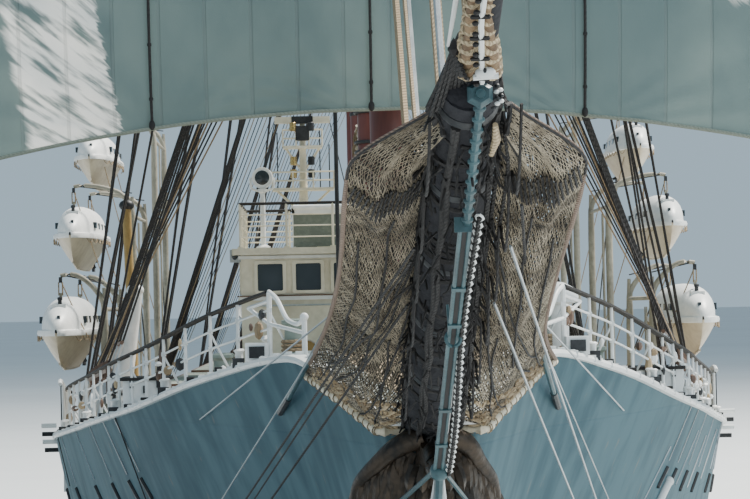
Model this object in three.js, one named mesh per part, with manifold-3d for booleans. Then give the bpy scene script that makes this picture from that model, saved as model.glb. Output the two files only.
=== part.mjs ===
// Tall ship, a four-masted barquentine, as a scale model at 1:10.
// Tables and places are written in real metres; M turns one real metre into model millimetres.
// x is athwartships with port at +x, s is metres aft of the stem head, z is metres above the water.
import * as THREE from 'three';
import { mergeVertices } from 'three/addons/utils/BufferGeometryUtils.js';
import Module from 'manifold-3d';

const wasm = await Module();
wasm.setup();

const M = 100;
const MIDSHIPS = 47;
const GAP = 0.003;
const SIDES = [['port', 1], ['starboard', -1]];

const place = (x, s, z) => new THREE.Vector3(x * M, (s - MIDSHIPS) * M, z * M);
const lerp = (a, b, t) => a + (b - a) * t;

/** Piecewise-linear lookup of one named column in a table of rows sorted by s. */
function at(table, column, s) {
  let i = 0;
  while (i < table.length - 2 && table[i + 1].s < s) i += 1;
  const t = (s - table[i].s) / (table[i + 1].s - table[i].s);
  return lerp(table[i][column], table[i + 1][column], t);
}

// Turning geometry into solids and solids into meshes.

function solidOf(geometry) {
  const bare = geometry.clone();
  bare.deleteAttribute('normal');
  bare.deleteAttribute('uv');
  const merged = mergeVertices(bare, 1e-3);
  return new wasm.Manifold(new wasm.Mesh({
    numProp: 3,
    vertProperties: new Float32Array(merged.attributes.position.array),
    triVerts: new Uint32Array(merged.index.array),
  }));
}

function geometryOf(solid) {
  const { vertProperties, triVerts } = solid.getMesh();
  const geometry = new THREE.BufferGeometry();
  geometry.setAttribute('position', new THREE.BufferAttribute(vertProperties, 3));
  geometry.setIndex(new THREE.BufferAttribute(triVerts, 1));
  geometry.computeVertexNormals();
  return geometry;
}

const union = (solids) => solids.reduce((sum, next) => sum.add(next));

/** Closed solid through rings of equal point counts, both ends capped. */
function loft(rings) {
  const count = rings[0].length;
  const points = rings.flat();
  const triangles = [];
  for (let r = 0; r < rings.length - 1; r += 1) {
    for (let i = 0; i < count; i += 1) {
      const a = r * count + i;
      const b = r * count + ((i + 1) % count);
      triangles.push([a, b, b + count], [a, b + count, a + count]);
    }
  }
  for (const [ring, flip] of [[0, true], [rings.length - 1, false]]) {
    const first = ring * count;
    const centre = points.length;
    points.push(rings[ring].reduce((sum, p) => sum.add(p), new THREE.Vector3()).divideScalar(count));
    for (let i = 0; i < count; i += 1) {
      const a = first + i;
      const b = first + ((i + 1) % count);
      triangles.push(flip ? [centre, b, a] : [centre, a, b]);
    }
  }
  const volume = triangles.reduce((sum, [a, b, c]) => (
    sum + points[a].dot(points[b].clone().cross(points[c]))), 0);
  const facing = volume < 0 ? triangles.map(([a, b, c]) => [a, c, b]) : triangles;
  return new wasm.Manifold(new wasm.Mesh({
    numProp: 3,
    vertProperties: new Float32Array(points.flatMap((p) => [p.x, p.y, p.z])),
    triVerts: new Uint32Array(facing.flat()),
  }));
}

/** Thin panel solid: a grid of points from the function, given a thickness along one direction. */
function panel(pointAt, acrossSteps, downSteps, thickness) {
  const rings = [];
  for (let j = 0; j <= downSteps; j += 1) {
    const front = [];
    for (let i = 0; i <= acrossSteps; i += 1) front.push(pointAt(i / acrossSteps, j / downSteps));
    const back = front.map((p) => p.clone().add(thickness)).reverse();
    rings.push([...front, ...back]);
  }
  return loftStrip(rings);
}

/** Loft whose ring is a thin strip, so its end caps are rows of quads and not a fan. */
function loftStrip(rings) {
  const count = rings[0].length;
  const half = count / 2;
  const points = rings.flat();
  const triangles = [];
  for (let r = 0; r < rings.length - 1; r += 1) {
    for (let i = 0; i < count; i += 1) {
      const a = r * count + i;
      const b = r * count + ((i + 1) % count);
      triangles.push([a, b, b + count], [a, b + count, a + count]);
    }
  }
  for (const [ring, flip] of [[0, true], [rings.length - 1, false]]) {
    const first = ring * count;
    for (let i = 0; i < half - 1; i += 1) {
      const quad = [first + i, first + i + 1, first + count - 2 - i, first + count - 1 - i];
      const faces = [[quad[0], quad[1], quad[2]], [quad[0], quad[2], quad[3]]];
      for (const [a, b, c] of faces) triangles.push(flip ? [a, c, b] : [a, b, c]);
    }
  }
  const volume = triangles.reduce((sum, [a, b, c]) => (
    sum + points[a].dot(points[b].clone().cross(points[c]))), 0);
  const facing = volume < 0 ? triangles.map(([a, b, c]) => [a, c, b]) : triangles;
  return new wasm.Manifold(new wasm.Mesh({
    numProp: 3,
    vertProperties: new Float32Array(points.flatMap((p) => [p.x, p.y, p.z])),
    triVerts: new Uint32Array(facing.flat()),
  }));
}

/** Round bar between two points, radii in real metres. */
function rod(from, to, radiusFrom, radiusTo = radiusFrom, sides = 8) {
  const along = to.clone().sub(from);
  const geometry = new THREE.CylinderGeometry(radiusTo * M, radiusFrom * M, along.length(), sides);
  const turn = new THREE.Quaternion().setFromUnitVectors(
    new THREE.Vector3(0, 1, 0), along.clone().normalize());
  geometry.applyQuaternion(turn);
  const middle = from.clone().add(to).multiplyScalar(0.5);
  geometry.translate(middle.x, middle.y, middle.z);
  return solidOf(geometry);
}

/** Bar that follows a line of points running mainly fore and aft, as one solid. */
function runner(points, radius, sides = 4) {
  return loft(points.map((p) => Array.from({ length: sides }, (_, i) => {
    const angle = (2 * Math.PI * (i + 0.5)) / sides;
    return p.clone().add(new THREE.Vector3(Math.cos(angle), 0, Math.sin(angle)).multiplyScalar(radius * M));
  })));
}

/** Upright box from its lowest and highest corner, real metres in x, s, z. */
function box([x0, s0, z0], [x1, s1, z1]) {
  const low = place(x0, s0, z0);
  const high = place(x1, s1, z1);
  const size = high.clone().sub(low);
  const geometry = new THREE.BoxGeometry(size.x, size.y, size.z);
  const middle = low.add(high).multiplyScalar(0.5);
  geometry.translate(middle.x, middle.y, middle.z);
  return solidOf(geometry);
}

/** Ellipsoid about a point, half-sizes in real metres. */
function ball(centre, [rx, rs, rz], segments = 10) {
  const geometry = new THREE.SphereGeometry(1, segments, Math.max(6, segments - 2));
  geometry.scale(rx * M, rs * M, rz * M);
  geometry.translate(centre.x, centre.y, centre.z);
  return solidOf(geometry);
}

// Materials.

const finish = (color, roughness = 0.6, metalness = 0) => (
  new THREE.MeshStandardMaterial({ color, roughness, metalness }));
const HULL_WHITE = finish(0xd9dcda);
const CREAM = finish(0xd8d2bd);
const MAST_BROWN = finish(0x7a4436);
const WOOD = finish(0x5c4030);
const CANVAS = finish(0xcfd3cd, 0.9);
const ROPE = finish(0x3b3632, 0.9);
const NET_TAN = finish(0x8b6f52, 0.95);
const BRONZE = finish(0x3a3228, 0.45, 0.8);
const DARK_METAL = finish(0x2c2e30, 0.5, 0.7);
const BRASS = finish(0xb08d4a, 0.35, 0.9);

const ship = new THREE.Group();

function add(name, solid, material) {
  const mesh = new THREE.Mesh(geometryOf(solid), material);
  mesh.name = name;
  ship.add(mesh);
}

// Hull. Each row is one section: sheer height, half-breadth at the sheer and at the water, keel height,
// rake is the share of the clipper stem's curve, full is how boxy the underwater section is.

const KEEL_Z = -6.6;
const sections = [
  { s: 0, sheer: 7.45, deckHalf: 0.55, waterHalf: 0.16, keel: -5.2, rake: 1, full: 1.2 },
  { s: 1.5, sheer: 7.86, deckHalf: 1.1, waterHalf: 0.4, keel: -5.6, rake: 0.93, full: 1.2 },
  { s: 3, sheer: 8.12, deckHalf: 1.6, waterHalf: 0.7, keel: -5.9, rake: 0.86, full: 1.3 },
  { s: 6, sheer: 7.84, deckHalf: 2.75, waterHalf: 1.3, keel: -6.3, rake: 0.7, full: 1.4 },
  { s: 10, sheer: 7.3, deckHalf: 4.1, waterHalf: 2.4, keel: KEEL_Z, rake: 0.45, full: 1.6 },
  { s: 15, sheer: 6.85, deckHalf: 5.3, waterHalf: 3.8, keel: KEEL_Z, rake: 0.2, full: 2.0 },
  { s: 24, sheer: 6.2, deckHalf: 6.7, waterHalf: 5.7, keel: KEEL_Z, rake: 0, full: 2.6 },
  { s: 34, sheer: 5.7, deckHalf: 6.75, waterHalf: 6.4, keel: KEEL_Z, rake: 0, full: 3.2 },
  { s: 50, sheer: 5.3, deckHalf: 6.7, waterHalf: 6.5, keel: KEEL_Z, rake: 0, full: 3.2 },
  { s: 66, sheer: 5.55, deckHalf: 6.35, waterHalf: 5.7, keel: KEEL_Z, rake: 0, full: 2.4 },
  { s: 76, sheer: 6.0, deckHalf: 5.7, waterHalf: 3.9, keel: KEEL_Z, rake: 0, full: 1.5 },
  { s: 82, sheer: 6.35, deckHalf: 5.1, waterHalf: 2.0, keel: KEEL_Z, rake: 0, full: 1.1 },
  { s: 82.7, sheer: 6.4, deckHalf: 5.0, waterHalf: 1.7, keel: -0.7, rake: 0, full: 1.1 },
  { s: 88, sheer: 6.75, deckHalf: 4.1, waterHalf: 0, keel: 1.6, rake: 0, full: 1.1 },
  { s: 92, sheer: 7.0, deckHalf: 2.9, waterHalf: 0, keel: 3.4, rake: 0, full: 1.1 },
  { s: 94, sheer: 7.15, deckHalf: 1.8, waterHalf: 0, keel: 4.9, rake: 0, full: 1.1 },
];
const stemCurve = [
  { s: 0, back: 0 }, { s: 1.5, back: 1.0 }, { s: 4.5, back: 3.2 }, { s: 7.45, back: 5.3 },
  { s: 9.5, back: 6.4 }, { s: 11.5, back: 7.6 }, { s: 14, back: 10 },
];
const WAIST = { from: 24, to: 66, drop: 1.1, wall: 0.13, cap: 0.24 };
const KEEL_HALF = 0.15;

const sheer = (s) => at(sections, 'sheer', s);
const deckHalf = (s) => at(sections, 'deckHalf', s);
const deckDrop = (s) => (s >= WAIST.from && s <= WAIST.to ? WAIST.drop : 0);
const deck = (s) => sheer(s) - deckDrop(s);

/** Half-breadth of one section at height z: a superellipse below the water, a flare above it. */
function halfAt(row, z) {
  if (row.keel > 0) {
    const t = (z - row.keel) / (row.sheer - row.keel);
    return lerp(KEEL_HALF, row.deckHalf, Math.sqrt(Math.max(0, t)));
  }
  if (z < 0) {
    const depth = Math.min(1, z / row.keel);
    return KEEL_HALF + (row.waterHalf - KEEL_HALF) * (1 - depth ** row.full) ** (1 / row.full);
  }
  const flare = row.rake > 0 ? 1.5 : 1;
  return lerp(row.waterHalf, row.deckHalf, (z / row.sheer) ** flare);
}

const rowAt = (s) => Object.fromEntries(
  Object.keys(sections[0]).map((column) => [column, column === 's' ? s : at(sections, column, s)]));

function hullPoint(row, z, side) {
  const back = row.rake * at(stemCurve, 'back', row.sheer - z);
  return place(side * halfAt(row, z), row.s + back, z);
}

const LEVELS = [0, 0.06, 0.16, 0.3, 0.46, 0.62, 0.8];

function hullRing(row, drop) {
  const top = row.sheer - drop;
  const heights = LEVELS.map((share) => lerp(row.keel, Math.min(0, top) || 0, share));
  const split = row.keel > 0 ? row.keel : 0;
  const below = row.keel > 0 ? LEVELS.slice(1).map((share) => lerp(row.keel, split + 0.4, share * 0.9)) : [];
  const low = row.keel > 0 ? [row.keel, ...below] : heights;
  const upper = [0, 0.35, 0.7, 1].map((share) => lerp(row.keel > 0 ? row.keel + 0.4 : 0, top, share));
  const side = [...low, ...upper];
  const port = side.map((z) => hullPoint(row, z, 1)).reverse();
  const starboard = side.map((z) => hullPoint(row, z, -1));
  return [...port, ...starboard];
}

function hullSolid() {
  const rings = [];
  for (const row of sections) {
    if (row.s === WAIST.from) {
      rings.push(hullRing(row, 0), hullRing({ ...rowAt(row.s + GAP) }, WAIST.drop));
    } else if (row.s === WAIST.to) {
      rings.push(hullRing({ ...rowAt(row.s - GAP) }, WAIST.drop), hullRing(row, 0));
    } else {
      rings.push(hullRing(row, deckDrop(row.s)));
    }
  }
  return loft(rings);
}

// Bowsprit: its centre line rises forward from the stem head.

const STEEVE = 0.283;
const sprit = (s, lift = 0) => place(0, s, 7.45 - STEEVE * s + lift);
const SPRIT = { heel: 3.2, cap: -10.2, tip: -19, root: 0.35, atCap: 0.3, capBand: 0.35, outer: 0.13, end: 0.08 };

add('hull', hullSolid()
  .add(box([-0.14, 81.5, -6.6], [0.14, 86.2, -6.25]))
  .subtract(rod(sprit(-3), sprit(SPRIT.heel + 0.05), SPRIT.root + 0.01, SPRIT.root + 0.01, 16)),
HULL_WHITE);

add('bowsprit', union([
  rod(sprit(SPRIT.heel), sprit(-1), SPRIT.root, SPRIT.root, 16),
  rod(sprit(-1), sprit(SPRIT.cap), SPRIT.root, SPRIT.atCap, 16),
  rod(sprit(SPRIT.cap + 0.3), sprit(SPRIT.cap - 0.1), SPRIT.capBand, SPRIT.capBand, 16),
  rod(sprit(SPRIT.cap), sprit(SPRIT.tip), SPRIT.outer, SPRIT.end, 12),
]), WOOD);

// Furled headsails lie in a bundle along the top of the outer bowsprit.

const headsailRows = [
  { s: -10.6, width: 0.16, radius: 0.09 }, { s: -11.3, width: 0.25, radius: 0.13 },
  { s: -14, width: 0.2, radius: 0.12 }, { s: -16.4, width: 0.13, radius: 0.08 },
  { s: -17.1, width: 0.06, radius: 0.04 },
];
const spritRadius = (s) => (s > SPRIT.cap ? lerp(SPRIT.root, SPRIT.atCap, (s + 1) / (SPRIT.cap + 1))
  : lerp(SPRIT.outer, SPRIT.end, (s - SPRIT.cap) / (SPRIT.tip - SPRIT.cap)));
function bundleRing(centre, halfWidth, halfHeight, count = 12) {
  return Array.from({ length: count }, (_, i) => {
    const angle = (2 * Math.PI * i) / count;
    return centre.clone().add(new THREE.Vector3(
      Math.cos(angle) * halfWidth * M, 0, Math.sin(angle) * halfHeight * M));
  });
}
add('headsails_furled', loft(headsailRows.map((row) => bundleRing(
  sprit(row.s, spritRadius(row.s) * 1.04 + row.radius + GAP * 1.5), row.width, row.radius))), CANVAS);

// Safety nets on both sides, from the bowsprit out to their edge ropes.

const netRows = [
  { inner: -9.6, x: 0.42, s: -9.75, z: 10.2, sag: 0 }, { inner: -8.4, x: 0.95, s: -8.5, z: 9.82, sag: 0.2 },
  { inner: -5.8, x: 1.02, s: -5, z: 9.05, sag: 0.25 }, { inner: -2.8, x: 1.2, s: -1, z: 8.42, sag: 0.2 },
  { inner: -0.15, x: 1.67, s: 2.9, z: 8.12, sag: 0 },
];
const NET_END = { out: 0.1, lift: 0.06 };

/** Point of a net: straight from the spar to the edge rope with a sag, its last row outside the deck edge. */
function netPoint(side, across, down) {
  const index = Math.round(down * (netRows.length - 1));
  const row = netRows[index];
  const s = lerp(row.inner, row.s, across);
  const innerZ = 7.45 - STEEVE * row.inner;
  const innerX = spritRadius(row.inner) + GAP * 1.5;
  if (index === netRows.length - 1 && across > 0) {
    return place(side * (deckHalf(s) + NET_END.out), s, sheer(s) + NET_END.lift);
  }
  return place(side * lerp(innerX, row.x, across), s,
    lerp(innerZ, row.z, across) - row.sag * 4 * across * (1 - across));
}
for (const [name, side] of SIDES) {
  const net = panel((across, down) => netPoint(side, across, down), 4, netRows.length - 1,
    new THREE.Vector3(0, 0, -0.04 * M));
  add(`net_${name}`, net, NET_TAN);
}

// Bobstay: one bar down from the cap, forked to both sides of the stem.

const FORK = place(0, -3.0, 7.05);
const BAR = { radius: 0.06, drop: (SPRIT.capBand + 0.063) * Math.hypot(1, STEEVE) };
add('bobstay', union([
  rod(sprit(SPRIT.cap + 0.1, -BAR.drop), FORK, BAR.radius, BAR.radius, 8),
  ball(FORK, [0.12, 0.12, 0.12]),
  rod(FORK, place(0.42, 1.75, 3.9), 0.05, 0.05, 6),
  rod(FORK, place(-0.42, 1.75, 3.9), 0.05, 0.05, 6),
]), CREAM);

// Figurehead: a generic spread-winged bird on the stem.

function wing(side) {
  const rows = [
    { out: 0.1, s: -0.5, top: 7.15, foot: 6.2, thick: 0.12 },
    { out: 0.62, s: -0.32, top: 7.15, foot: 5.95, thick: 0.09 },
    { out: 1.0, s: 0.3, top: 6.5, foot: 5.4, thick: 0.05 },
  ];
  return loft(rows.map((row) => [
    [row.thick, row.top - 0.15], [0, row.top], [-row.thick, row.top - 0.15],
    [-row.thick * 0.4, row.foot], [row.thick * 0.4, row.foot],
  ].map(([forward, z]) => place(side * row.out, row.s - forward, z))));
}
add('figurehead', union([
  ball(place(0, 0.1, 6.3), [0.28, 0.75, 0.6], 12),
  rod(place(0, -0.3, 6.6), place(0, -1.05, 7.05), 0.2, 0.14, 8),
  ball(place(0, -1.2, 7.0), [0.14, 0.2, 0.14]),
  rod(place(0, -1.32, 7.0), place(0, -1.66, 6.86), 0.08, 0.02, 6),
  wing(1), wing(-1),
]).subtract(hullSolid().translate([0, -0.8, 0])), BRONZE);

// Rails and waist bulwarks, one node a side: open rails forward and aft, a solid bulwark between.

const RAIL = { forward: 3.4, inset: 0.24, height: 0.92, bars: [0.32, 0.62], aft: 93.2 };

function openRail(side, from, to, step) {
  const count = Math.round((to - from) / step);
  const solids = [];
  const foot = (s) => place(side * (deckHalf(s) - RAIL.inset), s, sheer(s) + GAP * 2.5);
  const raised = (s, lift) => foot(s).add(new THREE.Vector3(0, 0, lift * M));
  const stops = Array.from({ length: count + 1 }, (_, i) => lerp(from, to, i / count));
  for (const s of stops) solids.push(rod(foot(s), raised(s, RAIL.height), 0.05, 0.045, 4));
  for (const lift of RAIL.bars) solids.push(runner(stops.map((s) => raised(s, lift)), 0.028));
  solids.push(runner(stops.map((s) => raised(s, RAIL.height)), 0.1, 4));
  return solids;
}

function bulwark(side) {
  const stops = [WAIST.from + 0.01, 34, 50, WAIST.to - 0.01];
  const profile = [
    [0, GAP - WAIST.drop], [0, 0], [0.05, 0], [0.05, 0.1], [-WAIST.cap, 0.1],
    [-WAIST.cap, 0], [-WAIST.wall, 0], [-WAIST.wall, GAP - WAIST.drop],
  ];
  return loft(stops.map((s) => {
    const low = halfAt(rowAt(s), sheer(s) - WAIST.drop);
    return profile.map(([out, up]) => place(
      side * (lerp(low, deckHalf(s), Math.min(1, 1 + up / WAIST.drop)) + out), s, sheer(s) + up));
  }));
}

for (const [name, side] of SIDES) {
  add(`rail_${name}`, union([
    ...openRail(side, RAIL.forward, WAIST.from + 0.05, 2.6),
    bulwark(side),
    ...openRail(side, WAIST.to - 0.05, RAIL.aft, 2.7),
  ]), CREAM);
}

// Anchors against the bow, windlass on the foredeck.

for (const [name, side] of SIDES) {
  const row = rowAt(9);
  const shank = hullPoint(row, 5.0, side);
  const crown = hullPoint(row, 3.4, side);
  const out = new THREE.Vector3(side * 0.3 * M, -0.16 * M, 0);
  shank.add(out);
  crown.add(out);
  const fluke = new THREE.Vector3(side * 0.1 * M, 0.7 * M, 0.3 * M);
  const otherFluke = new THREE.Vector3(side * 0.05 * M, -0.7 * M, 0.3 * M);
  add(`anchor_${name}`, union([
    rod(shank, crown, 0.1, 0.14, 6),
    rod(crown, crown.clone().add(fluke), 0.16, 0.05, 6),
    rod(crown, crown.clone().add(otherFluke), 0.16, 0.05, 6),
  ]).subtract(hullSolid().translate([side * 0.6, -0.4, 0])), DARK_METAL);
}

const WINDLASS = { s: 8.2, half: 1.1 };
const foredeckUnder = (s) => sheer(s) + GAP;
add('windlass', union([
  box([-1.3, 7.6, foredeckUnder(7.6)], [1.3, 8.8, foredeckUnder(7.6) + 0.25]),
  box([-0.95, 7.8, foredeckUnder(7.6) + 0.2], [-0.75, 8.6, foredeckUnder(7.6) + 1.0]),
  box([0.75, 7.8, foredeckUnder(7.6) + 0.2], [0.95, 8.6, foredeckUnder(7.6) + 1.0]),
  rod(place(-WINDLASS.half, WINDLASS.s, foredeckUnder(7.6) + 0.75),
    place(WINDLASS.half, WINDLASS.s, foredeckUnder(7.6) + 0.75), 0.3, 0.3, 12),
]), DARK_METAL);

// Deckhouses. The pilothouse is hollow with its windows and doorways cut, the others are closed blocks.

const BOAT_DECK = 7.2;
const house = { half: 4.5, from: 25.2, to: 34.8 };
const mainHouse = { half: 4.5, from: 37.6, to: 53.4 };
const aftHouse = { half: 4.2, from: 56.8, to: 65.2, roof: 7.2 };
const poopHouse = { half: 2.6, from: 76.6, to: 80.4, height: 2.4 };
const houseFoot = (row) => Math.max(deck(row.from + 0.01), deck(row.to - 0.01)) + GAP;

function blockHouse(row, roof) {
  const foot = houseFoot(row);
  return union([
    box([-row.half, row.from, foot], [row.half, row.to, roof - 0.12]),
    box([-row.half - 0.2, row.from - 0.2, roof - 0.16], [row.half + 0.2, row.to + 0.2, roof]),
  ]);
}
add('forward_house', blockHouse(house, BOAT_DECK), CREAM);
add('main_house', blockHouse(mainHouse, BOAT_DECK), CREAM);
add('aft_house', blockHouse(aftHouse, aftHouse.roof), CREAM);
add('poop_house', blockHouse(poopHouse, houseFoot(poopHouse) + poopHouse.height)
  .add(box([-0.3, poopHouse.to - 0.1, sheer(81.5) + GAP], [0.3, 81.497, 7.9])), CREAM);

const PILOT = { half: 3.1, from: 28.5, to: 32.8, foot: BOAT_DECK + GAP, roof: 10.1, wall: 0.12 };
const windowCentres = [-2.45, -1.6, -0.75, 0.75, 1.6, 2.45];
const WINDOW = { half: 0.28, low: 9.15, high: 9.75 };
const DOOR = { from: 31.2, to: 32.0, foot: BOAT_DECK + 0.12, top: 9.2, thick: 0.06 };
let pilothouse = box([-PILOT.half, PILOT.from, PILOT.foot], [PILOT.half, PILOT.to, PILOT.roof - 0.12])
  .add(box([-PILOT.half - 0.15, PILOT.from - 0.15, PILOT.roof - 0.14],
    [PILOT.half + 0.15, PILOT.to + 0.15, PILOT.roof]))
  .add(box([-PILOT.half - 0.04, PILOT.from - 0.04, 8.95], [PILOT.half + 0.04, PILOT.from + 0.05, 9.03]))
  .subtract(box([-PILOT.half + PILOT.wall, PILOT.from + PILOT.wall, PILOT.foot + 0.1],
    [PILOT.half - PILOT.wall, PILOT.to - PILOT.wall, PILOT.roof - 0.24]));
for (const x of windowCentres) {
  for (const s of [PILOT.from, PILOT.to]) {
    pilothouse = pilothouse.subtract(box([x - WINDOW.half, s - 0.3, WINDOW.low],
      [x + WINDOW.half, s + 0.3, WINDOW.high]));
  }
}
for (const side of [1, -1]) {
  for (const s of [29.3, 30.4]) {
    pilothouse = pilothouse.subtract(box([side * PILOT.half - 0.3, s - 0.3, WINDOW.low],
      [side * PILOT.half + 0.3, s + 0.3, WINDOW.high]));
  }
  pilothouse = pilothouse.subtract(box([side * PILOT.half - 0.3, DOOR.from, DOOR.foot],
    [side * PILOT.half + 0.3, DOOR.to, DOOR.top]));
}
add('pilothouse', pilothouse, CREAM);
for (const [name, side] of SIDES) {
  const face = side * (PILOT.half - 0.03);
  add(`pilothouse_door_${name}`, box(
    [Math.min(face, face - side * DOOR.thick), DOOR.from + GAP, DOOR.foot + GAP],
    [Math.max(face, face - side * DOOR.thick), DOOR.to - GAP * 5, DOOR.top - GAP]), WOOD);
}

// Upper bridge on the pilothouse roof: roof rail, canvas-sided steering place.

function roofRail(half, from, to, foot, height) {
  const corners = [[-half, from], [half, from], [half, to], [-half, to]];
  const solids = [];
  const square = (x, s, nx, ns, low, high, r) => box(
    [Math.min(x, nx) - r, Math.min(s, ns) - r, low], [Math.max(x, nx) + r, Math.max(s, ns) + r, high]);
  corners.forEach(([x, s], i) => {
    const [nx, ns] = corners[(i + 1) % 4];
    for (const lift of [0.5]) {
      solids.push(square(x, s, nx, ns, foot + lift * height, foot + lift * height + 0.04, 0.02));
    }
    solids.push(square(x, s, nx, ns, foot + height - 0.05, foot + height + 0.03, 0.05));
    const count = Math.max(2, Math.round(Math.hypot(nx - x, ns - s) / 2));
    for (let k = 0; k < count; k += 1) {
      const px = lerp(x, nx, k / count);
      const ps = lerp(s, ns, k / count);
      solids.push(square(px, ps, px, ps, foot, foot + height, 0.03));
    }
  });
  return solids;
}
const ROOF = PILOT.roof + GAP;
add('roof_rail', union(roofRail(3.1, 28.5, 32.8, ROOF, 1.0)), CREAM);
add('upper_bridge', union([
  box([-1.9, 29.2, ROOF], [1.9, 30.9, ROOF + 0.85]),
  box([-1.95, 29.15, ROOF + 0.8], [1.95, 30.95, ROOF + 1.0]),
]), CANVAS);
add('searchlight', union([
  rod(place(-2.79, 29.0, ROOF), place(-2.79, 29.0, ROOF + 1.25), 0.06, 0.06, 8),
  rod(place(-2.79, 28.85, ROOF + 1.45), place(-2.79, 29.25, ROOF + 1.45), 0.23, 0.18, 12),
]), CREAM);
add('radar_mast', union([
  rod(place(-1.7, 31.5, ROOF), place(-1.7, 31.5, 13.2), 0.12, 0.07, 8),
  box([-2.4, 31.2, 11.5], [-1.0, 31.8, 11.58]),
  box([-2.15, 31.3, 12.5], [-1.25, 31.7, 12.57]),
  box([-2.35, 31.4, 13.1], [-1.05, 31.6, 13.25]),
]), CREAM);

// Lifeboats and the davits that carry them. Each row is one pair of boats, port and starboard.

const boatRows = [
  { tier: 'low', s: 33, out: 7.35, z: 8.3, post: 6.35 },
  { tier: 'middle', s: 42, out: 7.9, z: 10.8, post: 6.35 },
  { tier: 'high', s: 51, out: 8.2, z: 13.4, post: 6.35 },
];
const BOAT = { half: 3.5, beam: 0.62, keel: 0.9, dome: 0.82 };
const boatSections = [
  { along: -1, width: 0.08, depth: 0.35 }, { along: -0.8, width: 0.62, depth: 0.8 },
  { along: -0.4, width: 0.95, depth: 1 }, { along: 0.4, width: 0.95, depth: 1 },
  { along: 0.8, width: 0.62, depth: 0.8 }, { along: 1, width: 0.08, depth: 0.35 },
];

function boatSolid(x, s, z) {
  const profile = [
    [0, -1], [0.45, -0.85], [0.85, -0.4], [1, -0.08], [1.16, -0.06], [1.16, 0.06], [1, 0.1],
    [0.75, 0.65], [0.35, 0.95], [0, 1],
  ];
  return loft(boatSections.map((row) => {
    const right = profile.map(([out, up]) => [
      out * BOAT.beam * row.width, up * row.depth * (up < 0 ? BOAT.keel : BOAT.dome)]);
    const left = right.slice(1, -1).reverse().map(([out, up]) => [-out, up]);
    return [...right, ...left].map(([out, up]) => place(x + out, s + row.along * BOAT.half, z + up));
  }));
}

function davitPair(side, row) {
  const solids = [];
  const head = row.z + BOAT.dome + 0.5;
  for (const s of [row.s - 2.3, row.s + 2.3]) {
    const foot = sheer(s) + 0.1 + GAP * 3;
    const post = place(side * row.post, s, foot);
    const knee = place(side * row.post, s, head - 0.8);
    const arm = place(side * row.out, s, head);
    solids.push(rod(post, knee, 0.12, 0.11, 6));
    solids.push(rod(knee.clone().add(new THREE.Vector3(0, 0, -0.08 * M)), arm, 0.1, 0.08, 6));
    const domeTop = row.z + BOAT.dome * lerp(0.8, 1, (0.8 * 3.5 - 2.3) / (0.4 * 3.5));
    solids.push(rod(arm.clone().add(new THREE.Vector3(0, 0, 0.05 * M)),
      place(side * row.out, s, domeTop + 0.009), 0.05, 0.05, 4));
  }
  solids.push(rod(place(side * row.post, row.s - 2.4, head - 0.8),
    place(side * row.post, row.s + 2.4, head - 0.8), 0.06, 0.06, 4));
  return solids;
}

for (const [name, side] of SIDES) {
  const davits = boatRows.flatMap((row) => davitPair(side, row));
  const links = [[35.3, 39.7], [44.3, 48.7]].map(([from, to]) => rod(
    place(side * 6.35, from, sheer(from) + 1.0), place(side * 6.35, to, sheer(to) + 1.0), 0.06, 0.06, 6));
  add(`davits_${name}`, union([...davits, ...links]), CREAM);
  for (const row of boatRows) {
    add(`lifeboat_${row.tier}_${name}`, boatSolid(side * row.out, row.s, row.z), HULL_WHITE);
  }
}

// Masts. Each is built upright about its own foot, then raked aft and set on the deck.

const mastRows = [
  { name: 'foremast', s: 17, rake: 2, top: 21.4, tops: [32], truck: 46 },
  { name: 'mainmast', s: 36, rake: 2.5, top: 22.5, tops: [36], truck: 47.5 },
  { name: 'mizzenmast', s: 55, rake: 3, top: 22.5, tops: [36], truck: 46.5 },
  { name: 'jiggermast', s: 73.5, rake: 3.5, top: 21, tops: [33], truck: 43 },
];
const MAST = { lower: 0.35, upper: 0.26, pole: 0.18, truck: 0.09 };
const TURNING_GAP = 0.006;

/** Height of a raked mast's foot above the deck, so that its lower edge just clears a sloping deck. */
function mastStep(row) {
  const slope = (deck(row.s + 0.5) - deck(row.s - 0.5));
  return MAST.lower * Math.abs(Math.sin(THREE.MathUtils.degToRad(row.rake)) + slope) + GAP;
}

function mastRadius(row, z) {
  if (z < row.top + 0.6) return MAST.lower;
  if (z < row.tops[0] + 0.3) return MAST.upper;
  return lerp(MAST.pole, MAST.truck, (z - row.tops[0]) / (row.truck - row.tops[0]));
}

/** Radius of a sixteen-sided hole that turns about a mast with the turning gap at its flats. */
const collarRadius = (row, z) => (mastRadius(row, z) + TURNING_GAP) / Math.cos(Math.PI / 16);

function mastFrame(row) {
  const foot = place(0, row.s, deck(row.s) + mastStep(row));
  return new THREE.Matrix4().makeTranslation(foot.x, foot.y, foot.z)
    .multiply(new THREE.Matrix4().makeRotationX(THREE.MathUtils.degToRad(-row.rake)));
}
const onMast = (row, x, ahead, z) => new THREE.Vector3(
  x * M, -ahead * M, (z - deck(row.s) - mastStep(row)) * M).applyMatrix4(mastFrame(row));

function mastSolid(row) {
  const [topmastHead] = row.tops;
  return union([
    rod(onMast(row, 0, 0, deck(row.s) + mastStep(row)), onMast(row, 0, 0, row.top + 0.6),
      MAST.lower, MAST.lower, 12),
    rod(onMast(row, 0, 0, row.top + 0.5), onMast(row, 0, 0, topmastHead + 0.3), MAST.upper, MAST.upper, 10),
    rod(onMast(row, 0, 0, topmastHead), onMast(row, 0, 0, row.truck), MAST.pole, MAST.truck, 8),
    rod(onMast(row, 0, 0, row.top), onMast(row, 0, 0, row.top + 0.12), 0.85, 0.85, 10),
    rod(onMast(row, 0, 0, topmastHead), onMast(row, 0, 0, topmastHead + 0.1), 0.45, 0.45, 10),
    ball(onMast(row, 0, 0, row.truck), [0.16, 0.16, 0.1], 8),
  ]);
}

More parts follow.
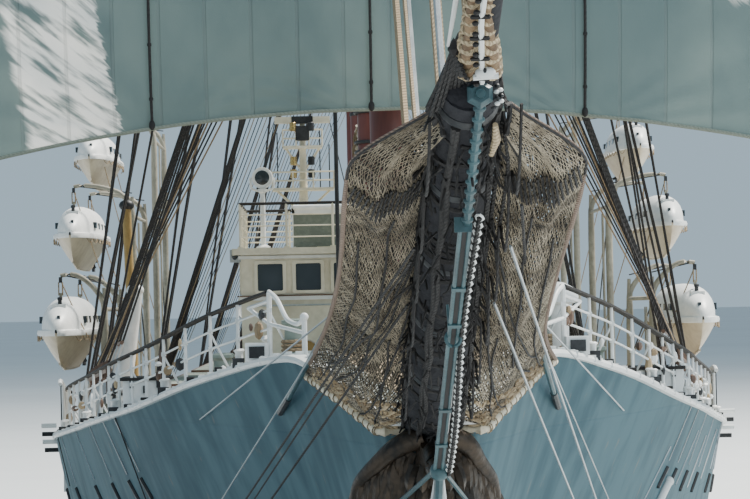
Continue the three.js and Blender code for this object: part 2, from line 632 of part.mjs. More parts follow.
const STAY = 0.03;
const [foreRow, mainRow, mizzenRow, jiggerRow] = mastRows;

/** Stays that run forward from a mast, as bars fused to it that end just short of their other seat. */
function headstays() {
  const seats = [
    { from: 21.2, s: -1.5, over: 0.42 }, { from: 31.7, s: -6, over: 0.39 },
    { from: 38.2, s: -10, over: 0.41 }, { from: 43.5, s: -17.8, over: 0.136 },
  ];
  return seats.map(({ from, s, over }) => rod(onMast(foreRow, 0, 0.1, from), sprit(s, over), STAY, STAY, 4));
}

function mastStays(row, ahead) {
  const seats = [
    { from: row.top + 0.3, to: ahead.top + 0.4 }, { from: row.tops[0] - 0.3, to: ahead.top + 1.4 },
    { from: row.truck - 3, to: ahead.tops[0] - 1.2 },
  ];
  return seats.map(({ from, to }) => {
    const radius = to < ahead.top + 0.6 ? MAST.lower : MAST.upper;
    return rod(onMast(row, 0, 0.1, from), onMast(ahead, 0, -radius - 0.05, to), STAY, STAY, 4);
  });
}
add('foremast', union([mastSolid(foreRow), ...headstays()]), MAST_BROWN);
add('mainmast', union([mastSolid(mainRow), ...mastStays(mainRow, foreRow)]), MAST_BROWN);
add('mizzenmast', union([mastSolid(mizzenRow), ...mastStays(mizzenRow, mainRow)]), MAST_BROWN);
add('jiggermast', union([mastSolid(jiggerRow), ...mastStays(jiggerRow, mizzenRow)]), MAST_BROWN);

// Shroud fans: lower shrouds to the top, backstays to the topmast head, one foot bar along the deck edge.

const shroudRows = [
  { aft: 0.9, to: 'top' }, { aft: 1.8, to: 'top' }, { aft: 2.7, to: 'top' }, { aft: 3.6, to: 'top' },
  { aft: 4.5, to: 'tops' }, { aft: 5.4, to: 'truck' },
];
const CHAIN = 0.05;
const LUG = 0.09;
const CHAIN_INSET = 0.46;

function footPoint(side, s) {
  return place(side * (deckHalf(s) - CHAIN_INSET), s, deck(s) + CHAIN + GAP);
}

function shroudFan(row, side) {
  const seat = (z, lift = 0) => onMast(row, side * (mastRadius(row, z) + LUG * 0.866 + GAP), 0, z + lift);
  const headHeights = { top: row.top - 0.3, tops: row.tops[0] - 0.3, truck: row.truck - 3 };
  const feet = shroudRows.map(({ aft }) => footPoint(side, row.s + aft));
  const ropes = shroudRows.map(({ to }, i) => rod(feet[i], seat(headHeights[to]), STAY, STAY, 3));
  const lugs = Object.values(headHeights).map((z) => rod(seat(z, -0.2), seat(z, 0.15), LUG, LUG, 6));
  return union([...ropes, ...lugs, runner(feet, CHAIN, 4)]);
}
for (const row of mastRows) {
  for (const [name, side] of SIDES) {
    add(`${row.name}_shrouds_${name}`, shroudFan(row, side), ROPE);
  }
}

// Square rig on the foremast: four yards, each with a parrel about the mast, and four set sails.

const yardRows = [
  { name: 'course', z: 19.6, half: 14.0, radius: 0.22, head: 13.2, foot: 12.5,
    drop: 9.15, cut: 1.7, belly: 1.0 },
  { name: 'topsail', z: 30.0, half: 12.0, radius: 0.18, head: 11.2, foot: 12.8,
    drop: 9.4, cut: 0.9, belly: 1.1 },
  { name: 'topgallant', z: 36.2, half: 9.2, radius: 0.15, head: 8.5, foot: 10.9,
    drop: 5.4, cut: 0.6, belly: 0.8 },
  { name: 'royal', z: 41.6, half: 6.6, radius: 0.12, head: 6.0, foot: 8.5,
    drop: 4.7, cut: 0.9, belly: 0.6 },
];
const TRUSS = 1.0;
const SAIL_THICKNESS = 0.08;

function yardSolid(row) {
  const inner = collarRadius(foreRow, row.z - 0.12);
  const ring = rod(onMast(foreRow, 0, 0, row.z - 0.12), onMast(foreRow, 0, 0, row.z + 0.12),
    inner + 0.12, inner + 0.12, 16);
  const hole = rod(onMast(foreRow, 0, 0, row.z - 0.3), onMast(foreRow, 0, 0, row.z + 0.3), inner, inner, 16);
  const halves = [1, -1].map((side) => rod(onMast(foreRow, 0, TRUSS, row.z),
    onMast(foreRow, side * row.half, TRUSS, row.z), row.radius, row.radius * 0.45, 8));
  return union([
    ...halves,
    rod(onMast(foreRow, 0, inner + 0.08, row.z), onMast(foreRow, 0, TRUSS, row.z), 0.1, 0.1, 8),
    ring,
  ]).subtract(hole);
}

/** A set sail: straight head under its yard, arched foot, and a belly blown forward. */
function squareSail(row) {
  const headDrop = row.radius + GAP;
  return panel((across, down) => {
    const u = across * 2 - 1;
    const width = lerp(row.head, row.foot, down);
    const arch = row.cut * (1 - u * u) * down * down;
    const z = row.z - headDrop - row.drop * down + arch;
    const belly = row.belly * Math.sin(Math.PI * Math.min(1, 0.12 + down * 0.8)) * (1 - u * u * u * u * 0.9);
    const base = row.belly * Math.sin(Math.PI * 0.12) * (1 - u * u * u * u * 0.9);
    return onMast(foreRow, u * width, TRUSS + belly - base * (1 - down), z);
  }, 8, 5, new THREE.Vector3(0, SAIL_THICKNESS * M, 0));
}
for (const row of yardRows) {
  add(`yard_${row.name}`, yardSolid(row), MAST_BROWN);
  add(`sail_${row.name}`, squareSail(row), CANVAS);
}

// Booms with their lowered gaffs, and the sails stowed between them.

const boomRows = [
  { name: 'main', mast: mainRow, z: 12.8, length: 15.2 },
  { name: 'mizzen', mast: mizzenRow, z: 12.2, length: 15.0 },
  { name: 'jigger', mast: jiggerRow, z: 11.4, length: 19.0 },
];
const BOOM = { radius: 0.2, bundle: 0.34, gaff: 0.13 };

for (const row of boomRows) {
  const { mast } = row;
  const inner = collarRadius(mast, row.z);
  const bundleZ = row.z + BOOM.radius + BOOM.bundle + GAP;
  const gaffZ = row.z + BOOM.radius + BOOM.bundle * 2 + BOOM.gaff + GAP * 2;
  const ring = rod(onMast(mast, 0, 0, row.z - 0.25), onMast(mast, 0, 0, gaffZ + 0.2),
    inner + 0.13, inner + 0.13, 16);
  const hole = rod(onMast(mast, 0, 0, row.z - 0.5), onMast(mast, 0, 0, gaffZ + 0.5), inner, inner, 16);
  add(`boom_${row.name}`, union([
    ring,
    rod(onMast(mast, 0, -inner - 0.05, row.z), onMast(mast, 0, -row.length, row.z),
      BOOM.radius, BOOM.radius * 0.8, 10),
    rod(onMast(mast, 0, -inner - 0.05, gaffZ), onMast(mast, 0, -row.length * 0.72, gaffZ),
      BOOM.gaff, BOOM.gaff * 0.8, 8),
  ]).subtract(hole), WOOD);
  const lengths = [0.045, 0.12, 0.4, 0.8, 0.94];
  const shares = [0.55, 1, 1, 0.9, 0.3];
  add(`stowed_sail_${row.name}`, loft(lengths.map((share, i) => {
    const lift = BOOM.bundle * (1 - shares[i]);
    return bundleRing(onMast(mast, 0, -row.length * share, bundleZ - lift),
      BOOM.bundle * shares[i] * 1.1, BOOM.bundle * shares[i]);
  })), CANVAS);
}

// Rudder, propeller and steering wheel.

const RUDDER = { s: 85.2, top: -0.35, foot: -6.25 + GAP };
add('rudder', union([
  rod(place(0, RUDDER.s, RUDDER.foot), place(0, RUDDER.s, RUDDER.top + 0.4), 0.16, 0.16, 10),
  box([-0.12, RUDDER.s - 0.5, RUDDER.foot + 0.05], [0.12, RUDDER.s + 2.0, RUDDER.top - 0.3]),
]).subtract(hullSolid().translate([0, 0, -0.5])), HULL_WHITE);

const PROPELLER = { s: 83.4, z: -3.4, radius: 1.35, blades: 4 };
function blade(turn) {
  const geometry = new THREE.BoxGeometry(0.07 * M, 0.62 * M, PROPELLER.radius * M);
  geometry.translate(0, 0, (PROPELLER.radius / 2) * M);
  geometry.applyMatrix4(new THREE.Matrix4().makeRotationZ(0.9));
  geometry.applyMatrix4(new THREE.Matrix4().makeRotationY(turn));
  const hub = place(0, PROPELLER.s, PROPELLER.z);
  geometry.translate(hub.x, hub.y, hub.z);
  return solidOf(geometry);
}
add('propeller', union([
  rod(place(0, 82.418, PROPELLER.z), place(0, 84.1, PROPELLER.z), 0.28, 0.12, 12),
  ...Array.from({ length: PROPELLER.blades }, (_, i) => blade((2 * Math.PI * i) / PROPELLER.blades + 0.4)),
]), BRASS);

const WHEEL = { s: 81.6, z: 7.45, radius: 0.75, spokes: 8 };
const wheelRim = new THREE.TorusGeometry(WHEEL.radius * M, 0.05 * M, 4, 16);
wheelRim.rotateX(Math.PI / 2);
const wheelHub = place(0, WHEEL.s, WHEEL.z);
wheelRim.translate(wheelHub.x, wheelHub.y, wheelHub.z);
add('steering_wheel', union([
  solidOf(wheelRim),
  rod(place(0, WHEEL.s - 0.1, WHEEL.z), place(0, WHEEL.s + 0.1, WHEEL.z), 0.12, 0.12, 10),
  ...Array.from({ length: WHEEL.spokes }, (_, i) => {
    const angle = (2 * Math.PI * i) / WHEEL.spokes;
    const reach = WHEEL.radius + 0.18;
    return rod(wheelHub, place(Math.cos(angle) * reach, WHEEL.s, WHEEL.z + Math.sin(angle) * reach),
      0.03, 0.025, 4);
  }),
]), WOOD);
export default ship;
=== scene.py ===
"""Looks of the tall ship model at 1:10: hull, rig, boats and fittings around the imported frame.

Tables and places are in metres of the real ship, as in the part's source: x athwartships with port
at +x, s metres aft of the stem head, z metres above the water. at_ship() turns them into the model.
"""
import logging
import math
from dataclasses import dataclass, field
from enum import Enum

import bpy
import numpy as np
from mathutils import Matrix, Vector


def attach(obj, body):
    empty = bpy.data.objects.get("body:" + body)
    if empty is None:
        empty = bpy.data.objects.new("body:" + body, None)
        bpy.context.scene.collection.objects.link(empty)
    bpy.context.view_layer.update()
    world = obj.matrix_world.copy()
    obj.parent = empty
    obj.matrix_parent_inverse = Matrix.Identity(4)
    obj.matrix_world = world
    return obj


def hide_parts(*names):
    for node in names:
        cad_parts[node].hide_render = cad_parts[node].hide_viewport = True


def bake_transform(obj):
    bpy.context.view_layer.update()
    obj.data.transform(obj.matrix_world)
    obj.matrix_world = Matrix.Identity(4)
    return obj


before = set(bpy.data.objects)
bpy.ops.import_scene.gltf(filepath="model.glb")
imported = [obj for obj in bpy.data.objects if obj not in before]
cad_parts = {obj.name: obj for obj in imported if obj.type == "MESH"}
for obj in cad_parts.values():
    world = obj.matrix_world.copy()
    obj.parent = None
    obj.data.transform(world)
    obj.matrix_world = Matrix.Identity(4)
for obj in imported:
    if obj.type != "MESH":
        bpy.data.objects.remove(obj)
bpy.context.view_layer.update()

LOG = logging.getLogger("tall_ship")

SCALE = 0.1
MIDSHIPS = 47.0
SIDES = (("port", 1.0), ("starboard", -1.0))
RNG = np.random.default_rng(17)


def at_ship(points: np.ndarray) -> np.ndarray:
    """Turn (x, s, z) rows in real metres into model metres.

    Args:
        points: Array whose last axis is x, s, z.

    Returns:
        Array of the same shape in the model's frame.
    """
    points = np.asarray(points, dtype=float)
    return (points - np.array([0.0, MIDSHIPS, 0.0])) * SCALE


def spread(low: float, high: float, count: int) -> np.ndarray:
    """Evenly spaced values from low to high, both included."""
    return np.linspace(low, high, count)


def turns(count: int) -> np.ndarray:
    """Angles of evenly spaced corners round a circle."""
    return spread(0, 2 * math.pi, count + 1)[:-1]


def graded(count: int, places: tuple[float, ...], values: tuple[float, ...]) -> np.ndarray:
    """Values read at evenly spread shares from 0 to 1."""
    return np.interp(spread(0, 1, count), places, values)


def unit(vectors: np.ndarray) -> np.ndarray:
    """Vectors at length one, along the last axis."""
    return vectors / np.maximum(np.linalg.norm(vectors, axis=-1, keepdims=True), 1e-9)


def merged(*parts: np.ndarray | float) -> np.ndarray:
    """Coordinates spread to one shape and put side by side on a last axis."""
    return np.stack(np.broadcast_arrays(*parts), axis=-1)


def run_of(path: np.ndarray) -> np.ndarray:
    """Length along a path at each of its points."""
    return np.concatenate([[0], np.cumsum(np.linalg.norm(np.diff(path, axis=0), axis=1))])


def read_path(at: float, run: np.ndarray, path: np.ndarray) -> np.ndarray:
    """Point of a path where its run reaches a value."""
    return np.array([np.interp(at, run, path[:, axis]) for axis in range(3)])


def mirrored(side: float) -> np.ndarray:
    """Factors that send a port point to a side: 1 keeps it, -1 mirrors it."""
    return np.array((side, 1.0, 1.0))


def square_to(along: np.ndarray, steady: bool = False) -> tuple[np.ndarray, np.ndarray]:
    """Side and up directions square to unit directions (n, 3); steady keeps one guide for all of them."""
    guide = np.where(np.abs(along[:, 2:3]) > 0.92, [[1.0, 0.0, 0.0]], [[0.0, 0.0, 1.0]])
    if steady:
        guide = np.broadcast_to(guide[:1], along.shape)
    side = unit(np.cross(along, guide))
    return side, np.cross(side, along)


def hermite(knots: np.ndarray, values: np.ndarray, at: np.ndarray) -> np.ndarray:
    """Smooth curve through table rows: cubic pieces whose slopes are limited so that none overshoots.

    Args:
        knots: Rising positions of the rows.
        values: Rows, one value or one array of values a knot.
        at: Positions to read.

    Returns:
        The values at those positions, with the rows' shape behind the first axis.
    """
    knots = np.asarray(knots, dtype=float)
    values = np.asarray(values, dtype=float)
    flat = values.reshape(len(knots), -1)
    gaps = np.diff(knots)[:, None]
    slopes = np.diff(flat, axis=0) / gaps
    tangents = np.zeros_like(flat)
    same = slopes[1:] * slopes[:-1] > 0
    total = slopes[1:] + slopes[:-1]
    safe = np.where(same, total, 1.0)
    tangents[1:-1] = np.where(same, 2 * slopes[1:] * slopes[:-1] / safe, 0.0)
    tangents[0], tangents[-1] = slopes[0], slopes[-1]
    at = np.asarray(at, dtype=float)
    cell = np.clip(np.searchsorted(knots, at, side="right") - 1, 0, len(knots) - 2)
    h = gaps[cell]
    t = np.clip((at - knots[cell])[:, None] / h, 0.0, 1.0)
    out = ((1 + 2 * t) * (1 - t) ** 2 * flat[cell] + t * (1 - t) ** 2 * h * tangents[cell]
           + t ** 2 * (3 - 2 * t) * flat[cell + 1] + t ** 2 * (t - 1) * h * tangents[cell + 1])
    return out.reshape((len(at),) + values.shape[1:])


def curve(points: list[tuple[float, float, float]], count: int) -> np.ndarray:
    """Smooth path through points, evenly spread in its knots."""
    rows = np.array(points, dtype=float)
    knots = run_of(rows)
    return hermite(knots, rows, spread(0, knots[-1], count))


def sagging(start: np.ndarray, end: np.ndarray, sag: float, count: int = 9) -> np.ndarray:
    """Rope between two points: straight line lowered by sag * 4 t (1 - t)."""
    t = spread(0, 1, count)[:, None]
    line = np.asarray(start, dtype=float) * (1 - t) + np.asarray(end, dtype=float) * t
    line[:, 2] -= sag * 4 * t[:, 0] * (1 - t[:, 0])
    return line


# Surfaces gathered into meshes.


@dataclass
class Form:
    """Vertices and faces of one piece, gathered from surfaces that numpy works out."""

    name: str
    verts: list[np.ndarray] = field(default_factory=list)
    quads: list[np.ndarray] = field(default_factory=list)
    tris: list[np.ndarray] = field(default_factory=list)
    quad_slots: list[np.ndarray] = field(default_factory=list)
    tri_slots: list[np.ndarray] = field(default_factory=list)
    uvs: list[np.ndarray] = field(default_factory=list)
    count: int = 0

    def push(self, points: np.ndarray, uv: np.ndarray | None = None) -> int:
        """Add points in real ship metres and return the index of the first one."""
        points = np.asarray(points, dtype=float).reshape(-1, 3)
        first = self.count
        self.verts.append(points)
        self.uvs.append(np.zeros((len(points), 2)) if uv is None else np.asarray(uv).reshape(-1, 2))
        self.count += len(points)
        return first

    def push_quads(self, faces: np.ndarray, slot: int) -> None:
        """Add four-cornered faces with one material slot."""
        faces = np.asarray(faces, dtype=np.int64).reshape(-1, 4)
        self.quads.append(faces)
        self.quad_slots.append(np.full(len(faces), slot))

    def push_tris(self, faces: np.ndarray, slot: int) -> None:
        """Add three-cornered faces with one material slot."""
        faces = np.asarray(faces, dtype=np.int64).reshape(-1, 3)
        self.tris.append(faces)
        self.tri_slots.append(np.full(len(faces), slot))

    def grid(self, points: np.ndarray, slot: int = 0, close_u: bool = False, close_v: bool = False,
             flip: bool = False, uv: np.ndarray | None = None) -> None:
        """Add a surface as rows u of points v.

        Args:
            points: Array (rows, columns, 3).
            slot: Material slot of its faces.
            close_u: Join the last row to the first.
            close_v: Join the last column to the first.
            flip: Turn the faces round.
            uv: Array (rows, columns, 2) of pattern coordinates.
        """
        rows, cols = points.shape[:2]
        first = self.push(points, uv)
        index = np.arange(rows * cols).reshape(rows, cols) + first
        if close_u:
            index = np.vstack([index, index[:1]])
        if close_v:
            index = np.hstack([index, index[:, :1]])
        a, b = index[:-1, :-1], index[1:, :-1]
        c, d = index[1:, 1:], index[:-1, 1:]
        faces = np.stack([a, d, c, b] if flip else [a, b, c, d], axis=-1)
        self.push_quads(faces, slot)

    def fan(self, ring: np.ndarray, slot: int = 0, flip: bool = False) -> None:
        """Close a ring of points with triangles about its middle."""
        first = self.push(np.vstack([ring, ring.mean(axis=0)]))
        n = len(ring)
        a = np.arange(n) + first
        b = (np.arange(n) + 1) % n + first
        mid = np.full(n, first + n)
        self.push_tris(np.stack([a, mid, b] if flip else [a, b, mid], axis=-1), slot)

    def tube(self, path: np.ndarray, radius: np.ndarray | float, sides: int = 8, slot: int = 0,
             caps: bool = True, squash: float = 1.0) -> None:
        """Carry a circle along a path: p + r (cos a * side + squash * sin a * up).

        Args:
            path: Points (n, 3).
            radius: One radius, or one a point.
            sides: Corners of the circle.
            slot: Material slot.
            caps: Close both ends.
            squash: Height over width of the section.
        """
        path = np.asarray(path, dtype=float)
        radius = np.broadcast_to(np.asarray(radius, dtype=float), len(path))
        side, up = square_to(unit(np.gradient(path, axis=0)), steady=True)
        angle = turns(sides)
        ring = (np.cos(angle)[None, :, None] * side[:, None] + squash * np.sin(angle)[None, :, None]
                * up[:, None]) * radius[:, None, None] + path[:, None]
        uv = merged(angle[None] / (2 * math.pi), run_of(path)[:, None])
        self.grid(ring, slot, close_v=True, flip=True, uv=uv)
        if caps:
            self.fan(ring[0], slot, flip=False)
            self.fan(ring[-1], slot, flip=True)

    def rods(self, starts: np.ndarray, ends: np.ndarray, radius: float | np.ndarray, sides: int = 5,
             slot: int = 0, end_radius: float | None = None) -> None:
        """Many straight round bars at once, each from a start to an end, with flat ends."""
        a = np.asarray(starts, dtype=float).reshape(-1, 3)
        b = np.asarray(ends, dtype=float).reshape(-1, 3)
        n = len(a)
        side, up = square_to(unit(b - a))
        angle = turns(sides)
        disc = np.cos(angle)[None, :, None] * side[:, None] + np.sin(angle)[None, :, None] * up[:, None]
        r0 = np.broadcast_to(np.asarray(radius, dtype=float), n)[:, None, None]
        r1 = r0 if end_radius is None else np.full((n, 1, 1), end_radius)
        rings = np.stack([a[:, None] + disc * r0, b[:, None] + disc * r1], axis=1)
        reach = np.linalg.norm(b - a, axis=1)
        uv = np.zeros((n, 2, sides, 2))
        uv[..., 0] = angle / (2 * math.pi)
        uv[:, 1, :, 1] = reach[:, None]
        first = self.push(rings, uv)
        index = np.arange(n * 2 * sides).reshape(n, 2, sides) + first
        nxt = np.roll(index, -1, axis=2)
        walls = merged(index[:, 0], nxt[:, 0], nxt[:, 1], index[:, 1])
        self.push_quads(walls, slot)
        for which, order in ((0, 1), (1, -1)):
            ring = index[:, which, ::-order]
            for k in range(1, sides - 1):
                self.push_tris(merged(ring[:, 0], ring[:, k], ring[:, k + 1]), slot)

    def blocks(self, centres: np.ndarray, sizes: np.ndarray, slot: int = 0,
               turn: np.ndarray | None = None) -> None:
        """Many boxes at once.

        Args:
            centres: Middle points (n, 3).
            sizes: Full lengths, one row for all or one each.
            slot: Material slot.
            turn: Optional (n, 3, 3) or (3, 3) axes as rows: the box's own x, y and z.
        """
        centres = np.asarray(centres, dtype=float).reshape(-1, 3)
        n = len(centres)
        half = np.broadcast_to(np.asarray(sizes, dtype=float), (n, 3)) / 2
        sign = np.array([[i, j, k] for i in (-1, 1) for j in (-1, 1) for k in (-1, 1)], dtype=float)
        local = sign[None] * half[:, None]
        if turn is not None:
            axes = np.broadcast_to(np.asarray(turn, dtype=float), (n, 3, 3))
            local = np.einsum("nki,nij->nkj", local, axes)
        first = self.push(centres[:, None] + local)
        index = np.arange(n * 8).reshape(n, 8) + first
        faces = np.array([[0, 1, 3, 2], [4, 6, 7, 5], [0, 4, 5, 1], [2, 3, 7, 6], [0, 2, 6, 4], [1, 5, 7, 3]])
        self.push_quads(index[:, faces].reshape(-1, 4), slot)

    def ball(self, centre: np.ndarray, radii: tuple[float, float, float], slot: int = 0,
             rings: int = 10, sides: int = 16) -> None:
        """Ellipsoid: centre + radii * (sin p cos a, sin p sin a, cos p)."""
        polar = spread(0.001, math.pi - 0.001, rings)[:, None]
        angle = turns(sides)[None]
        ball = merged(np.sin(polar) * np.cos(angle), np.sin(polar) * np.sin(angle), np.cos(polar))
        self.grid(ball * np.array(radii) + np.asarray(centre), slot, close_v=True)

    def lathe(self, centre: np.ndarray, profile: list[tuple[float, float]], slot: int = 0, sides: int = 20,
              axis: int = 2) -> None:
        """Turn a profile of (radius, height) rows about an axis through centre: x, s or z as 0, 1 or 2."""
        rows = np.array(profile, dtype=float)
        angle = turns(sides)
        out = np.zeros((len(rows), sides, 3))
        first, second = [(1, 2), (2, 0), (0, 1)][axis]
        out[..., first] = rows[:, :1] * np.cos(angle)
        out[..., second] = rows[:, :1] * np.sin(angle)
        out[..., axis] = rows[:, 1:2]
        out += np.asarray(centre, dtype=float)
        self.grid(out, slot, close_v=True, flip=True)
        if rows[0, 0] > 1e-6:
            self.fan(out[0], slot, flip=True)
        if rows[-1, 0] > 1e-6:
            self.fan(out[-1], slot, flip=False)

    def make(self, finishes: list["Finish"], body: str | None, slot: str, replaces: tuple[str, ...] = (),
             smooth_angle: float = 40.0, blend: tuple | None = None) -> bpy.types.Object:
        """Build the mesh object, dress it and put it on its body.

        Args:
            finishes: Finish of each material slot, in order.
            body: Body that carries the piece.
            slot: Name of the record's material slot; not used.
            replaces: Nodes that the piece stands for.
            smooth_angle: Edges sharper than this stay sharp, in degrees.
            blend: Two bodies and two points, in place of one body; the piece's place is then baked into its
                mesh, on no body.

        Returns:
            The new object.
        """
        mesh = bpy.data.meshes.new(self.name)
        verts = at_ship(np.vstack(self.verts))
        quads = np.vstack(self.quads) if self.quads else np.zeros((0, 4), dtype=np.int64)
        tris = np.vstack(self.tris) if self.tris else np.zeros((0, 3), dtype=np.int64)
        mesh.vertices.add(len(verts))
        mesh.vertices.foreach_set("co", verts.astype(np.float32).ravel())
        loops = np.concatenate([quads.ravel(), tris.ravel()])
        mesh.loops.add(len(loops))
        mesh.loops.foreach_set("vertex_index", loops.astype(np.int32))
        starts = np.concatenate([np.arange(len(quads)) * 4, len(quads) * 4 + np.arange(len(tris)) * 3])
        mesh.polygons.add(len(starts))
        mesh.polygons.foreach_set("loop_start", starts.astype(np.int32))
        slots = np.concatenate(self.quad_slots + self.tri_slots)
        mesh.polygons.foreach_set("material_index", slots.astype(np.int32))
        layer = mesh.uv_layers.new(name="pattern")
        layer.data.foreach_set("uv", np.vstack(self.uvs)[loops].astype(np.float32).ravel())
        mesh.update(calc_edges=True)
        mesh.validate()
        mesh.shade_smooth()
        mesh.set_sharp_from_angle(angle=math.radians(smooth_angle))
        for finish in finishes:
            mesh.materials.append(finish.material())
        piece = bpy.data.objects.new(self.name, mesh)
        bpy.context.collection.objects.link(piece)
        if blend:
            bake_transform(piece)
        else:
            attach(piece, body)
        if replaces:
            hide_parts(*replaces)
        LOG.info("made %s: %d faces", self.name, len(starts))
        return piece


# Finishes: procedural node materials.


class Grain(Enum):
    """How a finish breaks up its colour."""

    EVEN = "soft clouds"
    STREAKED = "rain streaks down a painted side"
    PLANKS = "caulked planks along the ship"
    CLOTH = "sailcloth with sewn seams"
    ROPE = "twisted strands"
    GLASS = "dark glass"


class Shader:
    """Builds one node material, socket by socket."""

    def __init__(self, name: str) -> None:
        self.material = bpy.data.materials.new(name)
        self.material.use_nodes = True
        self.tree = self.material.node_tree
        self.bsdf = self.tree.nodes["Principled BSDF"]
        place = self.tree.nodes.new("ShaderNodeTexCoord")
        self.place, self.pattern = place.outputs["Object"], place.outputs["UV"]

    def feed(self, socket: bpy.types.NodeSocket, value: object) -> None:
        """Link a socket to another one, or give it a constant."""
        if isinstance(value, bpy.types.NodeSocket):
            self.tree.links.new(value, socket)
        elif isinstance(value, tuple) and len(value) == 3 and socket.type == "RGBA":
            socket.default_value = (*value, 1.0)
        else:
            socket.default_value = value

    def node(self, kind: str, inputs: dict[str | int, object], **settings: object) -> bpy.types.Node:
        """Add a node of a kind with its settings and inputs."""
        made = self.tree.nodes.new("ShaderNode" + kind)
        for key, value in settings.items():
            setattr(made, key, value)
        for key, value in inputs.items():
            self.feed(made.inputs[key], value)
        return made

    def sums(self, operation: str, *values: object) -> bpy.types.NodeSocket:
        """One arithmetic step."""
        return self.node("Math", dict(enumerate(values)), operation=operation).outputs[0]

    def times(self, first: object, second: object) -> bpy.types.NodeSocket:
        """Product of two values."""
        return self.sums("MULTIPLY", first, second)

    def plus(self, first: object, *others: object) -> bpy.types.NodeSocket:
        """Sum of values."""
        for other in others:
            first = self.sums("ADD", first, other)
        return first

    def minus(self, first: object, second: object) -> bpy.types.NodeSocket:
        """Difference of two values."""
        return self.sums("SUBTRACT", first, second)

    def off_middle(self, value: object) -> bpy.types.NodeSocket:
        """How far the fraction of a value lies from one half."""
        return self.sums("ABSOLUTE", self.minus(self.sums("FRACT", value), 0.5))

    def inside(self, value: object, low: tuple[float, float],
               high: tuple[float, float]) -> bpy.types.NodeSocket:
        """1 between two soft limits, each a place and half its width, and 0 outside them."""
        rise = self.ramp(value, low[0] - low[1], low[0] + low[1])
        return self.times(rise, self.minus(1.0, self.ramp(value, high[0] - high[1], high[0] + high[1])))

    def step_tint(self, index: object) -> bpy.types.NodeSocket:
        """Random value of its own for each whole number."""
        return self.node("TexWhiteNoise", {1: index}, noise_dimensions="1D").outputs[0]

    def axes(self, vector: object) -> bpy.types.bpy_prop_collection:
        """The three coordinates of a vector."""
        return self.node("SeparateXYZ", {0: vector}).outputs

    def paint(self, colour: object) -> None:
        """Feed the base colour."""
        self.feed(self.bsdf.inputs["Base Color"], colour)

    def noise(self, vector: object, scale: float, detail: float = 3.0) -> bpy.types.NodeSocket:
        """Smooth noise from 0 to 1."""
        return self.node("TexNoise", {"Vector": vector, "Scale": scale, "Detail": detail}).outputs[0]

    def stretched(self, vector: object, stretch: tuple[float, float, float],
                  turn: float = 0.0) -> bpy.types.NodeSocket:
        """Coordinates turned about z by an angle in radians, then scaled axis by axis."""
        turned = vector if turn == 0.0 else self.node(
            "Mapping", {"Vector": vector, "Rotation": (0.0, 0.0, turn)}).outputs[0]
        return self.node("Mapping", {"Vector": turned, "Scale": stretch}).outputs[0]

    def blend(self, share: object, first: object, second: object) -> bpy.types.NodeSocket:
        """Mix two colours by a share."""
        made = self.node("Mix", {}, data_type="RGBA")
        self.feed(made.inputs[0], share)
        self.feed(made.inputs[6], first)
        self.feed(made.inputs[7], second)
        return made.outputs[2]

    def ramp(self, value: object, low: float, high: float) -> bpy.types.NodeSocket:
        """Stretch a value so that low becomes 0 and high becomes 1, clamped."""
        return self.node("MapRange", {"Value": value, "From Min": low, "From Max": high},
                         interpolation_type="SMOOTHSTEP").outputs[0]

    def relief(self, height: object, strength: float, distance: float) -> None:
        """Raise the surface by a height pattern."""
        bump = self.node("Bump", {"Strength": strength, "Distance": distance, "Height": height})
        self.feed(self.bsdf.inputs["Normal"], bump.outputs[0])


MADE: dict[str, bpy.types.Material] = {}
# Widths of a deck plank and of a sailcloth panel, real metres.
PLANK, PANEL = 0.2, 0.8


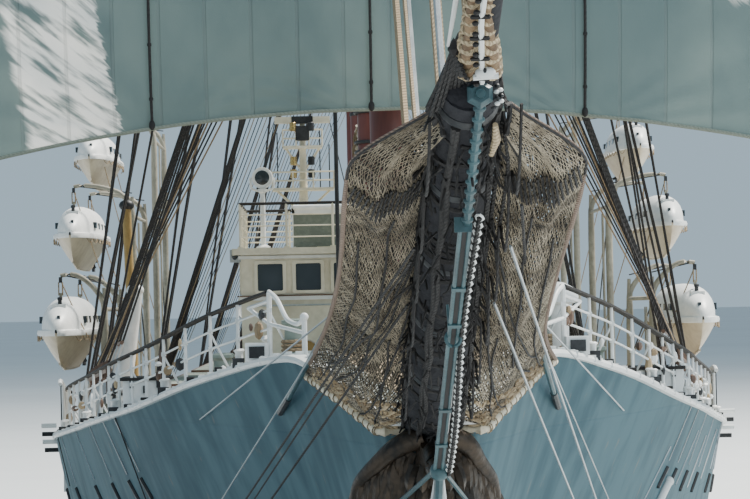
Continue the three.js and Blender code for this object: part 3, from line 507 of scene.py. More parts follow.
@dataclass(frozen=True)
class Finish:
    """One finish: two colours that a grain mixes, and how the surface takes light."""

    name: str
    light: tuple[float, float, float]
    dark: tuple[float, float, float]
    grain: Grain = Grain.EVEN
    rough: float = 0.6
    metal: float = 0.0
    scale: float = 9.0
    stretch: tuple[float, float, float] = (1.0, 1.0, 1.0)
    bump: float = 0.15
    glow: float = 0.0
    sun: tuple[tuple[float, float, float, float], ...] = ()

    def material(self) -> bpy.types.Material:
        """The node material of this finish, made once."""
        if self.name in MADE:
            return MADE[self.name]
        shader = Shader(self.name)
        shader.bsdf.inputs["Metallic"].default_value = self.metal
        shader.bsdf.inputs["Roughness"].default_value = self.rough
        painter = {
            Grain.STREAKED: self.streaked, Grain.PLANKS: self.planks, Grain.CLOTH: self.cloth,
            Grain.ROPE: self.rope, Grain.GLASS: self.glass,
        }.get(self.grain, self.clouded)
        painter(shader)
        MADE[self.name] = shader.material
        return shader.material

    def clouded(self, shader: Shader) -> None:
        """Clouds of the two colours, fine relief; also timber and metal through stretch and metal."""
        where = shader.stretched(shader.place, self.stretch)
        broad, fine = shader.noise(where, self.scale, 4.0), shader.noise(where, self.scale * 9, 3.0)
        share = shader.ramp(shader.plus(shader.times(broad, 0.7), shader.times(fine, 0.3)), 0.36, 0.64)
        shader.paint(shader.blend(share, self.light, self.dark))
        worn = shader.plus(shader.times(fine, 0.18), self.rough - 0.09)
        shader.feed(shader.bsdf.inputs["Roughness"], worn)
        shader.relief(fine, self.bump, 0.002)

    def streaked(self, shader: Shader) -> None:
        """Paint with vertical runs, plate edges and a few warm rust marks."""
        place = shader.place
        runs = shader.noise(shader.stretched(place, (5.0, 5.0, 0.5)), 5.0, 6.0)
        clouds = shader.noise(place, 2.2, 3.0)
        share = shader.ramp(shader.plus(shader.times(runs, 0.65), shader.times(clouds, 0.35)), 0.4, 0.66)
        colour = shader.blend(share, self.light, self.dark)
        drips = shader.noise(shader.stretched(place, (16.0, 16.0, 0.7)), 4.0, 2.0)
        colour = shader.blend(shader.times(shader.ramp(drips, 0.66, 0.74), 0.22), colour, (0.30, 0.22, 0.15))
        plate = shader.off_middle(shader.times(shader.axes(place)[2], 5.6))
        seam = shader.ramp(plate, 0.485, 0.5)
        shader.paint(shader.blend(shader.times(seam, 0.12), colour, self.dark))
        shader.feed(shader.bsdf.inputs["Specular IOR Level"], 0.15)
        dents = shader.noise(place, 6.5, 2.0)
        shader.relief(shader.minus(dents, shader.times(seam, 0.4)), self.bump, 0.004)

    def planks(self, shader: Shader) -> None:
        """Planks with dark seams and a colour of their own each."""
        place = shader.place
        row = shader.times(shader.axes(place)[0], 1 / (PLANK * SCALE))
        seam = shader.ramp(shader.off_middle(row), 0.44, 0.47)
        tint = shader.step_tint(shader.sums("FLOOR", row))
        grain = shader.noise(shader.stretched(place, (1.0, 0.08, 1.0)), 60.0, 3.0)
        share = shader.plus(shader.times(tint, 0.5), shader.times(grain, 0.5))
        colour = shader.blend(share, self.light, self.dark)
        shader.paint(shader.blend(seam, colour, (0.035, 0.03, 0.028)))
        shader.relief(shader.minus(1.0, seam), self.bump, 0.0015)

    def cloth(self, shader: Shader) -> None:
        """Sailcloth: panels with darker doubled seams, soft wrinkles, sunlit patches and light through it."""
        across, down = shader.axes(shader.pattern)[:2]
        panel = shader.sums("DIVIDE", across, PANEL)
        seam = shader.ramp(shader.off_middle(panel), 0.455, 0.478)
        tint = shader.step_tint(shader.sums("FLOOR", panel))
        folds = shader.noise(shader.stretched(shader.pattern, (1.0, 0.35, 1.0)), 0.55, 4.0)
        broad_patches = shader.noise(shader.place, 3.0, 5.0)
        # The colour follows broad lighter and darker patches, the folds and each panel's own tint; where it
        # follows the folds it is painted shade.
        share = shader.ramp(shader.plus(shader.times(broad_patches, 0.6), shader.plus(
            shader.times(folds, 0.3), shader.times(tint, 0.1))), 0.4, 0.62)
        colour = shader.blend(share, self.light, self.dark)
        creases = shader.noise(shader.stretched(shader.pattern, (3.4, 0.42, 1.0), 0.66), 1.9, 4.0)
        ragged = shader.times(shader.minus(creases, 0.5), 0.5)
        slanted = shader.plus(across, shader.times(shader.minus(9.0, down), 0.12), ragged)
        drop = shader.plus(down, shader.times(ragged, 3.0))
        for start, end, top, foot in self.sun:
            lit = shader.times(shader.inside(slanted, (start, 0.1), (end, 0.02)),
                               shader.inside(drop, (top, 0.5), (foot, 0.15)))
            lit = shader.times(lit, shader.ramp(creases, 0.34, 0.56))
            colour = shader.blend(lit, colour, (0.93, 0.92, 0.87))
        colour = shader.blend(shader.times(seam, 0.22), colour, (0.12, 0.14, 0.14))
        shader.paint(colour)
        weave = shader.noise(shader.place, 420.0, 2.0)
        height = shader.plus(shader.times(folds, 1.6), shader.plus(
            shader.times(seam, 0.5), shader.times(weave, 0.06)))
        shader.relief(height, self.bump, 0.006)
        see_through = shader.node("BsdfTranslucent", {0: colour})
        both = shader.node("MixShader", {0: self.glow, 1: shader.bsdf.outputs[0], 2: see_through.outputs[0]})
        shader.feed(shader.tree.nodes["Material Output"].inputs[0], both.outputs[0])

    def rope(self, shader: Shader) -> None:
        """Twisted strands: fract(3 u + v * turns) along the rope's own pattern coordinates."""
        u, v = shader.axes(shader.pattern)[:2]
        twist = shader.sums("FRACT", shader.plus(shader.times(u, 3.0), shader.times(v, self.scale)))
        strand = shader.sums("SINE", shader.times(twist, math.pi))
        share = shader.times(shader.plus(strand, shader.noise(shader.place, 70.0, 3.0)), 0.5)
        shader.paint(shader.blend(share, self.dark, self.light))
        shader.relief(strand, self.bump, 0.0015)

    def glass(self, shader: Shader) -> None:
        """Dark glass that mirrors a little, with a faint cast of sky."""
        shader.paint(shader.blend(shader.noise(shader.place, 14.0, 2.0), self.dark, self.light))


# White hull paint given the dark teal-blue of shade: painted shade over the whole hull.
HULL_WHITE_IN_SHADE = Finish("white hull paint in painted shade", (0.075, 0.145, 0.172), (0.038, 0.088, 0.112), Grain.STREAKED,
                    0.7, bump=0.25)
BAND_WHITE = Finish("band white", (0.80, 0.81, 0.79), (0.66, 0.68, 0.67), rough=0.4)
UNDERWATER = Finish("underwater paint", (0.10, 0.15, 0.16), (0.06, 0.09, 0.10), rough=0.6)
CREAM = Finish("cream paint", (0.72, 0.68, 0.55), (0.58, 0.54, 0.42), rough=0.45)
# Cream paint of the davits darkened to painted shade.
DAVIT_CREAM_IN_SHADE = Finish("shaded cream paint", (0.33, 0.31, 0.245), (0.2, 0.185, 0.14), rough=0.6)
OCHRE = Finish("ochre paint", (0.34, 0.23, 0.075), (0.22, 0.145, 0.045), rough=0.6)
FITTING_WHITE = Finish("fitting white", (0.74, 0.76, 0.75), (0.58, 0.61, 0.61), rough=0.4)
# Dark red-brown mast paint, darkened further by painted shade of the sails.
MAST_BROWN_AND_SHADE = Finish("mast brown with painted shade", (0.135, 0.034, 0.026), (0.08, 0.02, 0.017), rough=0.42,
                    stretch=(1.0, 1.0, 0.12), scale=14.0)
SPAR_BROWN = Finish("spar brown", (0.26, 0.11, 0.075), (0.15, 0.06, 0.045), rough=0.45,
                    stretch=(0.12, 1.0, 1.0), scale=14.0)
DARK_WOOD = Finish("oiled wood", (0.135, 0.075, 0.045), (0.065, 0.036, 0.024), rough=0.45,
                   stretch=(1.0, 0.1, 1.0), scale=20.0, bump=0.3)
DECK_WOOD = Finish("deck planks", (0.47, 0.37, 0.25), (0.30, 0.22, 0.14), Grain.PLANKS, 0.75, bump=0.5)
DECK_PAINT = Finish("deck margin paint", (0.33, 0.37, 0.36), (0.24, 0.28, 0.27), rough=0.6)
# White sailcloth given the grey-green of shade: painted shade; the course's sun patches are painted light.
SAILCLOTH_IN_SHADE = Finish("sailcloth", (0.26, 0.325, 0.31), (0.175, 0.23, 0.225), Grain.CLOTH, 0.85,
                   bump=0.7, glow=0.3)
COURSE_CLOTH_IN_SHADE = Finish("course sailcloth in painted shade", (0.165, 0.225, 0.215), (0.105, 0.155, 0.158), Grain.CLOTH, 0.85,
                      bump=0.7, glow=0.3, sun=((33.7, 35.25, 3.6, 12.0), (46.2, 48.2, 3.4, 6.3)))
SAIL_FOLDED = Finish("folded sailcloth", (0.56, 0.53, 0.45), (0.38, 0.35, 0.28), rough=0.9,
                     scale=22.0, bump=0.6)
DODGER = Finish("grey green canvas", (0.20, 0.235, 0.205), (0.13, 0.155, 0.135), rough=0.85,
                scale=16.0, bump=0.4)
TAN_ROPE = Finish("tan rope", (0.42, 0.32, 0.20), (0.22, 0.155, 0.09), Grain.ROPE, 0.9, scale=14.0, bump=0.8)
# Tarred rope; the same finish also paints the shade behind the nets.
TARRED_ROPE_AND_NET_SHADE = Finish("tarred rope", (0.030, 0.027, 0.026), (0.012, 0.011, 0.011), Grain.ROPE, 0.8, scale=10.0,
                   bump=0.6)
NET_ROPE = Finish("net rope", (0.42, 0.36, 0.265), (0.16, 0.13, 0.092), rough=0.9, scale=24.0)
BRONZE = Finish("dark bronze", (0.05, 0.034, 0.021), (0.007, 0.006, 0.005), rough=0.4, metal=0.5, scale=16.0,
                bump=0.5)
IRON = Finish("black iron", (0.045, 0.047, 0.05), (0.022, 0.023, 0.025), rough=0.5, metal=0.5, scale=20.0)
STEEL = Finish("galvanised steel", (0.50, 0.53, 0.54), (0.36, 0.39, 0.41), rough=0.38, metal=0.6, scale=20.0)
BRASS = Finish("brass", (0.62, 0.45, 0.19), (0.42, 0.29, 0.12), rough=0.28, metal=0.95, scale=20.0)
# Near black: painted deep shade over the whole bowsprit.
SPAR_IN_DEEP_SHADE = Finish("spar in painted deep shade", (0.010, 0.010, 0.015), (0.004, 0.004, 0.007), rough=0.9,
                     stretch=(1.0, 0.3, 1.0), scale=26.0, bump=0.7)
# Pale steel fittings given the teal of shade: painted shade.
STEEL_IN_TEAL_SHADE = Finish("steel in painted teal shade", (0.035, 0.095, 0.11), (0.018, 0.052, 0.062), rough=0.45, scale=24.0)
CAP_WOOD = Finish("rail cap wood", (0.020, 0.018, 0.016), (0.009, 0.008, 0.008), rough=0.8,
                  stretch=(1.0, 0.1, 1.0), scale=20.0, bump=0.3)
LASHED_CANVAS = Finish("lashed canvas", (0.27, 0.18, 0.10), (0.12, 0.075, 0.045), rough=0.95,
                       scale=40.0, bump=0.8)
LASHING = Finish("old lashing", (0.62, 0.50, 0.33), (0.36, 0.26, 0.15), Grain.ROPE, 0.9, scale=22.0, bump=0.8)
BOLT_ROPE = Finish("bolt rope", (0.30, 0.33, 0.27), (0.19, 0.21, 0.17), Grain.ROPE, 0.9, scale=14.0, bump=0.6)
EDGE_ROPE = Finish("net edge rope", (0.30, 0.22, 0.17), (0.15, 0.105, 0.08), Grain.ROPE, 0.9,
                   scale=16.0, bump=0.8)
CHAFE_CREAM = Finish("chafing roll", (0.78, 0.72, 0.58), (0.62, 0.55, 0.41), rough=0.9, scale=30.0, bump=0.6)
BOAT_TAN = Finish("boat tan", (0.60, 0.52, 0.38), (0.46, 0.38, 0.27), rough=0.4)
DECK_GREEN = Finish("deck gear paint", (0.20, 0.25, 0.22), (0.12, 0.16, 0.14), rough=0.5)
PROPELLER_BRONZE = Finish("propeller bronze", (0.55, 0.37, 0.16), (0.36, 0.25, 0.12), rough=0.3,
                          metal=0.9, scale=9.0)
GLASS = Finish("window glass", (0.05, 0.065, 0.075), (0.012, 0.016, 0.02), Grain.GLASS, 0.06)


# Hull lines. Each row of SECTIONS is one section: where it is, sheer height, half-breadth at the sheer
# and at the water, keel height, share of the stem's curve, and how boxy the section is under water.
# A row of STEM is a drop below the sheer and how far the stem stands aft there.

SECTIONS = np.array([
    (0, 7.45, 0.55, 0.16, -5.2, 1, 1.2), (1.5, 7.86, 1.1, 0.4, -5.6, 0.93, 1.2),
    (3, 8.12, 1.6, 0.7, -5.9, 0.86, 1.3), (6, 7.84, 2.75, 1.3, -6.3, 0.7, 1.4),
    (10, 7.3, 4.1, 2.4, -6.6, 0.45, 1.6), (15, 6.85, 5.3, 3.8, -6.6, 0.2, 2.0),
    (24, 6.2, 6.7, 5.7, -6.6, 0, 2.6), (34, 5.7, 6.75, 6.4, -6.6, 0, 3.2),
    (50, 5.3, 6.7, 6.5, -6.6, 0, 3.2), (66, 5.55, 6.35, 5.7, -6.6, 0, 2.4),
    (76, 6.0, 5.7, 3.9, -6.6, 0, 1.5), (82, 6.35, 5.1, 2.0, -6.6, 0, 1.1),
    (82.7, 6.4, 5.0, 1.7, -0.7, 0, 1.1), (88, 6.75, 4.1, 0, 1.6, 0, 1.1),
    (92, 7.0, 2.9, 0, 3.4, 0, 1.1), (94, 7.15, 1.8, 0, 4.9, 0, 1.1),
])
STEM = np.array([(0, 0), (1.5, 1.0), (4.5, 3.2), (7.45, 5.3), (9.5, 6.4), (11.5, 7.6), (14, 10.0)])
WAIST_FROM, WAIST_TO, WAIST_DROP, BULWARK = 24.0, 66.0, 1.1, 0.13
KEEL_HALF = 0.15
STERN = 94.0


class Lines:
    """The hull's form, read from the table of sections."""

    s, sheer_rows, deck_rows, water_rows, keel_rows, rake_rows, full_rows = SECTIONS.T

    def sheer(self, s: np.ndarray | float) -> np.ndarray:
        """Height of the deck edge."""
        return hermite(self.s, self.sheer_rows, np.atleast_1d(s))

    def half(self, s: np.ndarray | float) -> np.ndarray:
        """Half-breadth at the deck edge."""
        return hermite(self.s, self.deck_rows, np.atleast_1d(s))

    def deck(self, s: np.ndarray | float) -> np.ndarray:
        """Height of the deck, lower in the waist."""
        s = np.atleast_1d(s)
        return self.sheer(s) - np.where((s > WAIST_FROM) & (s < WAIST_TO), WAIST_DROP, 0.0)

    def rim(self, s: float) -> float:
        """Height of the deck edge at one station."""
        return float(self.sheer(s)[0])

    def floor(self, s: float) -> float:
        """Height of the deck at one station."""
        return float(self.deck(s)[0])

    def breadth(self, s: float) -> float:
        """Half-breadth at the deck edge at one station."""
        return float(self.half(s)[0])

    def width_at(self, row: int, z: np.ndarray) -> np.ndarray:
        """Half-breadth of one table row at heights z: superellipse under water, flare above it."""
        sheer, deck, water = self.sheer_rows[row], self.deck_rows[row], self.water_rows[row]
        keel, full = self.keel_rows[row], self.full_rows[row]
        if keel > 0:
            return KEEL_HALF + (deck - KEEL_HALF) * np.sqrt(np.clip((z - keel) / (sheer - keel), 0, 1))
        depth = np.clip(z / keel, 0, 1)
        under = KEEL_HALF + (water - KEEL_HALF) * (1 - depth ** full) ** (1 / full)
        flare = 1.5 if self.rake_rows[row] > 0 else 1.0
        over = water + (deck - water) * np.clip(z / sheer, 0, 1) ** flare
        return np.where(z < 0, under, over)

    def ring(self, row: int, low: np.ndarray, high: np.ndarray) -> np.ndarray:
        """Port points of one table row: low shares from keel to water, high shares from water to sheer."""
        keel, sheer = self.keel_rows[row], self.sheer_rows[row]
        split = keel + 0.4 if keel > 0 else 0.0
        z = np.concatenate([keel + (split - keel) * low, split + (sheer - split) * high])
        back = self.rake_rows[row] * np.interp(sheer - z, *STEM.T)
        return merged(self.width_at(row, z), self.s[row] + back, z)

    def skin(self, stations: np.ndarray, low: np.ndarray, high: np.ndarray) -> np.ndarray:
        """Port side as rows of stations: smooth curves through the table's sections, level by level."""
        rings = np.stack([self.ring(row, low, high) for row in range(len(self.s))])
        return hermite(self.s, rings, stations)

    def side(self, s: float, z: float, side: float = 1.0, out: float = 0.0) -> np.ndarray:
        """Point on the side above water at a station and height, moved out from the skin."""
        share = np.array([z / self.rim(s)])
        near = self.skin(np.array([s - 0.5, s, s + 0.5]), np.zeros(0), share)[:, 0]
        along = near[2] - near[0]
        return (near[1] + out * unit(np.array([along[1], -along[0], 0.0]))) * mirrored(side)

    def edge(self, stations: np.ndarray, inset: float = 0.0, lift: float = 0.0) -> np.ndarray:
        """Port deck edge: inset measured square to the edge in plan, lift above the sheer."""
        s = np.asarray(stations, dtype=float)
        path = merged(self.half(s), s, self.sheer(s) + lift)
        along = unit(np.gradient(path[:, :2], axis=0))
        path[:, 0] -= inset * along[:, 1]
        path[:, 1] += inset * along[:, 0]
        return path

    def spot(self, s: float, inset: float, reach: float = 0.2) -> np.ndarray:
        """Point at the port deck edge; its direction is read over a reach on both sides."""
        return self.edge(np.array([s - reach, s, s + reach]), inset)[1]


LINES = Lines()
MIRROR = mirrored(-1.0)


def both_sides(form: Form, points: np.ndarray, slot: int, flip: bool = False,
               uv: np.ndarray | None = None) -> None:
    """Add a port surface and its mirror image to starboard."""
    form.grid(points, slot, flip=flip, uv=uv)
    form.grid(points * MIRROR, slot, flip=not flip, uv=uv)


def swept(path: np.ndarray, profile: np.ndarray) -> np.ndarray:
    """Carry a profile of (out, up) rows along a level path: p + out * normal in plan + up * z.

    Args:
        path: Points (n, 3) that run aft.
        profile: Rows (m, 2).

    Returns:
        Surface (n, m, 3).
    """
    along = unit(np.gradient(path[:, :2], axis=0))
    normal = merged(along[:, 1], -along[:, 0], 0)
    up = np.array([0.0, 0.0, 1.0])
    profile = np.asarray(profile, dtype=float)
    return path[:, None] + profile[None, :, :1] * normal[:, None] + profile[None, :, 1:2] * up


def bow_round(path: np.ndarray) -> np.ndarray:
    """Put the quarter round of the stem before a port edge path, from the centre line to its start."""
    angle = spread(0, math.pi / 2, 7)[:-1]
    reach = path[0, 0]
    arc = merged(reach * np.sin(angle), path[0, 1] - 0.5 * reach * np.cos(angle), path[0, 2])
    arc[0, 0] = 0.004
    return np.vstack([arc, path])


STATIONS = np.unique(np.concatenate([spread(0, 6, 25), spread(6, 24, 31), spread(24, 82, 49),
                                     spread(82, 82.7, 4), spread(82.7, 94, 27)]))


@dataclass
class Hull:
    """Shell, decks, bulwarks, the white band at the deck edge, ports and the stern."""

    band: float = 0.06
    camber: float = 0.05

    def shell(self) -> bpy.types.Object:
        """Outer skin from keel to sheer, with a rounded stem and a flat transom."""
        form = Form("hull_shell")
        low, high = spread(0, 1, 13)[:-1] ** 0.8, spread(0, 1, 19)
        port = LINES.skin(STATIONS, low, high)
        nose = []
        for angle in spread(0, math.pi / 2, 6)[:-1]:
            row = port[0].copy()
            row[:, 1] -= 0.5 * row[:, 0] * math.cos(angle)
            row[:, 0] *= math.sin(angle)
            nose.append(row)
        skin = np.concatenate([np.stack(nose), port])
        under = len(low)
        both_sides(form, skin[:, :under + 2], 1, flip=True)
        both_sides(form, skin[:, under + 1:], 0, flip=True)
        last = port[-1]
        form.grid(np.stack([last, last * MIRROR]), 0, flip=True)
        foot = port[:, 0]
        form.grid(np.stack([foot, foot * MIRROR]), 1)
        return form.make([HULL_WHITE_IN_SHADE, UNDERWATER], "ship", "hull_paint", ("hull",), 35)

    def edge_band(self) -> bpy.types.Object:
        """White strake under the deck edge: a rounded bar swept along the edge."""
        form = Form("sheer_band")
        path = bow_round(LINES.edge(STATIONS))
        profile = [(-0.03, -self.band), (0.05, -self.band), (0.075, -self.band + 0.03), (0.08, -0.02),
                   (0.06, 0.02), (0.0, 0.035), (-0.14, 0.035), (-0.14, -0.02)]
        both_sides(form, swept(path, profile), 0)
        return form.make([BAND_WHITE], "ship", "hull_paint")

    def decks(self) -> bpy.types.Object:
        """Planked decks with a painted margin, low in the waist, and the bulkheads that close it."""
        form = Form("decks")
        across = spread(-1, 1, 17)
        runs = ((0.0, WAIST_FROM, 0.0), (WAIST_FROM, WAIST_TO, WAIST_DROP), (WAIST_TO, STERN, 0.0))
        for start, end, drop in runs:
            s = spread(start, end, max(8, int((end - start) * 1.2)))
            inner = LINES.half(s) - (BULWARK if drop else 0.1) - 0.42
            height = LINES.sheer(s) - drop
            if start == 0:
                inner = np.maximum(inner, 0.05)
            u = across[None]
            rows = merged(inner[:, None] * u, s[:, None], height[:, None] + self.camber * (1 - u * u))
            form.grid(rows, 0, flip=True)
            margin = np.stack([merged(inner, s, height), merged(LINES.half(s) - 0.02, s, height)], axis=1)
            both_sides(form, margin, 1, flip=True)
        for s in (WAIST_FROM, WAIST_TO):
            half, top = LINES.breadth(s) - 0.05, LINES.rim(s)
            form.blocks((0, s, top - WAIST_DROP / 2), (2 * half, 0.12, WAIST_DROP + 0.02), 2)
            form.blocks((0, s, top + 0.03), (2 * half, 0.3, 0.08), 3)
        return form.make([DECK_WOOD, DECK_PAINT, FITTING_WHITE, DARK_WOOD], "ship", "oiled_wood")

    def bulwarks(self) -> bpy.types.Object:
        """Inner face of the waist bulwark with its stays and a wooden cap."""
        form = Form("waist_bulwarks")
        s = spread(WAIST_FROM, WAIST_TO, 43)
        path = LINES.edge(s)
        inner = [(-BULWARK, -WAIST_DROP), (-BULWARK, 0.02)]
        both_sides(form, swept(path, inner), 0)
        cap = [(-0.29, 0.02), (-0.29, 0.1), (-0.26, 0.12), (0.06, 0.12), (0.09, 0.1), (0.09, 0.02),
               (-0.29, 0.02)]
        both_sides(form, swept(path, cap)[:, ::-1], 1)
        for side in (1, -1):
            for k in range(1, 42):
                x, at, z = path[k]
                foot, head = (side * (x - 0.55), at, z - WAIST_DROP), (side * (x - 0.16), at, z - 0.05)
                form.rods(foot, head, 0.035, 4, 0)
        return form.make([FITTING_WHITE, DARK_WOOD], "ship", "cream_paint")

    def ports(self) -> bpy.types.Object:
        """Two rows of round ports with brass rims and dark glass, and the mooring ports."""
        form = Form("hull_ports")
        high, low = np.arange(13.0, 78.0, 2.3), np.arange(22.0, 72.0, 3.1)
        for z, s in [(4.35, s) for s in high] + [(2.35, s) for s in low]:
            for _, side in SIDES:
                centre = LINES.side(s, z, side)
                along = unit(LINES.side(s + 0.4, z, side) - LINES.side(s - 0.4, z, side))
                rise = unit(LINES.side(s, z + 0.3, side) - LINES.side(s, z - 0.3, side))
                out = np.cross(along, rise) * side
                out *= np.sign(out[0] * side)
                angle = turns(12)
                disc = np.cos(angle)[:, None] * along + np.sin(angle)[:, None] * rise
                rim = np.stack([centre + disc * 0.27 - out * 0.02, centre + disc * 0.27 + out * 0.05,
                                centre + disc * 0.2 + out * 0.06, centre + disc * 0.18 - out * 0.01])
                form.grid(rim, 0, close_v=True, flip=side > 0)
                form.fan(rim[-1] + out * 0.015, 1, flip=side > 0)
        for s, z in ((6.5, 4.6), (17.5, 4.8), (70.0, 4.75), (79.0, 5.2)):
            for _, side in SIDES:
                centre = LINES.side(s, z, side, 0.02)
                form.ball(centre, (0.12, 0.42, 0.26), 2, 8, 14)
                form.ball(centre + np.array([side * 0.045, -0.01, 0.0]), (0.1, 0.3, 0.16), 1, 8, 14)
        return form.make([BRASS, GLASS, BAND_WHITE], "ship", "bronze")

    def gear(self) -> bpy.types.Object:
        """Slanted slots under the edge, lugs and clamps on it, ropes, short bars and a pipe at the side."""
        form = Form("side_gear")
        for _, side in SIDES:
            flip = mirrored(side)
            for s in (11.3, 12.4, 14.2, 16.5, 19.3, 21.8):
                low = LINES.side(s - 0.16, LINES.rim(s) - 1.36, side, 0.012)
                high = LINES.side(s + 0.14, LINES.rim(s) - 1.06, side, 0.012)
                form.rods(low, high, 0.04, 6, 0)
                form.rods(LINES.side(s + 0.1, LINES.rim(s) - 0.95, side, 0.01),
                          LINES.side(s + 0.5, LINES.rim(s) - 0.1, side, 0.01), 0.012, 4, 4)
            lugs = LINES.edge(spread(4.0, 23.4, 26), -0.03) * flip
            form.blocks(lugs, (0.07, 0.14, 0.09), 1)
            for k, at in enumerate(np.arange(4.6, 23.0, 1.24)):
                spot = LINES.spot(at, 0.05) * flip
                form.blocks(spot + (0, 0, 0.06), (0.1, 0.14 + 0.07 * (k % 3), 0.08), 0 if k % 2 else 2)
            for at, drop in (((11.6, 1.5), (20.5, 1.0)) if side < 0 else ((19.6, 1.0),)):
                z = LINES.rim(at)
                ends = [LINES.side(at, z - depth, side, 0.03) for depth in (-0.02, drop * 0.4, drop)]
                form.tube(curve(ends, 8), 0.01, 6, 2 if side < 0 else 4)
            for k, lift in enumerate((0.22, 0.06, -0.1, -0.26)):
                at = 22.6 + 0.3 * (k % 2)
                form.rods(LINES.side(at, LINES.rim(at) + lift, side, 0.0),
                          LINES.side(at, LINES.rim(at) + lift, side, 0.3), 0.045, 8, 0 if k % 2 else 1)
            if side > 0:
                bar = [LINES.side(11.9, 5.85, side, 0.05), LINES.side(10.9, 5.0, side, 0.05)]
                form.rods(bar[0], bar[1], 0.065, 10, 1)
                form.ball(bar[0], (0.08, 0.08, 0.08), 1, 8, 10)
                for s, low in ((10.2, 5.6), (13.2, 5.7), (15.4, 5.5), (17.6, 5.5)):
                    form.rods(LINES.side(s, low, side, 0.012),
                              LINES.side(s + 0.9, low + 0.85, side, 0.012), 0.012, 4, 4)
            mouth = LINES.spot(4.4, 0.06) * flip + (0, 0, 0.14)
            form.blocks(mouth, (0.3, 0.2, 0.24), 1)
            form.blocks(mouth - (0, 0.08, 0), (0.2, 0.1, 0.15), 0)
        return form.make([IRON, BAND_WHITE, TARRED_ROPE_AND_NET_SHADE, TAN_ROPE, STEEL], "ship", "dark_metal")

    def build(self) -> None:
        """Make every hull piece."""
        self.gear()
        self.shell()
        self.edge_band()
        self.decks()
        self.bulwarks()
        self.ports()


# Rails, bowsprit and everything about the bow.

STEEVE = 0.283
STEM_TOP = 7.45
CAP_S, TIP_S = -10.2, -19.0


def sprit(s: np.ndarray | float, lift: float = 0.0) -> np.ndarray:
    """Point on the bowsprit's centre line, which rises forward from the stem head."""
    s = np.asarray(s, dtype=float)
    return merged(0, s, STEM_TOP - STEEVE * s + lift)


def sprit_radius(s: np.ndarray | float) -> np.ndarray:
    """Radius of the bowsprit: thick to its cap, slender beyond."""
    return np.interp(s, (TIP_S, CAP_S - 0.02, CAP_S, -7.0, -1.0, 3.2), (0.07, 0.1, 0.22, 0.27, 0.33, 0.35))


def chain(form: Form, path: np.ndarray, link: float, slots: tuple[int, int]) -> None:
    """Oval links along a path, each turned a quarter round from the one before."""
    run = run_of(path)
    count = int(run[-1] / (link * 0.72))
    angle = turns(8)
    for k in range(count):
        at = (k + 0.5) / count * run[-1]
        centre = read_path(at, run, path)
        ahead = unit(read_path(at + 0.02, run, path) - centre)
        side = unit(np.cross(ahead, (0.31, 0.2, 0.93)))
        if k % 2:
            side = np.cross(ahead, side)
        normal = np.cross(ahead, side)
        middle = (centre + np.cos(angle)[:, None] * ahead * link / 2
                  + np.sin(angle)[:, None] * side * link * 0.3)
        outward = np.cos(angle)[:, None] * ahead + np.sin(angle)[:, None] * side
        ring = [middle + link * 0.13 * (math.cos(a) * outward + math.sin(a) * normal)
                for a in turns(4)]
        form.grid(np.stack(ring), slots[k % 2], close_u=True, close_v=True, flip=True)


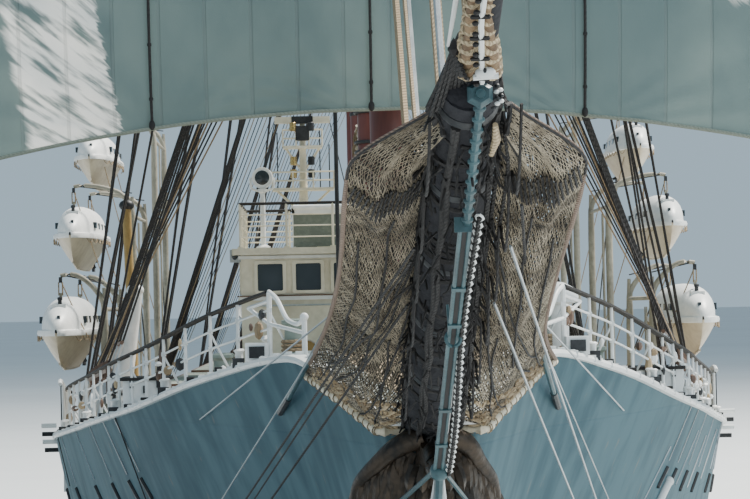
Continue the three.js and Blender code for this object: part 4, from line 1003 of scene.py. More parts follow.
@dataclass
class Rails:
    """Open rails forward and aft: thin dark cap, stanchions and bars, white ends swept down forward."""

    inset: float = 0.24
    height: float = 0.92
    pitch: float = 1.12
    start: float = 4.4
    levels: tuple[float, ...] = (0.44, 0.68)

    def side_rail(self, name: str, side: float) -> None:
        """One side: cap, bars, stanchions, coaming with lugs, and rollers for the mooring lines."""
        form = Form(f"rail_{name}_made")
        flip = mirrored(side)
        section = [(-0.05, -0.02), (-0.05, 0.01), (-0.03, 0.02), (0.03, 0.02), (0.05, 0.01), (0.05, -0.02),
                   (-0.05, -0.02)]
        for start, end in ((self.start, WAIST_FROM + 0.3), (WAIST_TO - 0.3, 93.3)):
            count = int((end - start) / self.pitch)
            s = spread(start, end, count * 2 + 1)
            path = LINES.edge(s, self.inset) * flip
            form.grid(swept(path + (0, 0, self.height), section), 1, flip=True)
            for level in self.levels:
                form.tube(path + (0, 0, level), 0.016, 6, 0)
            feet = path[::2]
            form.rods(feet, feet + (0, 0, self.height), 0.028, 7, 0, 0.022)
            form.blocks(feet + (0, 0, 0.03), (0.16, 0.16, 0.06), 0)
            for level in self.levels:
                form.blocks(feet + (0, 0, level), (0.065, 0.065, 0.06), 0)
            knees = LINES.edge(s[::2], self.inset + 0.34) * flip
            form.rods(knees[::2] + (0, 0, 0.02), feet[::2] + (0, 0, 0.66), 0.018, 5, 0)
            self.clutter(form, start, end, flip)
        self.coaming(form, flip)
        self.forward_end(form, flip)
        form.make([FITTING_WHITE, CAP_WOOD, BAND_WHITE, IRON, TAN_ROPE, LASHING, DARK_WOOD], "ship",
                  "cream_paint", (f"rail_{name}",))

    def clutter(self, form: Form, start: float, end: float, flip: np.ndarray) -> None:
        """Cleats, blocks, pads and hanks of line along the waterway and on the bars."""
        count = int((end - start) * 3)
        waterway = LINES.edge(np.sort(RNG.uniform(start, end, count)), 0.36)
        bars = LINES.edge(np.sort(RNG.uniform(start, end, count // 2)), self.inset)
        for path, low, high, deep in ((waterway, 0.03, 0.1, 0.14), (bars, 0.3, 0.72, 0.2)):
            for k, spot in enumerate(path * flip):
                size = (RNG.uniform(0.03, 0.08), RNG.uniform(0.05, 0.12),
                        RNG.uniform(0.03, 0.07) + deep * (k % 3) / 6)
                lift, slot = RNG.uniform(low, high), int(RNG.choice([2, 3, 4, 5, 6, 2, 2]))
                form.ball(spot + (0, 0, lift), size, slot, 5, 7)

    def coaming(self, form: Form, flip: np.ndarray) -> None:
        """White waterway bar inside the edge, lugs on it, and roller fairleads."""
        s = spread(2.2, 23.9, 70)
        inner = LINES.edge(s, 0.42) * flip
        bar = [(-0.04, 0.0), (-0.04, 0.08), (0.04, 0.08), (0.04, 0.0)]
        form.grid(swept(inner, bar)[:, ::-int(flip[0])], 2)
        lugs = LINES.edge(spread(2.6, 23.6, 52), 0.1) * flip
        form.blocks(lugs + (0, 0, 0.03), (0.1, 0.12, 0.09), 2)
        for at in (5.2, 8.6, 12.3, 16.2, 20.4):
            base = LINES.spot(at, 0.12, 0.3) * flip
            form.blocks(base + (0, 0, 0.05), (0.2, 0.7, 0.07), 2)
            for k in (-0.24, 0.2):
                form.lathe(base + (0, k, 0.07),
                           [(0.07, 0.0), (0.045, 0.03), (0.045, 0.15), (0.07, 0.18), (0.04, 0.2)], 2, 12)
            form.blocks(base + (0, -0.36, 0.09), (0.16, 0.06, 0.13), 3)

    def forward_end(self, form: Form, flip: np.ndarray) -> None:
        """White pipe that curls down and forward from the cap to a short post, and a three-cornered frame."""
        head = LINES.spot(self.start, self.inset) * flip
        foot = LINES.spot(3.2, self.inset) * flip
        aft = LINES.spot(5.15, self.inset, 0.25) * flip
        bend = [head * share + foot * (1 - share) + (0, 0, lift) for share, lift in
                ((1.0, self.height), (0.8, 0.82), (0.45, 0.5), (0.2, 0.43), (0.0, 0.47))]
        form.tube(curve(bend, 18), 0.03, 8, 2)
        form.rods([foot, head], [foot + (0, 0, 0.48), head + (0, 0, self.height)], 0.034, 8, 2)
        form.ball(foot + (0, 0, 0.5), (0.055, 0.055, 0.055), 2, 8, 12)
        form.rods([head + (0, 0, 0.5), head + (0, 0, 0.8), head + (0, 0, 0.5)],
                  [foot + (0, 0, 0.3), aft + (0, 0, 0.8), aft + (0, 0, 0.8)], 0.026, 6, 2)

    def stern_rail(self) -> None:
        """The rail across the stern."""
        form = Form("rail_stern")
        x = spread(-1, 1, 9)
        half = LINES.breadth(93.3) - self.inset
        path = merged(x * half, 93.3 + 0.3 * (1 - x * x), LINES.rim(93.5))
        form.tube(path + (0, 0, self.height), 0.06, 6, 1)
        for level in self.levels:
            form.tube(path + (0, 0, level), 0.02, 6, 0)
        form.rods(path, path + (0, 0, self.height), 0.038, 6, 0)
        form.make([CREAM, CAP_WOOD], "ship", "cream_paint")

    def build(self) -> None:
        """Both sides and the stern."""
        for name, side in SIDES:
            self.side_rail(name, side)
        self.stern_rail()


@dataclass
class Bowsprit:
    """Spar with its cap fitting, furled headsails, footropes, martingale bar, chain and fork."""

    fork: tuple[float, float, float] = (-0.05, -3.0, 7.05)
    lug: tuple[float, float, float] = (0.0, -10.42, 10.235)

    def spar(self) -> None:
        """Main spar with hoops and dark windings, jib boom, cap ring and its fittings."""
        form = Form("bowsprit_made")
        s = spread(3.2, CAP_S, 40)
        form.tube(sprit(s) + self.lean(s), sprit_radius(np.maximum(s, CAP_S)), 28, 0)
        outer = spread(CAP_S + 0.2, TIP_S, 24)
        form.tube(sprit(outer), np.minimum(sprit_radius(outer), 0.13), 16, 0)
        for at in (-0.7, -2.6, -4.5, -6.4, -8.3, -9.9):
            hoop = sprit(spread(at - 0.07, at + 0.07, 4)) + self.lean(at)
            form.tube(hoop, sprit_radius(at) + np.array([0.004, 0.018, 0.018, 0.004]), 28, 1)
        for _ in range(46):
            at, turn = -0.6 - 9.3 * RNG.random(), RNG.uniform(0.9, 2.2) * math.pi
            arc = turn + spread(0, RNG.uniform(0.5, 1.1) * math.pi, 9)
            reach = float(sprit_radius(at)) + 0.018
            lean = RNG.uniform(-0.25, 0.25)
            along = sprit(at + lean * spread(-1, 1, 9))
            path = self.lean(at) + along + reach * merged(np.cos(arc), 0, np.sin(arc))
            form.tube(path, 0.017 + 0.012 * RNG.random(), 5, 5)
        for turn in (-0.12, -0.35, -0.62, 1.12, 1.35, 1.62):
            at = spread(0.4, CAP_S + 0.3, 26)
            reach = sprit_radius(at) + 0.02
            wave = turn * math.pi + 0.05 * np.sin(at * 3.1 + turn * 9)
            form.tube(self.skin(at, reach, wave), 0.024, 6, 5)
        form.ball(sprit(CAP_S) + self.lean(CAP_S), (0.215, 0.12, 0.215), 0, 12, 24)
        at = RNG.uniform(CAP_S + 0.2, -0.2, 420)
        turn = RNG.uniform(0.75, 2.25, 420) * math.pi
        reach = sprit_radius(at) + RNG.uniform(0.0, 0.05, 420)
        start = self.skin(at, reach, turn)
        drop = merged(RNG.normal(0, 0.05, 420) + 0.03 * np.cos(turn), RNG.normal(0, 0.1, 420),
                      -RNG.uniform(0.04, 0.2, 420))
        form.rods(start, start + drop, 0.011, 4, 5)
        self.cap(form)
        form.ball(sprit(TIP_S), (0.1, 0.1, 0.1), 3, 8, 12)
        form.make([SPAR_IN_DEEP_SHADE, IRON, BAND_WHITE, STEEL, STEEL_IN_TEAL_SHADE, TARRED_ROPE_AND_NET_SHADE, LASHING], "ship",
                  "oiled_wood", ("bowsprit",))

    def lean(self, s: np.ndarray | float) -> np.ndarray:
        """Slight set of the spar to starboard between the stem and the cap."""
        s = np.asarray(s, dtype=float)
        share = np.clip((1.0 - s) / 8.0, 0, 1) * np.clip((s - CAP_S + 2.0) / 2.0, 0.75, 1)
        return merged(-0.06 * share, 0, 0)

    def skin(self, s: np.ndarray, reach: np.ndarray, turn: np.ndarray) -> np.ndarray:
        """Points at a reach from the spar's middle, turned about it."""
        return self.lean(s) + sprit(s) + merged(reach * np.cos(turn), 0, reach * np.sin(turn))

    def cap(self, form: Form) -> None:
        """Six-sided steel lug under the cap, white clamp ahead of it, shackles and dark tackles."""
        x, s, z = self.lug
        form.lathe((x, s, z), [(0.07, -0.09), (0.1, -0.05), (0.108, 0.0), (0.1, 0.05), (0.07, 0.09)], 4, 6, 1)
        form.lathe((x, s - 0.1, z), [(0.0, -0.015), (0.035, -0.012), (0.04, 0.012)], 4, 12, 1)
        form.blocks((x, s + 0.1, z + 0.06), (0.1, 0.16, 0.2), 4)
        clamp = np.array([0.015, -10.86, 10.35])
        form.ball(clamp, (0.075, 0.06, 0.045), 2, 10, 16)
        form.ball(clamp + (-0.005, -0.055, 0.01), (0.014, 0.012, 0.02), 1, 6, 8)
        form.rods(clamp + (-0.085, 0.03, -0.03), clamp + (0.095, 0.03, -0.02), 0.022, 8, 2)
        for k, (dx, dz, slot) in enumerate(((0.125, 0.06, 1), (0.15, 0.03, 2), (0.12, 0.015, 2),
                                            (0.155, -0.01, 1), (0.125, -0.03, 1), (0.155, -0.05, 2),
                                            (0.125, -0.07, 2), (0.1, -0.1, 1))):
            form.ball((dx, s + 0.02 * (k % 2), z + dz), (0.022, 0.03, 0.017), slot, 6, 8)
        block = np.array([-0.205, -10.9, 10.52])
        form.lathe(block, [(0.0, -0.07), (0.045, -0.01), (0.04, 0.02), (0.0, 0.08)], 5, 6)
        for k in range(9):
            foot = np.array([-0.34 + 0.04 * k, -9.95 - 0.06 * (k % 3), 10.12 + 0.03 * k])
            form.rods(block + (0.01 * k, 0, 0.03 - 0.03 * k), foot, 0.015, 5, 5)
        form.rods((-0.16, -10.9, 10.62), (-0.36, -9.9, 10.16), 0.022, 6, 5)
        form.rods(block + (-0.04, 0, 0.02), (-0.13, -12.4, 11.35), 0.012, 6, 2, 0.035)
        form.rods((0.19, -10.3, 10.16), (0.27, -9.75, 10.22), 0.014, 6, 5)
        tackle = np.array([(0.14, -9.9, 10.05), (0.16, -9.7, 9.95), (0.13, -9.5, 9.85)])
        form.tube(tackle, [0.02, 0.035, 0.02], 8, 6)

    def headsails(self) -> None:
        """Furled headsails hug both sides of the jib boom, lashed in a herringbone."""
        form = Form("headsails_made")
        s = spread(CAP_S - 0.42, -17.2, 72)
        rows = np.array([(-17.2, 0.05), (-16.4, 0.13), (-14.0, 0.19), (-12.6, 0.13), (-11.8, 0.09),
                         (-11.0, 0.13), (-10.2, 0.175)])
        wide = hermite(rows[:, 0], rows[:, 1], s)
        drift = -0.07 * np.clip((-10.5 - s) / 1.2, 0, 1) * np.clip((s + 16.4) / 3.0, 0, 1)
        lumps = 1 + 0.05 * np.sin(s * 9.1) + 0.04 * np.sin(s * 14.7 + 1)
        for side in (-1, 1):
            path = sprit(s, -0.07)
            path[:, 0] += side * wide * 0.54 + drift
            form.tube(path, wide * 0.46 * lumps, 14, 0)
            for at in np.arange(CAP_S - 0.5, -17.0, -0.15):
                reach = float(np.interp(-at, -s, wide)) * 0.52
                centre = sprit(at, -0.07) + (side * reach * 1.04 + float(np.interp(-at, -s, drift)), 0, 0)
                angle = spread(-1.02 * math.pi, 0.55 * math.pi, 11)
                lash = centre + reach * merged(side * np.cos(angle), 0, np.sin(angle))
                lash[:, 1] += 0.12 * (1 + np.cos(angle)) * reach / 0.09 - 0.05
                form.tube(lash, 0.024 + 0.006 * math.sin(at * 37), 6, 1)
        top = sprit(s[6:58], 0.1)
        top[:, 0] += drift[6:58]
        form.tube(top, wide[6:58] * 0.7 * lumps[6:58], 12, 0)
        strip = sprit(s[:60], -0.155) + merged(0.012 + drift[:60], 0, 0)
        form.tube(strip, 0.02, 6, 2)
        for k in range(0, 60, 2):
            form.ball(strip[k] + (-0.04, 0, -0.012), (0.024, 0.03, 0.02), 3, 5, 8)
        for k in range(1, 58, 4):
            form.rods(strip[k] + (-0.07, 0.05, 0.0), strip[k] + (0.05, -0.05, -0.01), 0.016, 4, 3)
        form.make([LASHED_CANVAS, LASHING, BAND_WHITE, TARRED_ROPE_AND_NET_SHADE], "ship", "canvas", ("headsails_furled",))

    def martingale(self) -> None:
        """Beaded rod from the cap, a flat twin bar with a ring, a chain beside it, and the fork's legs."""
        form = Form("bobstay_made")
        top, fork = np.array(self.lug) + (0, -0.02, -0.06), np.array(self.fork)

        def along(t: float | np.ndarray, x: float = 0.0) -> np.ndarray:
            """Points at shares t from the cap down to the fork, set off by x."""
            t = np.atleast_1d(np.asarray(t, dtype=float))[:, None]
            return top * (1 - t) + fork * t + np.array([x, 0, 0])

        form.tube(along(spread(0, 0.26, 4)), 0.03, 8, 0)
        for t in spread(0.012, 0.25, 12):
            form.ball(along(t)[0], (0.05, 0.05, 0.035), 0, 6, 10)
        form.blocks(along(0.262, -0.03)[0], (0.14, 0.06, 0.12), 0)
        for x in (-0.036, 0.036):
            form.tube(along(spread(0.26, 1.0, 6), x - 0.01), 0.02, 6, 0)
        rise = unit(top - fork)
        axes = np.array([(1, 0, 0), np.cross(rise, (1, 0, 0)), rise])
        middle, reach = along(0.63, -0.01)[0], np.linalg.norm(top - fork) * 0.74
        form.blocks(middle, (0.05, 0.012, reach), 3, axes)
        for t in (0.42, 0.52, 0.78, 0.9):
            form.blocks(along(t, -0.01)[0], (0.12, 0.05, 0.07), 0, axes)
        ring_at = along(0.56, -0.01)[0]
        angle = spread(0, 2 * math.pi, 19)
        form.tube(ring_at + merged(0.065 * np.cos(angle), -0.05, 0.07 * np.sin(angle)), 0.018, 6,
                  0, caps=False)
        form.rods([ring_at + (-0.03, -0.05, 0.06), ring_at + (0.03, -0.05, 0.06)],
                  [ring_at + (-0.045, -0.03, 0.3), ring_at + (0.02, -0.03, 0.3)], 0.014, 5, 0)
        form.tube(along(spread(0.7, 0.86, 4), 0.03), 0.016, 6, 4)
        form.ball(fork, (0.1, 0.1, 0.1), 0, 8, 12)
        for _, side in SIDES:
            form.rods(fork, (side * 0.42, 1.75, 3.9), 0.042, 8, 1)
            form.rods(fork + (side * 0.02, 0, 0.03), LINES.side(1.35, 5.9, side, 0.02), 0.026, 6, 0)
        form.rods(fork, (-0.1, -0.1, 4.2), 0.05, 8, 0)
        t = spread(0.25, 1.0, 24)
        path = along(t, 0.085) + merged(0.02 * np.sin(t * 9), 0, 0.03 * np.sin(t * 5))
        form.tube(path + (0, 0.03, 0), 0.03, 6, 3)
        chain(form, path, 0.1, (4, 3))
        form.make([STEEL_IN_TEAL_SHADE, STEEL, IRON, TARRED_ROPE_AND_NET_SHADE, BAND_WHITE], "ship", "dark_metal", ("bobstay",))

    def guys(self) -> None:
        """Struts to both bows, footropes in loops, and the thin guys down to the hull's sides."""
        form = Form("bow_guys")
        for _, side in SIDES:
            stops = spread(-1.2, CAP_S + 0.3, 7)
            for a, b in zip(stops[:-1], stops[1:]):
                first = sprit(a, -0.05) + (side * 0.36, 0, 0)
                form.tube(sagging(first, sprit(b, -0.05) + (side * 0.34, 0, 0), 0.4, 9), 0.013, 5, 0)
            foot, head = LINES.side(3.6, 7.45, side, 0.05), np.array([side * 1.04, -1.0, 8.7])
            form.tube([foot, head], 0.034, 8, 1)
            form.rods(foot + (side * 0.04, 0.25, -0.06), foot + (head - foot) * 0.12, 0.045, 8, 2)
            form.rods(head, head + (head - foot) * 0.03, 0.045, 8, 2)
            form.rods(head + (0, 0.1, 0), LINES.side(7.0, 7.2, side, 0.02), 0.012, 5, 3)
            for s, z, aft in ((-7.5, 9.2, 9.0), (-5.2, 8.73, 8.0)):
                form.rods((side * 0.4, s, z), LINES.side(aft, 5.0, side, 0.02), 0.014, 5,
                          0 if side < 0 else 3)
            form.rods(head + (0, 0.05, -0.05), LINES.side(10.0, 5.0, side, 0.02), 0.01, 5, 3)
        form.rods((-0.42, -7.1, 9.1), LINES.side(8.6, 5.0, -1.0, 0.02), 0.011, 5, 0)
        form.rods((0.42, -8.6, 9.5), (1.0, -1.6, 8.4), 0.014, 5, 0)
        form.make([TARRED_ROPE_AND_NET_SHADE, STEEL_IN_TEAL_SHADE, IRON, STEEL], "ship", "dark_rope")

    def build(self) -> None:
        """Every piece of the bowsprit."""
        self.spar()
        self.headsails()
        self.martingale()
        self.guys()


# Outer edge of a net, from its forward end aft.
NET_EDGE = ((0.27, -9.75, 10.22), (0.95, -8.5, 9.82), (1.02, -5.0, 9.05), (1.2, -1.0, 8.42))


@dataclass
class Nets:
    """Safety nets on both sides of the bowsprit: knotted mesh, slack folds, edge ropes, lashings."""

    rows: int = 84
    lanes: int = 36

    def surface(self, u: np.ndarray, v: np.ndarray, side: float, below: float = 0.0) -> np.ndarray:
        """Point of the net: inner edge on the spar, outer edge on the rope, aft edge over the deck's edge.

        Args:
            u: Share from the spar out, from 0 to 1.
            v: Share from the cap aft, from 0 to 1.
            side: 1 for port, -1 for starboard.
            below: Distance behind the net, as seen from ahead.

        Returns:
            Points with the shape of u and v.
        """
        u, v = np.broadcast_arrays(np.asarray(u, float), np.asarray(v, float))
        share, down = u.ravel(), v.ravel()
        rows = np.vstack([NET_EDGE, self.foot(np.ones(1), side)])
        outer = hermite(np.array([0.0, 0.13, 0.4, 0.72, 1.0]), rows, down)
        s = -9.6 + 9.45 * down
        inner = sprit(s, 0.0)
        inner[:, 0] = sprit_radius(s) * 0.95
        point = inner * (1 - share[:, None]) + outer * share[:, None]
        hang = 4 * share * (1 - share)
        wrinkle = 0.05 * np.sin(down * 24 + 5 * share) + 0.03 * np.sin(share * 19 + down * 7)
        band = np.exp(-((down - 0.27) / 0.05) ** 2)
        point[:, 2] -= hang * (0.14 + 0.16 * down) + wrinkle * hang - 0.12 * band * hang
        edge = self.foot(share, side)
        near = np.clip((down - 0.66) / 0.34, 0, 1)[:, None]
        near = near * near * (3 - 2 * near)
        point = point * (1 - near) + edge * near
        point[:, 1] += below * (1 - down ** 4)
        point[:, 0] *= side
        return point.reshape(u.shape + (3,))

    def foot(self, share: np.ndarray, side: float) -> np.ndarray:
        """Port-side points of the laced foot: along the round of the stem, then along the deck's edge."""
        end = 3.0 if side > 0 else 2.35
        s = np.where(share < 0.14, -0.12, -0.12 + (end + 0.12) * (share - 0.14) / 0.86)
        x = np.where(share < 0.14, 0.28 + 2.5 * share, LINES.half(np.maximum(s, 0)) + 0.07)
        return merged(x, s, LINES.sheer(np.maximum(s, 0)) - 0.1)

    def mesh(self, form: Form, side: float, below: float, slot: int, radius: float) -> None:
        """Two families of slanted cords that meet in knots; the near net has level cords as well."""
        i = np.arange(self.lanes + 1)[None] / self.lanes
        j = np.arange(self.rows + 1)[:, None] / self.rows
        jitter = RNG.normal(0, 0.2, (2, self.rows + 1, self.lanes + 1))
        u = np.clip(i + jitter[0] / self.lanes * (i > 0) * (i < 1), 0, 1)
        v = np.clip(j + jitter[1] / self.rows, 0, 1)
        knots = self.surface(u, v, side, below)
        form.rods(knots[:-1, :-1], knots[1:, 1:], radius, 3, slot)
        form.rods(knots[:-1, 1:], knots[1:, :-1], radius, 3, slot)
        if below == 0:
            form.rods(knots[::3, :-1], knots[::3, 1:], radius * 0.9, 3, slot)

    def one(self, name: str, side: float) -> None:
        """One side's net with its ropes, slanted lacing, folds and patches of chafing gear."""
        form = Form(f"net_{name}_made")
        self.mesh(form, side, 0.0, 0, 0.0036)
        # A second mesh, darker and thicker, a little behind the first: painted shade that darkens the gaps
        # between the cords.
        self.mesh(form, side, 0.1, 1, 0.009)
        form.tube(self.surface(np.ones(60), spread(0, 0.985, 60), side),
                  graded(60, (0, 0.13, 0.2, 1), (0.012, 0.014, 0.024, 0.028)), 8, 4)
        form.tube(self.surface(np.ones(20), spread(0, 0.15, 20), side) + (0, 0, -0.012), 0.012, 6, 1)
        form.tube(self.surface(spread(0, 1, 14), np.zeros(14), side), 0.022, 6, 1)
        form.tube(self.surface(spread(0, 1, 24), np.full(24, 0.995), side), 0.03, 6, 2)
        form.tube(self.surface(np.full(60, 0.02), spread(0, 1, 60), side), 0.02, 6, 1)
        form.tube(self.surface(np.full(20, 0.13), spread(0.02, 0.3, 20), side), 0.016, 6, 1)
        for k in range(17):
            share = 0.1 + 0.86 * (k + 0.5) / 17
            at = 0.155 + 0.02 * share * (1 if side < 0 else -1)
            form.tube(self.surface(np.array([share - 0.025, min(1, share + 0.035)]),
                                   np.array([at - 0.022, at + 0.022]), side)
                      + (0, -0.03, -0.02), 0.0105, 4, 1)
        for first, last, start, stop in ((0.02, 0.72, 0.26, 0.8), (0.1, 0.86, 0.3, 0.76),
                                         (0.45, 0.55, 0.2, 0.7), (0.05, 0.4, 0.4, 0.97),
                                         (0.8, 0.86, 0.3, 0.9), (0.3, 0.2, 0.6, 0.97)):
            t = spread(0, 1, 14)
            lane = first + (last - first) * t + 0.012 * np.sin(t * 19 + first * 40)
            form.tube(self.surface(np.clip(lane, 0, 1), start + (stop - start) * t, side) + (0, -0.03, -0.02),
                      0.011, 4, 1)
        for k in range(60):
            v0, u0 = 0.80 + 0.17 * RNG.random(), RNG.random() * 0.85
            patch = self.surface(np.array([u0, u0 + 0.05, u0 + 0.1]),
                                 np.array([v0, v0 + 0.012, v0 - 0.008]), side)
            form.tube(patch, 0.018 + 0.012 * RNG.random(), 5, 2 + k % 2)
        form.make([NET_ROPE, TARRED_ROPE_AND_NET_SHADE, TAN_ROPE, LASHING, EDGE_ROPE], "ship", "net_rope", (f"net_{name}",))

    def apron(self) -> None:
        """Pale chafing roll laced along the deck's edge under the nets."""
        form = Form("bow_apron")
        for _, side in SIDES:
            path = self.foot(spread(0, 1, 40), side) * mirrored(side) + (0, -0.02, -0.02)
            step, angle = np.arange(40), spread(0, 2 * math.pi, 9)
            form.tube(path, 0.045 + 0.012 * np.sin(step * 1.9) + 0.008 * np.sin(step * 3.1 + 2), 12, 0)
            for middle in path[1:39:2]:
                ring = middle + 0.056 * merged(np.cos(angle), 0, np.sin(angle))
                form.tube(ring, 0.007, 4, 1, caps=False)
        form.make([CHAFE_CREAM, TAN_ROPE], "ship", "canvas")

    def build(self) -> None:
        """Both nets and the roll under them."""
        for name, side in SIDES:
            self.one(name, side)
        self.apron()


@dataclass
class Figurehead:
    """A bird of dark bronze on the stem, wings spread back along the bow, feather by feather."""

    tiers: tuple[tuple[float, float, int], ...] = ((0.0, 0.4, 12), (0.14, 0.55, 13), (0.32, 0.75, 14),
                                                   (0.52, 0.95, 15))

    def feather(self, form: Form, root: np.ndarray, tip: np.ndarray, width: float, face: np.ndarray) -> None:
        """One feather: a long leaf with a raised quill, w(t) = width * (1 - t^3) ^ 0.6 about its spine."""
        t = spread(0, 1, 7)
        spine = root + (tip - root) * t[:, None] + face * (0.05 * np.sin(t * math.pi))[:, None]
        along = unit(tip - root)
        across = unit(np.cross(along, face))
        half = width * (1 - t ** 3) ** 0.6 + 0.004
        lanes = np.array([-1, -0.5, 0, 0.5, 1])
        rise = 0.028 * (1 - np.abs(lanes)) + 0.01
        top = (spine[:, None] + lanes[None, :, None] * half[:, None, None] * across
               + rise[None, :, None] * face)
        form.grid(top, 0)
        form.grid(top - 0.04 * face * (1 - np.abs(lanes))[None, :, None] - 0.01 * face, 0, flip=True)

    def wing(self, form: Form, side: float) -> None:
        """Arm from shoulder to tip, with tiers of feathers that overlap downwards."""
        narrow = 1.0 if side < 0 else 0.8
        arm = curve([(side * 0.1, -0.55, 7.28), (side * 0.34, -0.48, 7.2),
                     (side * 0.62 * narrow, -0.26, 6.98), (side * 0.84 * narrow, 0.05, 6.72),
                     (side * 0.93 * narrow, 0.3, 6.38)], 24)
        form.tube(arm, graded(24, (0, 0.4, 1), (0.14, 0.1, 0.05)), 10, 0)
        face = unit(np.array([side * 0.4, -0.88, 0.22]))
        for drop, length, count in self.tiers:
            for k in range(count):
                share = (k + 0.4) / count
                root = read_path(share, spread(0, 1, 24), arm)
                root += np.array([0, 0.03, -drop * 0.8]) - face * (0.02 + drop * 0.16)
                lean = np.array([side * (0.05 + 0.3 * share), 0.3 + 0.35 * share, -1.0])
                lean = unit(lean + RNG.normal(0, 0.05, 3))
                size = length * (0.8 + 0.3 * share) * RNG.uniform(0.92, 1.08)
                self.feather(form, root, root + lean * size, 0.05 + drop * 0.05, face)

    def build(self) -> None:
        """Body, breast feathers, neck, head with beak, tail and wings."""
        form = Form("figurehead_made")
        body = curve([(0, -0.7, 7.2), (0, -0.5, 6.85), (0, -0.12, 6.4), (0, 0.55, 5.75), (0, 1.35, 5.0)], 26)
        form.tube(body, graded(26, (0, 0.2, 0.45, 0.8, 1), (0.16, 0.24, 0.3, 0.2, 0.08)), 18, 0)
        neck = curve([(0, -0.55, 6.95), (0, -0.95, 7.1), (0, -1.2, 7.0)], 10)
        form.tube(neck, graded(10, (0, 1), (0.19, 0.13)), 14, 0)
        form.ball((0, -1.25, 6.97), (0.13, 0.19, 0.13), 0, 10, 14)
        beak = curve([(0, -1.38, 6.98), (0, -1.58, 6.94), (0, -1.66, 6.82)], 8)
        form.tube(beak, [0.075, 0.072, 0.066, 0.058, 0.048, 0.036, 0.022, 0.006], 10, 0)
        for _, side in SIDES:
            form.ball((side * 0.1, -1.31, 7.01), (0.03, 0.035, 0.03), 0, 6, 8)
            self.wing(form, side)
        for k in range(7):
            for j in range(-2, 3):
                at = np.array([0.11 * j, -0.82 + 0.17 * k + 0.0424 * j * j, 6.98 - 0.21 * k])
                lean = np.array([0.12 * j, 0.15, -1.0])
                self.feather(form, at, at + lean * 0.3, 0.06, np.array([0.25 * j, -0.95, -0.2]))
        for j in range(-3, 4):
            root = np.array([0.06 * j, 0.9, 5.35])
            self.feather(form, root, root + (0.1 * j, 0.75, -1.0), 0.08, np.array([0.2 * j, -0.9, 0.1]))
        form.make([BRONZE], "ship", "bronze", ("figurehead",))


# Deckhouses, bridge and boats.


def dress(nodes: tuple[str, ...], finish: Finish) -> None:
    """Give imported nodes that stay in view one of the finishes."""
    for name in nodes:
        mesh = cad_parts[name].data
        mesh.materials.clear()
        mesh.materials.append(finish.material())


def rounded(half_w: float, half_h: float, corner: float, steps: int = 4) -> np.ndarray:
    """Outline (n, 2) of a rectangle with round corners."""
    corner = min(corner, half_w * 0.98, half_h * 0.98)
    rows = []
    for quarter, (sx, sy) in enumerate(((1, 1), (-1, 1), (-1, -1), (1, -1))):
        for a in spread(0, math.pi / 2, steps):
            angle = a + quarter * math.pi / 2
            rows.append((sx * (half_w - corner) + corner * math.cos(angle),
                         sy * (half_h - corner) + corner * math.sin(angle)))
    return np.array(rows)


@dataclass(frozen=True)
class Wall:
    """A flat wall: an origin, its right and outward directions; up is up."""

    origin: tuple[float, float, float]
    right: tuple[float, float, float]
    out: tuple[float, float, float]

    def at(self, across: np.ndarray | float, up: np.ndarray | float, off: float = 0.0) -> np.ndarray:
        """Point on the wall."""
        across, up = np.broadcast_arrays(np.asarray(across, float), np.asarray(up, float))
        return (np.array(self.origin) + across[..., None] * np.array(self.right)
                + up[..., None] * np.array([0, 0, 1.0]) + off * np.array(self.out))

    @property
    def axes(self) -> np.ndarray:
        """Rows for turned boxes: right, out, up."""
        return np.array([self.right, self.out, (0, 0, 1)], dtype=float)


def window(form: Form, wall: Wall, across: float, up: float, half: tuple[float, float],
           slots: tuple[int, int], corner: float = 0.08, sunk: float = 0.0) -> None:
    """Framed pane: a rounded frame round a dark pane, set in by the sunk depth."""
    outline = rounded(*half, corner)
    grown = outline * (1 + 0.07 / np.array(half))
    ring = [wall.at(*grown.T, 0.005), wall.at(*grown.T, 0.045), wall.at(*outline.T, 0.05),
            wall.at(*outline.T, -sunk - 0.01)]
    ring = np.stack(ring) + wall.at(across, up) - np.array(wall.origin)
    out = np.cross(np.array(wall.right), (0, 0, 1.0))
    same = float(np.dot(out, wall.out)) < 0
    form.grid(ring, slots[0], close_v=True, flip=not same)
    form.fan(ring[-1] + 0.012 * np.array(wall.out), slots[1], flip=not same)


def door(form: Form, wall: Wall, across: float, foot: float, slots: tuple[int, int, int],
         half: float = 0.36, height: float = 1.85) -> None:
    """Weather door: raised frame, panelled leaf, port light, hinges, handle and a sill step."""
    middle = foot + height / 2
    form.blocks(wall.at(across, middle, 0.02), (half * 2 + 0.16, 0.05, height + 0.12), slots[0], wall.axes)
    form.blocks(wall.at(across, middle, 0.05), (half * 2, 0.05, height), slots[1], wall.axes)
    for up, size in ((foot + 0.45, 0.55), (foot + 1.0, 0.35)):
        form.blocks(wall.at(across, up, 0.085), (half * 1.35, 0.02, size), slots[1], wall.axes)
    window(form, Wall(tuple(wall.at(0, 0, 0.07)), wall.right, wall.out), across, foot + 1.45, (0.15, 0.15),
           (slots[2], 3), 0.15)
    for up in (0.25, 1.6):
        form.blocks(wall.at(across - half, foot + up, 0.09), (0.08, 0.05, 0.12), slots[2], wall.axes)
    form.rods(wall.at(across + half * 0.75, foot + 0.85, 0.12),
              wall.at(across + half * 0.4, foot + 0.85, 0.12), 0.02, 6, slots[2])
    form.blocks(wall.at(across, foot + 0.02, 0.14), (half * 2 + 0.2, 0.22, 0.06), slots[0], wall.axes)


def walls_of(half: float, start: float, end: float) -> dict[str, tuple[Wall, float, float]]:
    """The four walls of a house, each with the range of its own across coordinate."""
    return {
        "front": (Wall((0, start, 0), (1, 0, 0), (0, -1, 0)), -half, half),
        "back": (Wall((0, end, 0), (1, 0, 0), (0, 1, 0)), -half, half),
        "port": (Wall((half, 0, 0), (0, 1, 0), (1, 0, 0)), start, end),
        "starboard": (Wall((-half, 0, 0), (0, 1, 0), (-1, 0, 0)), start, end),
    }


BOAT_DECK = 7.2
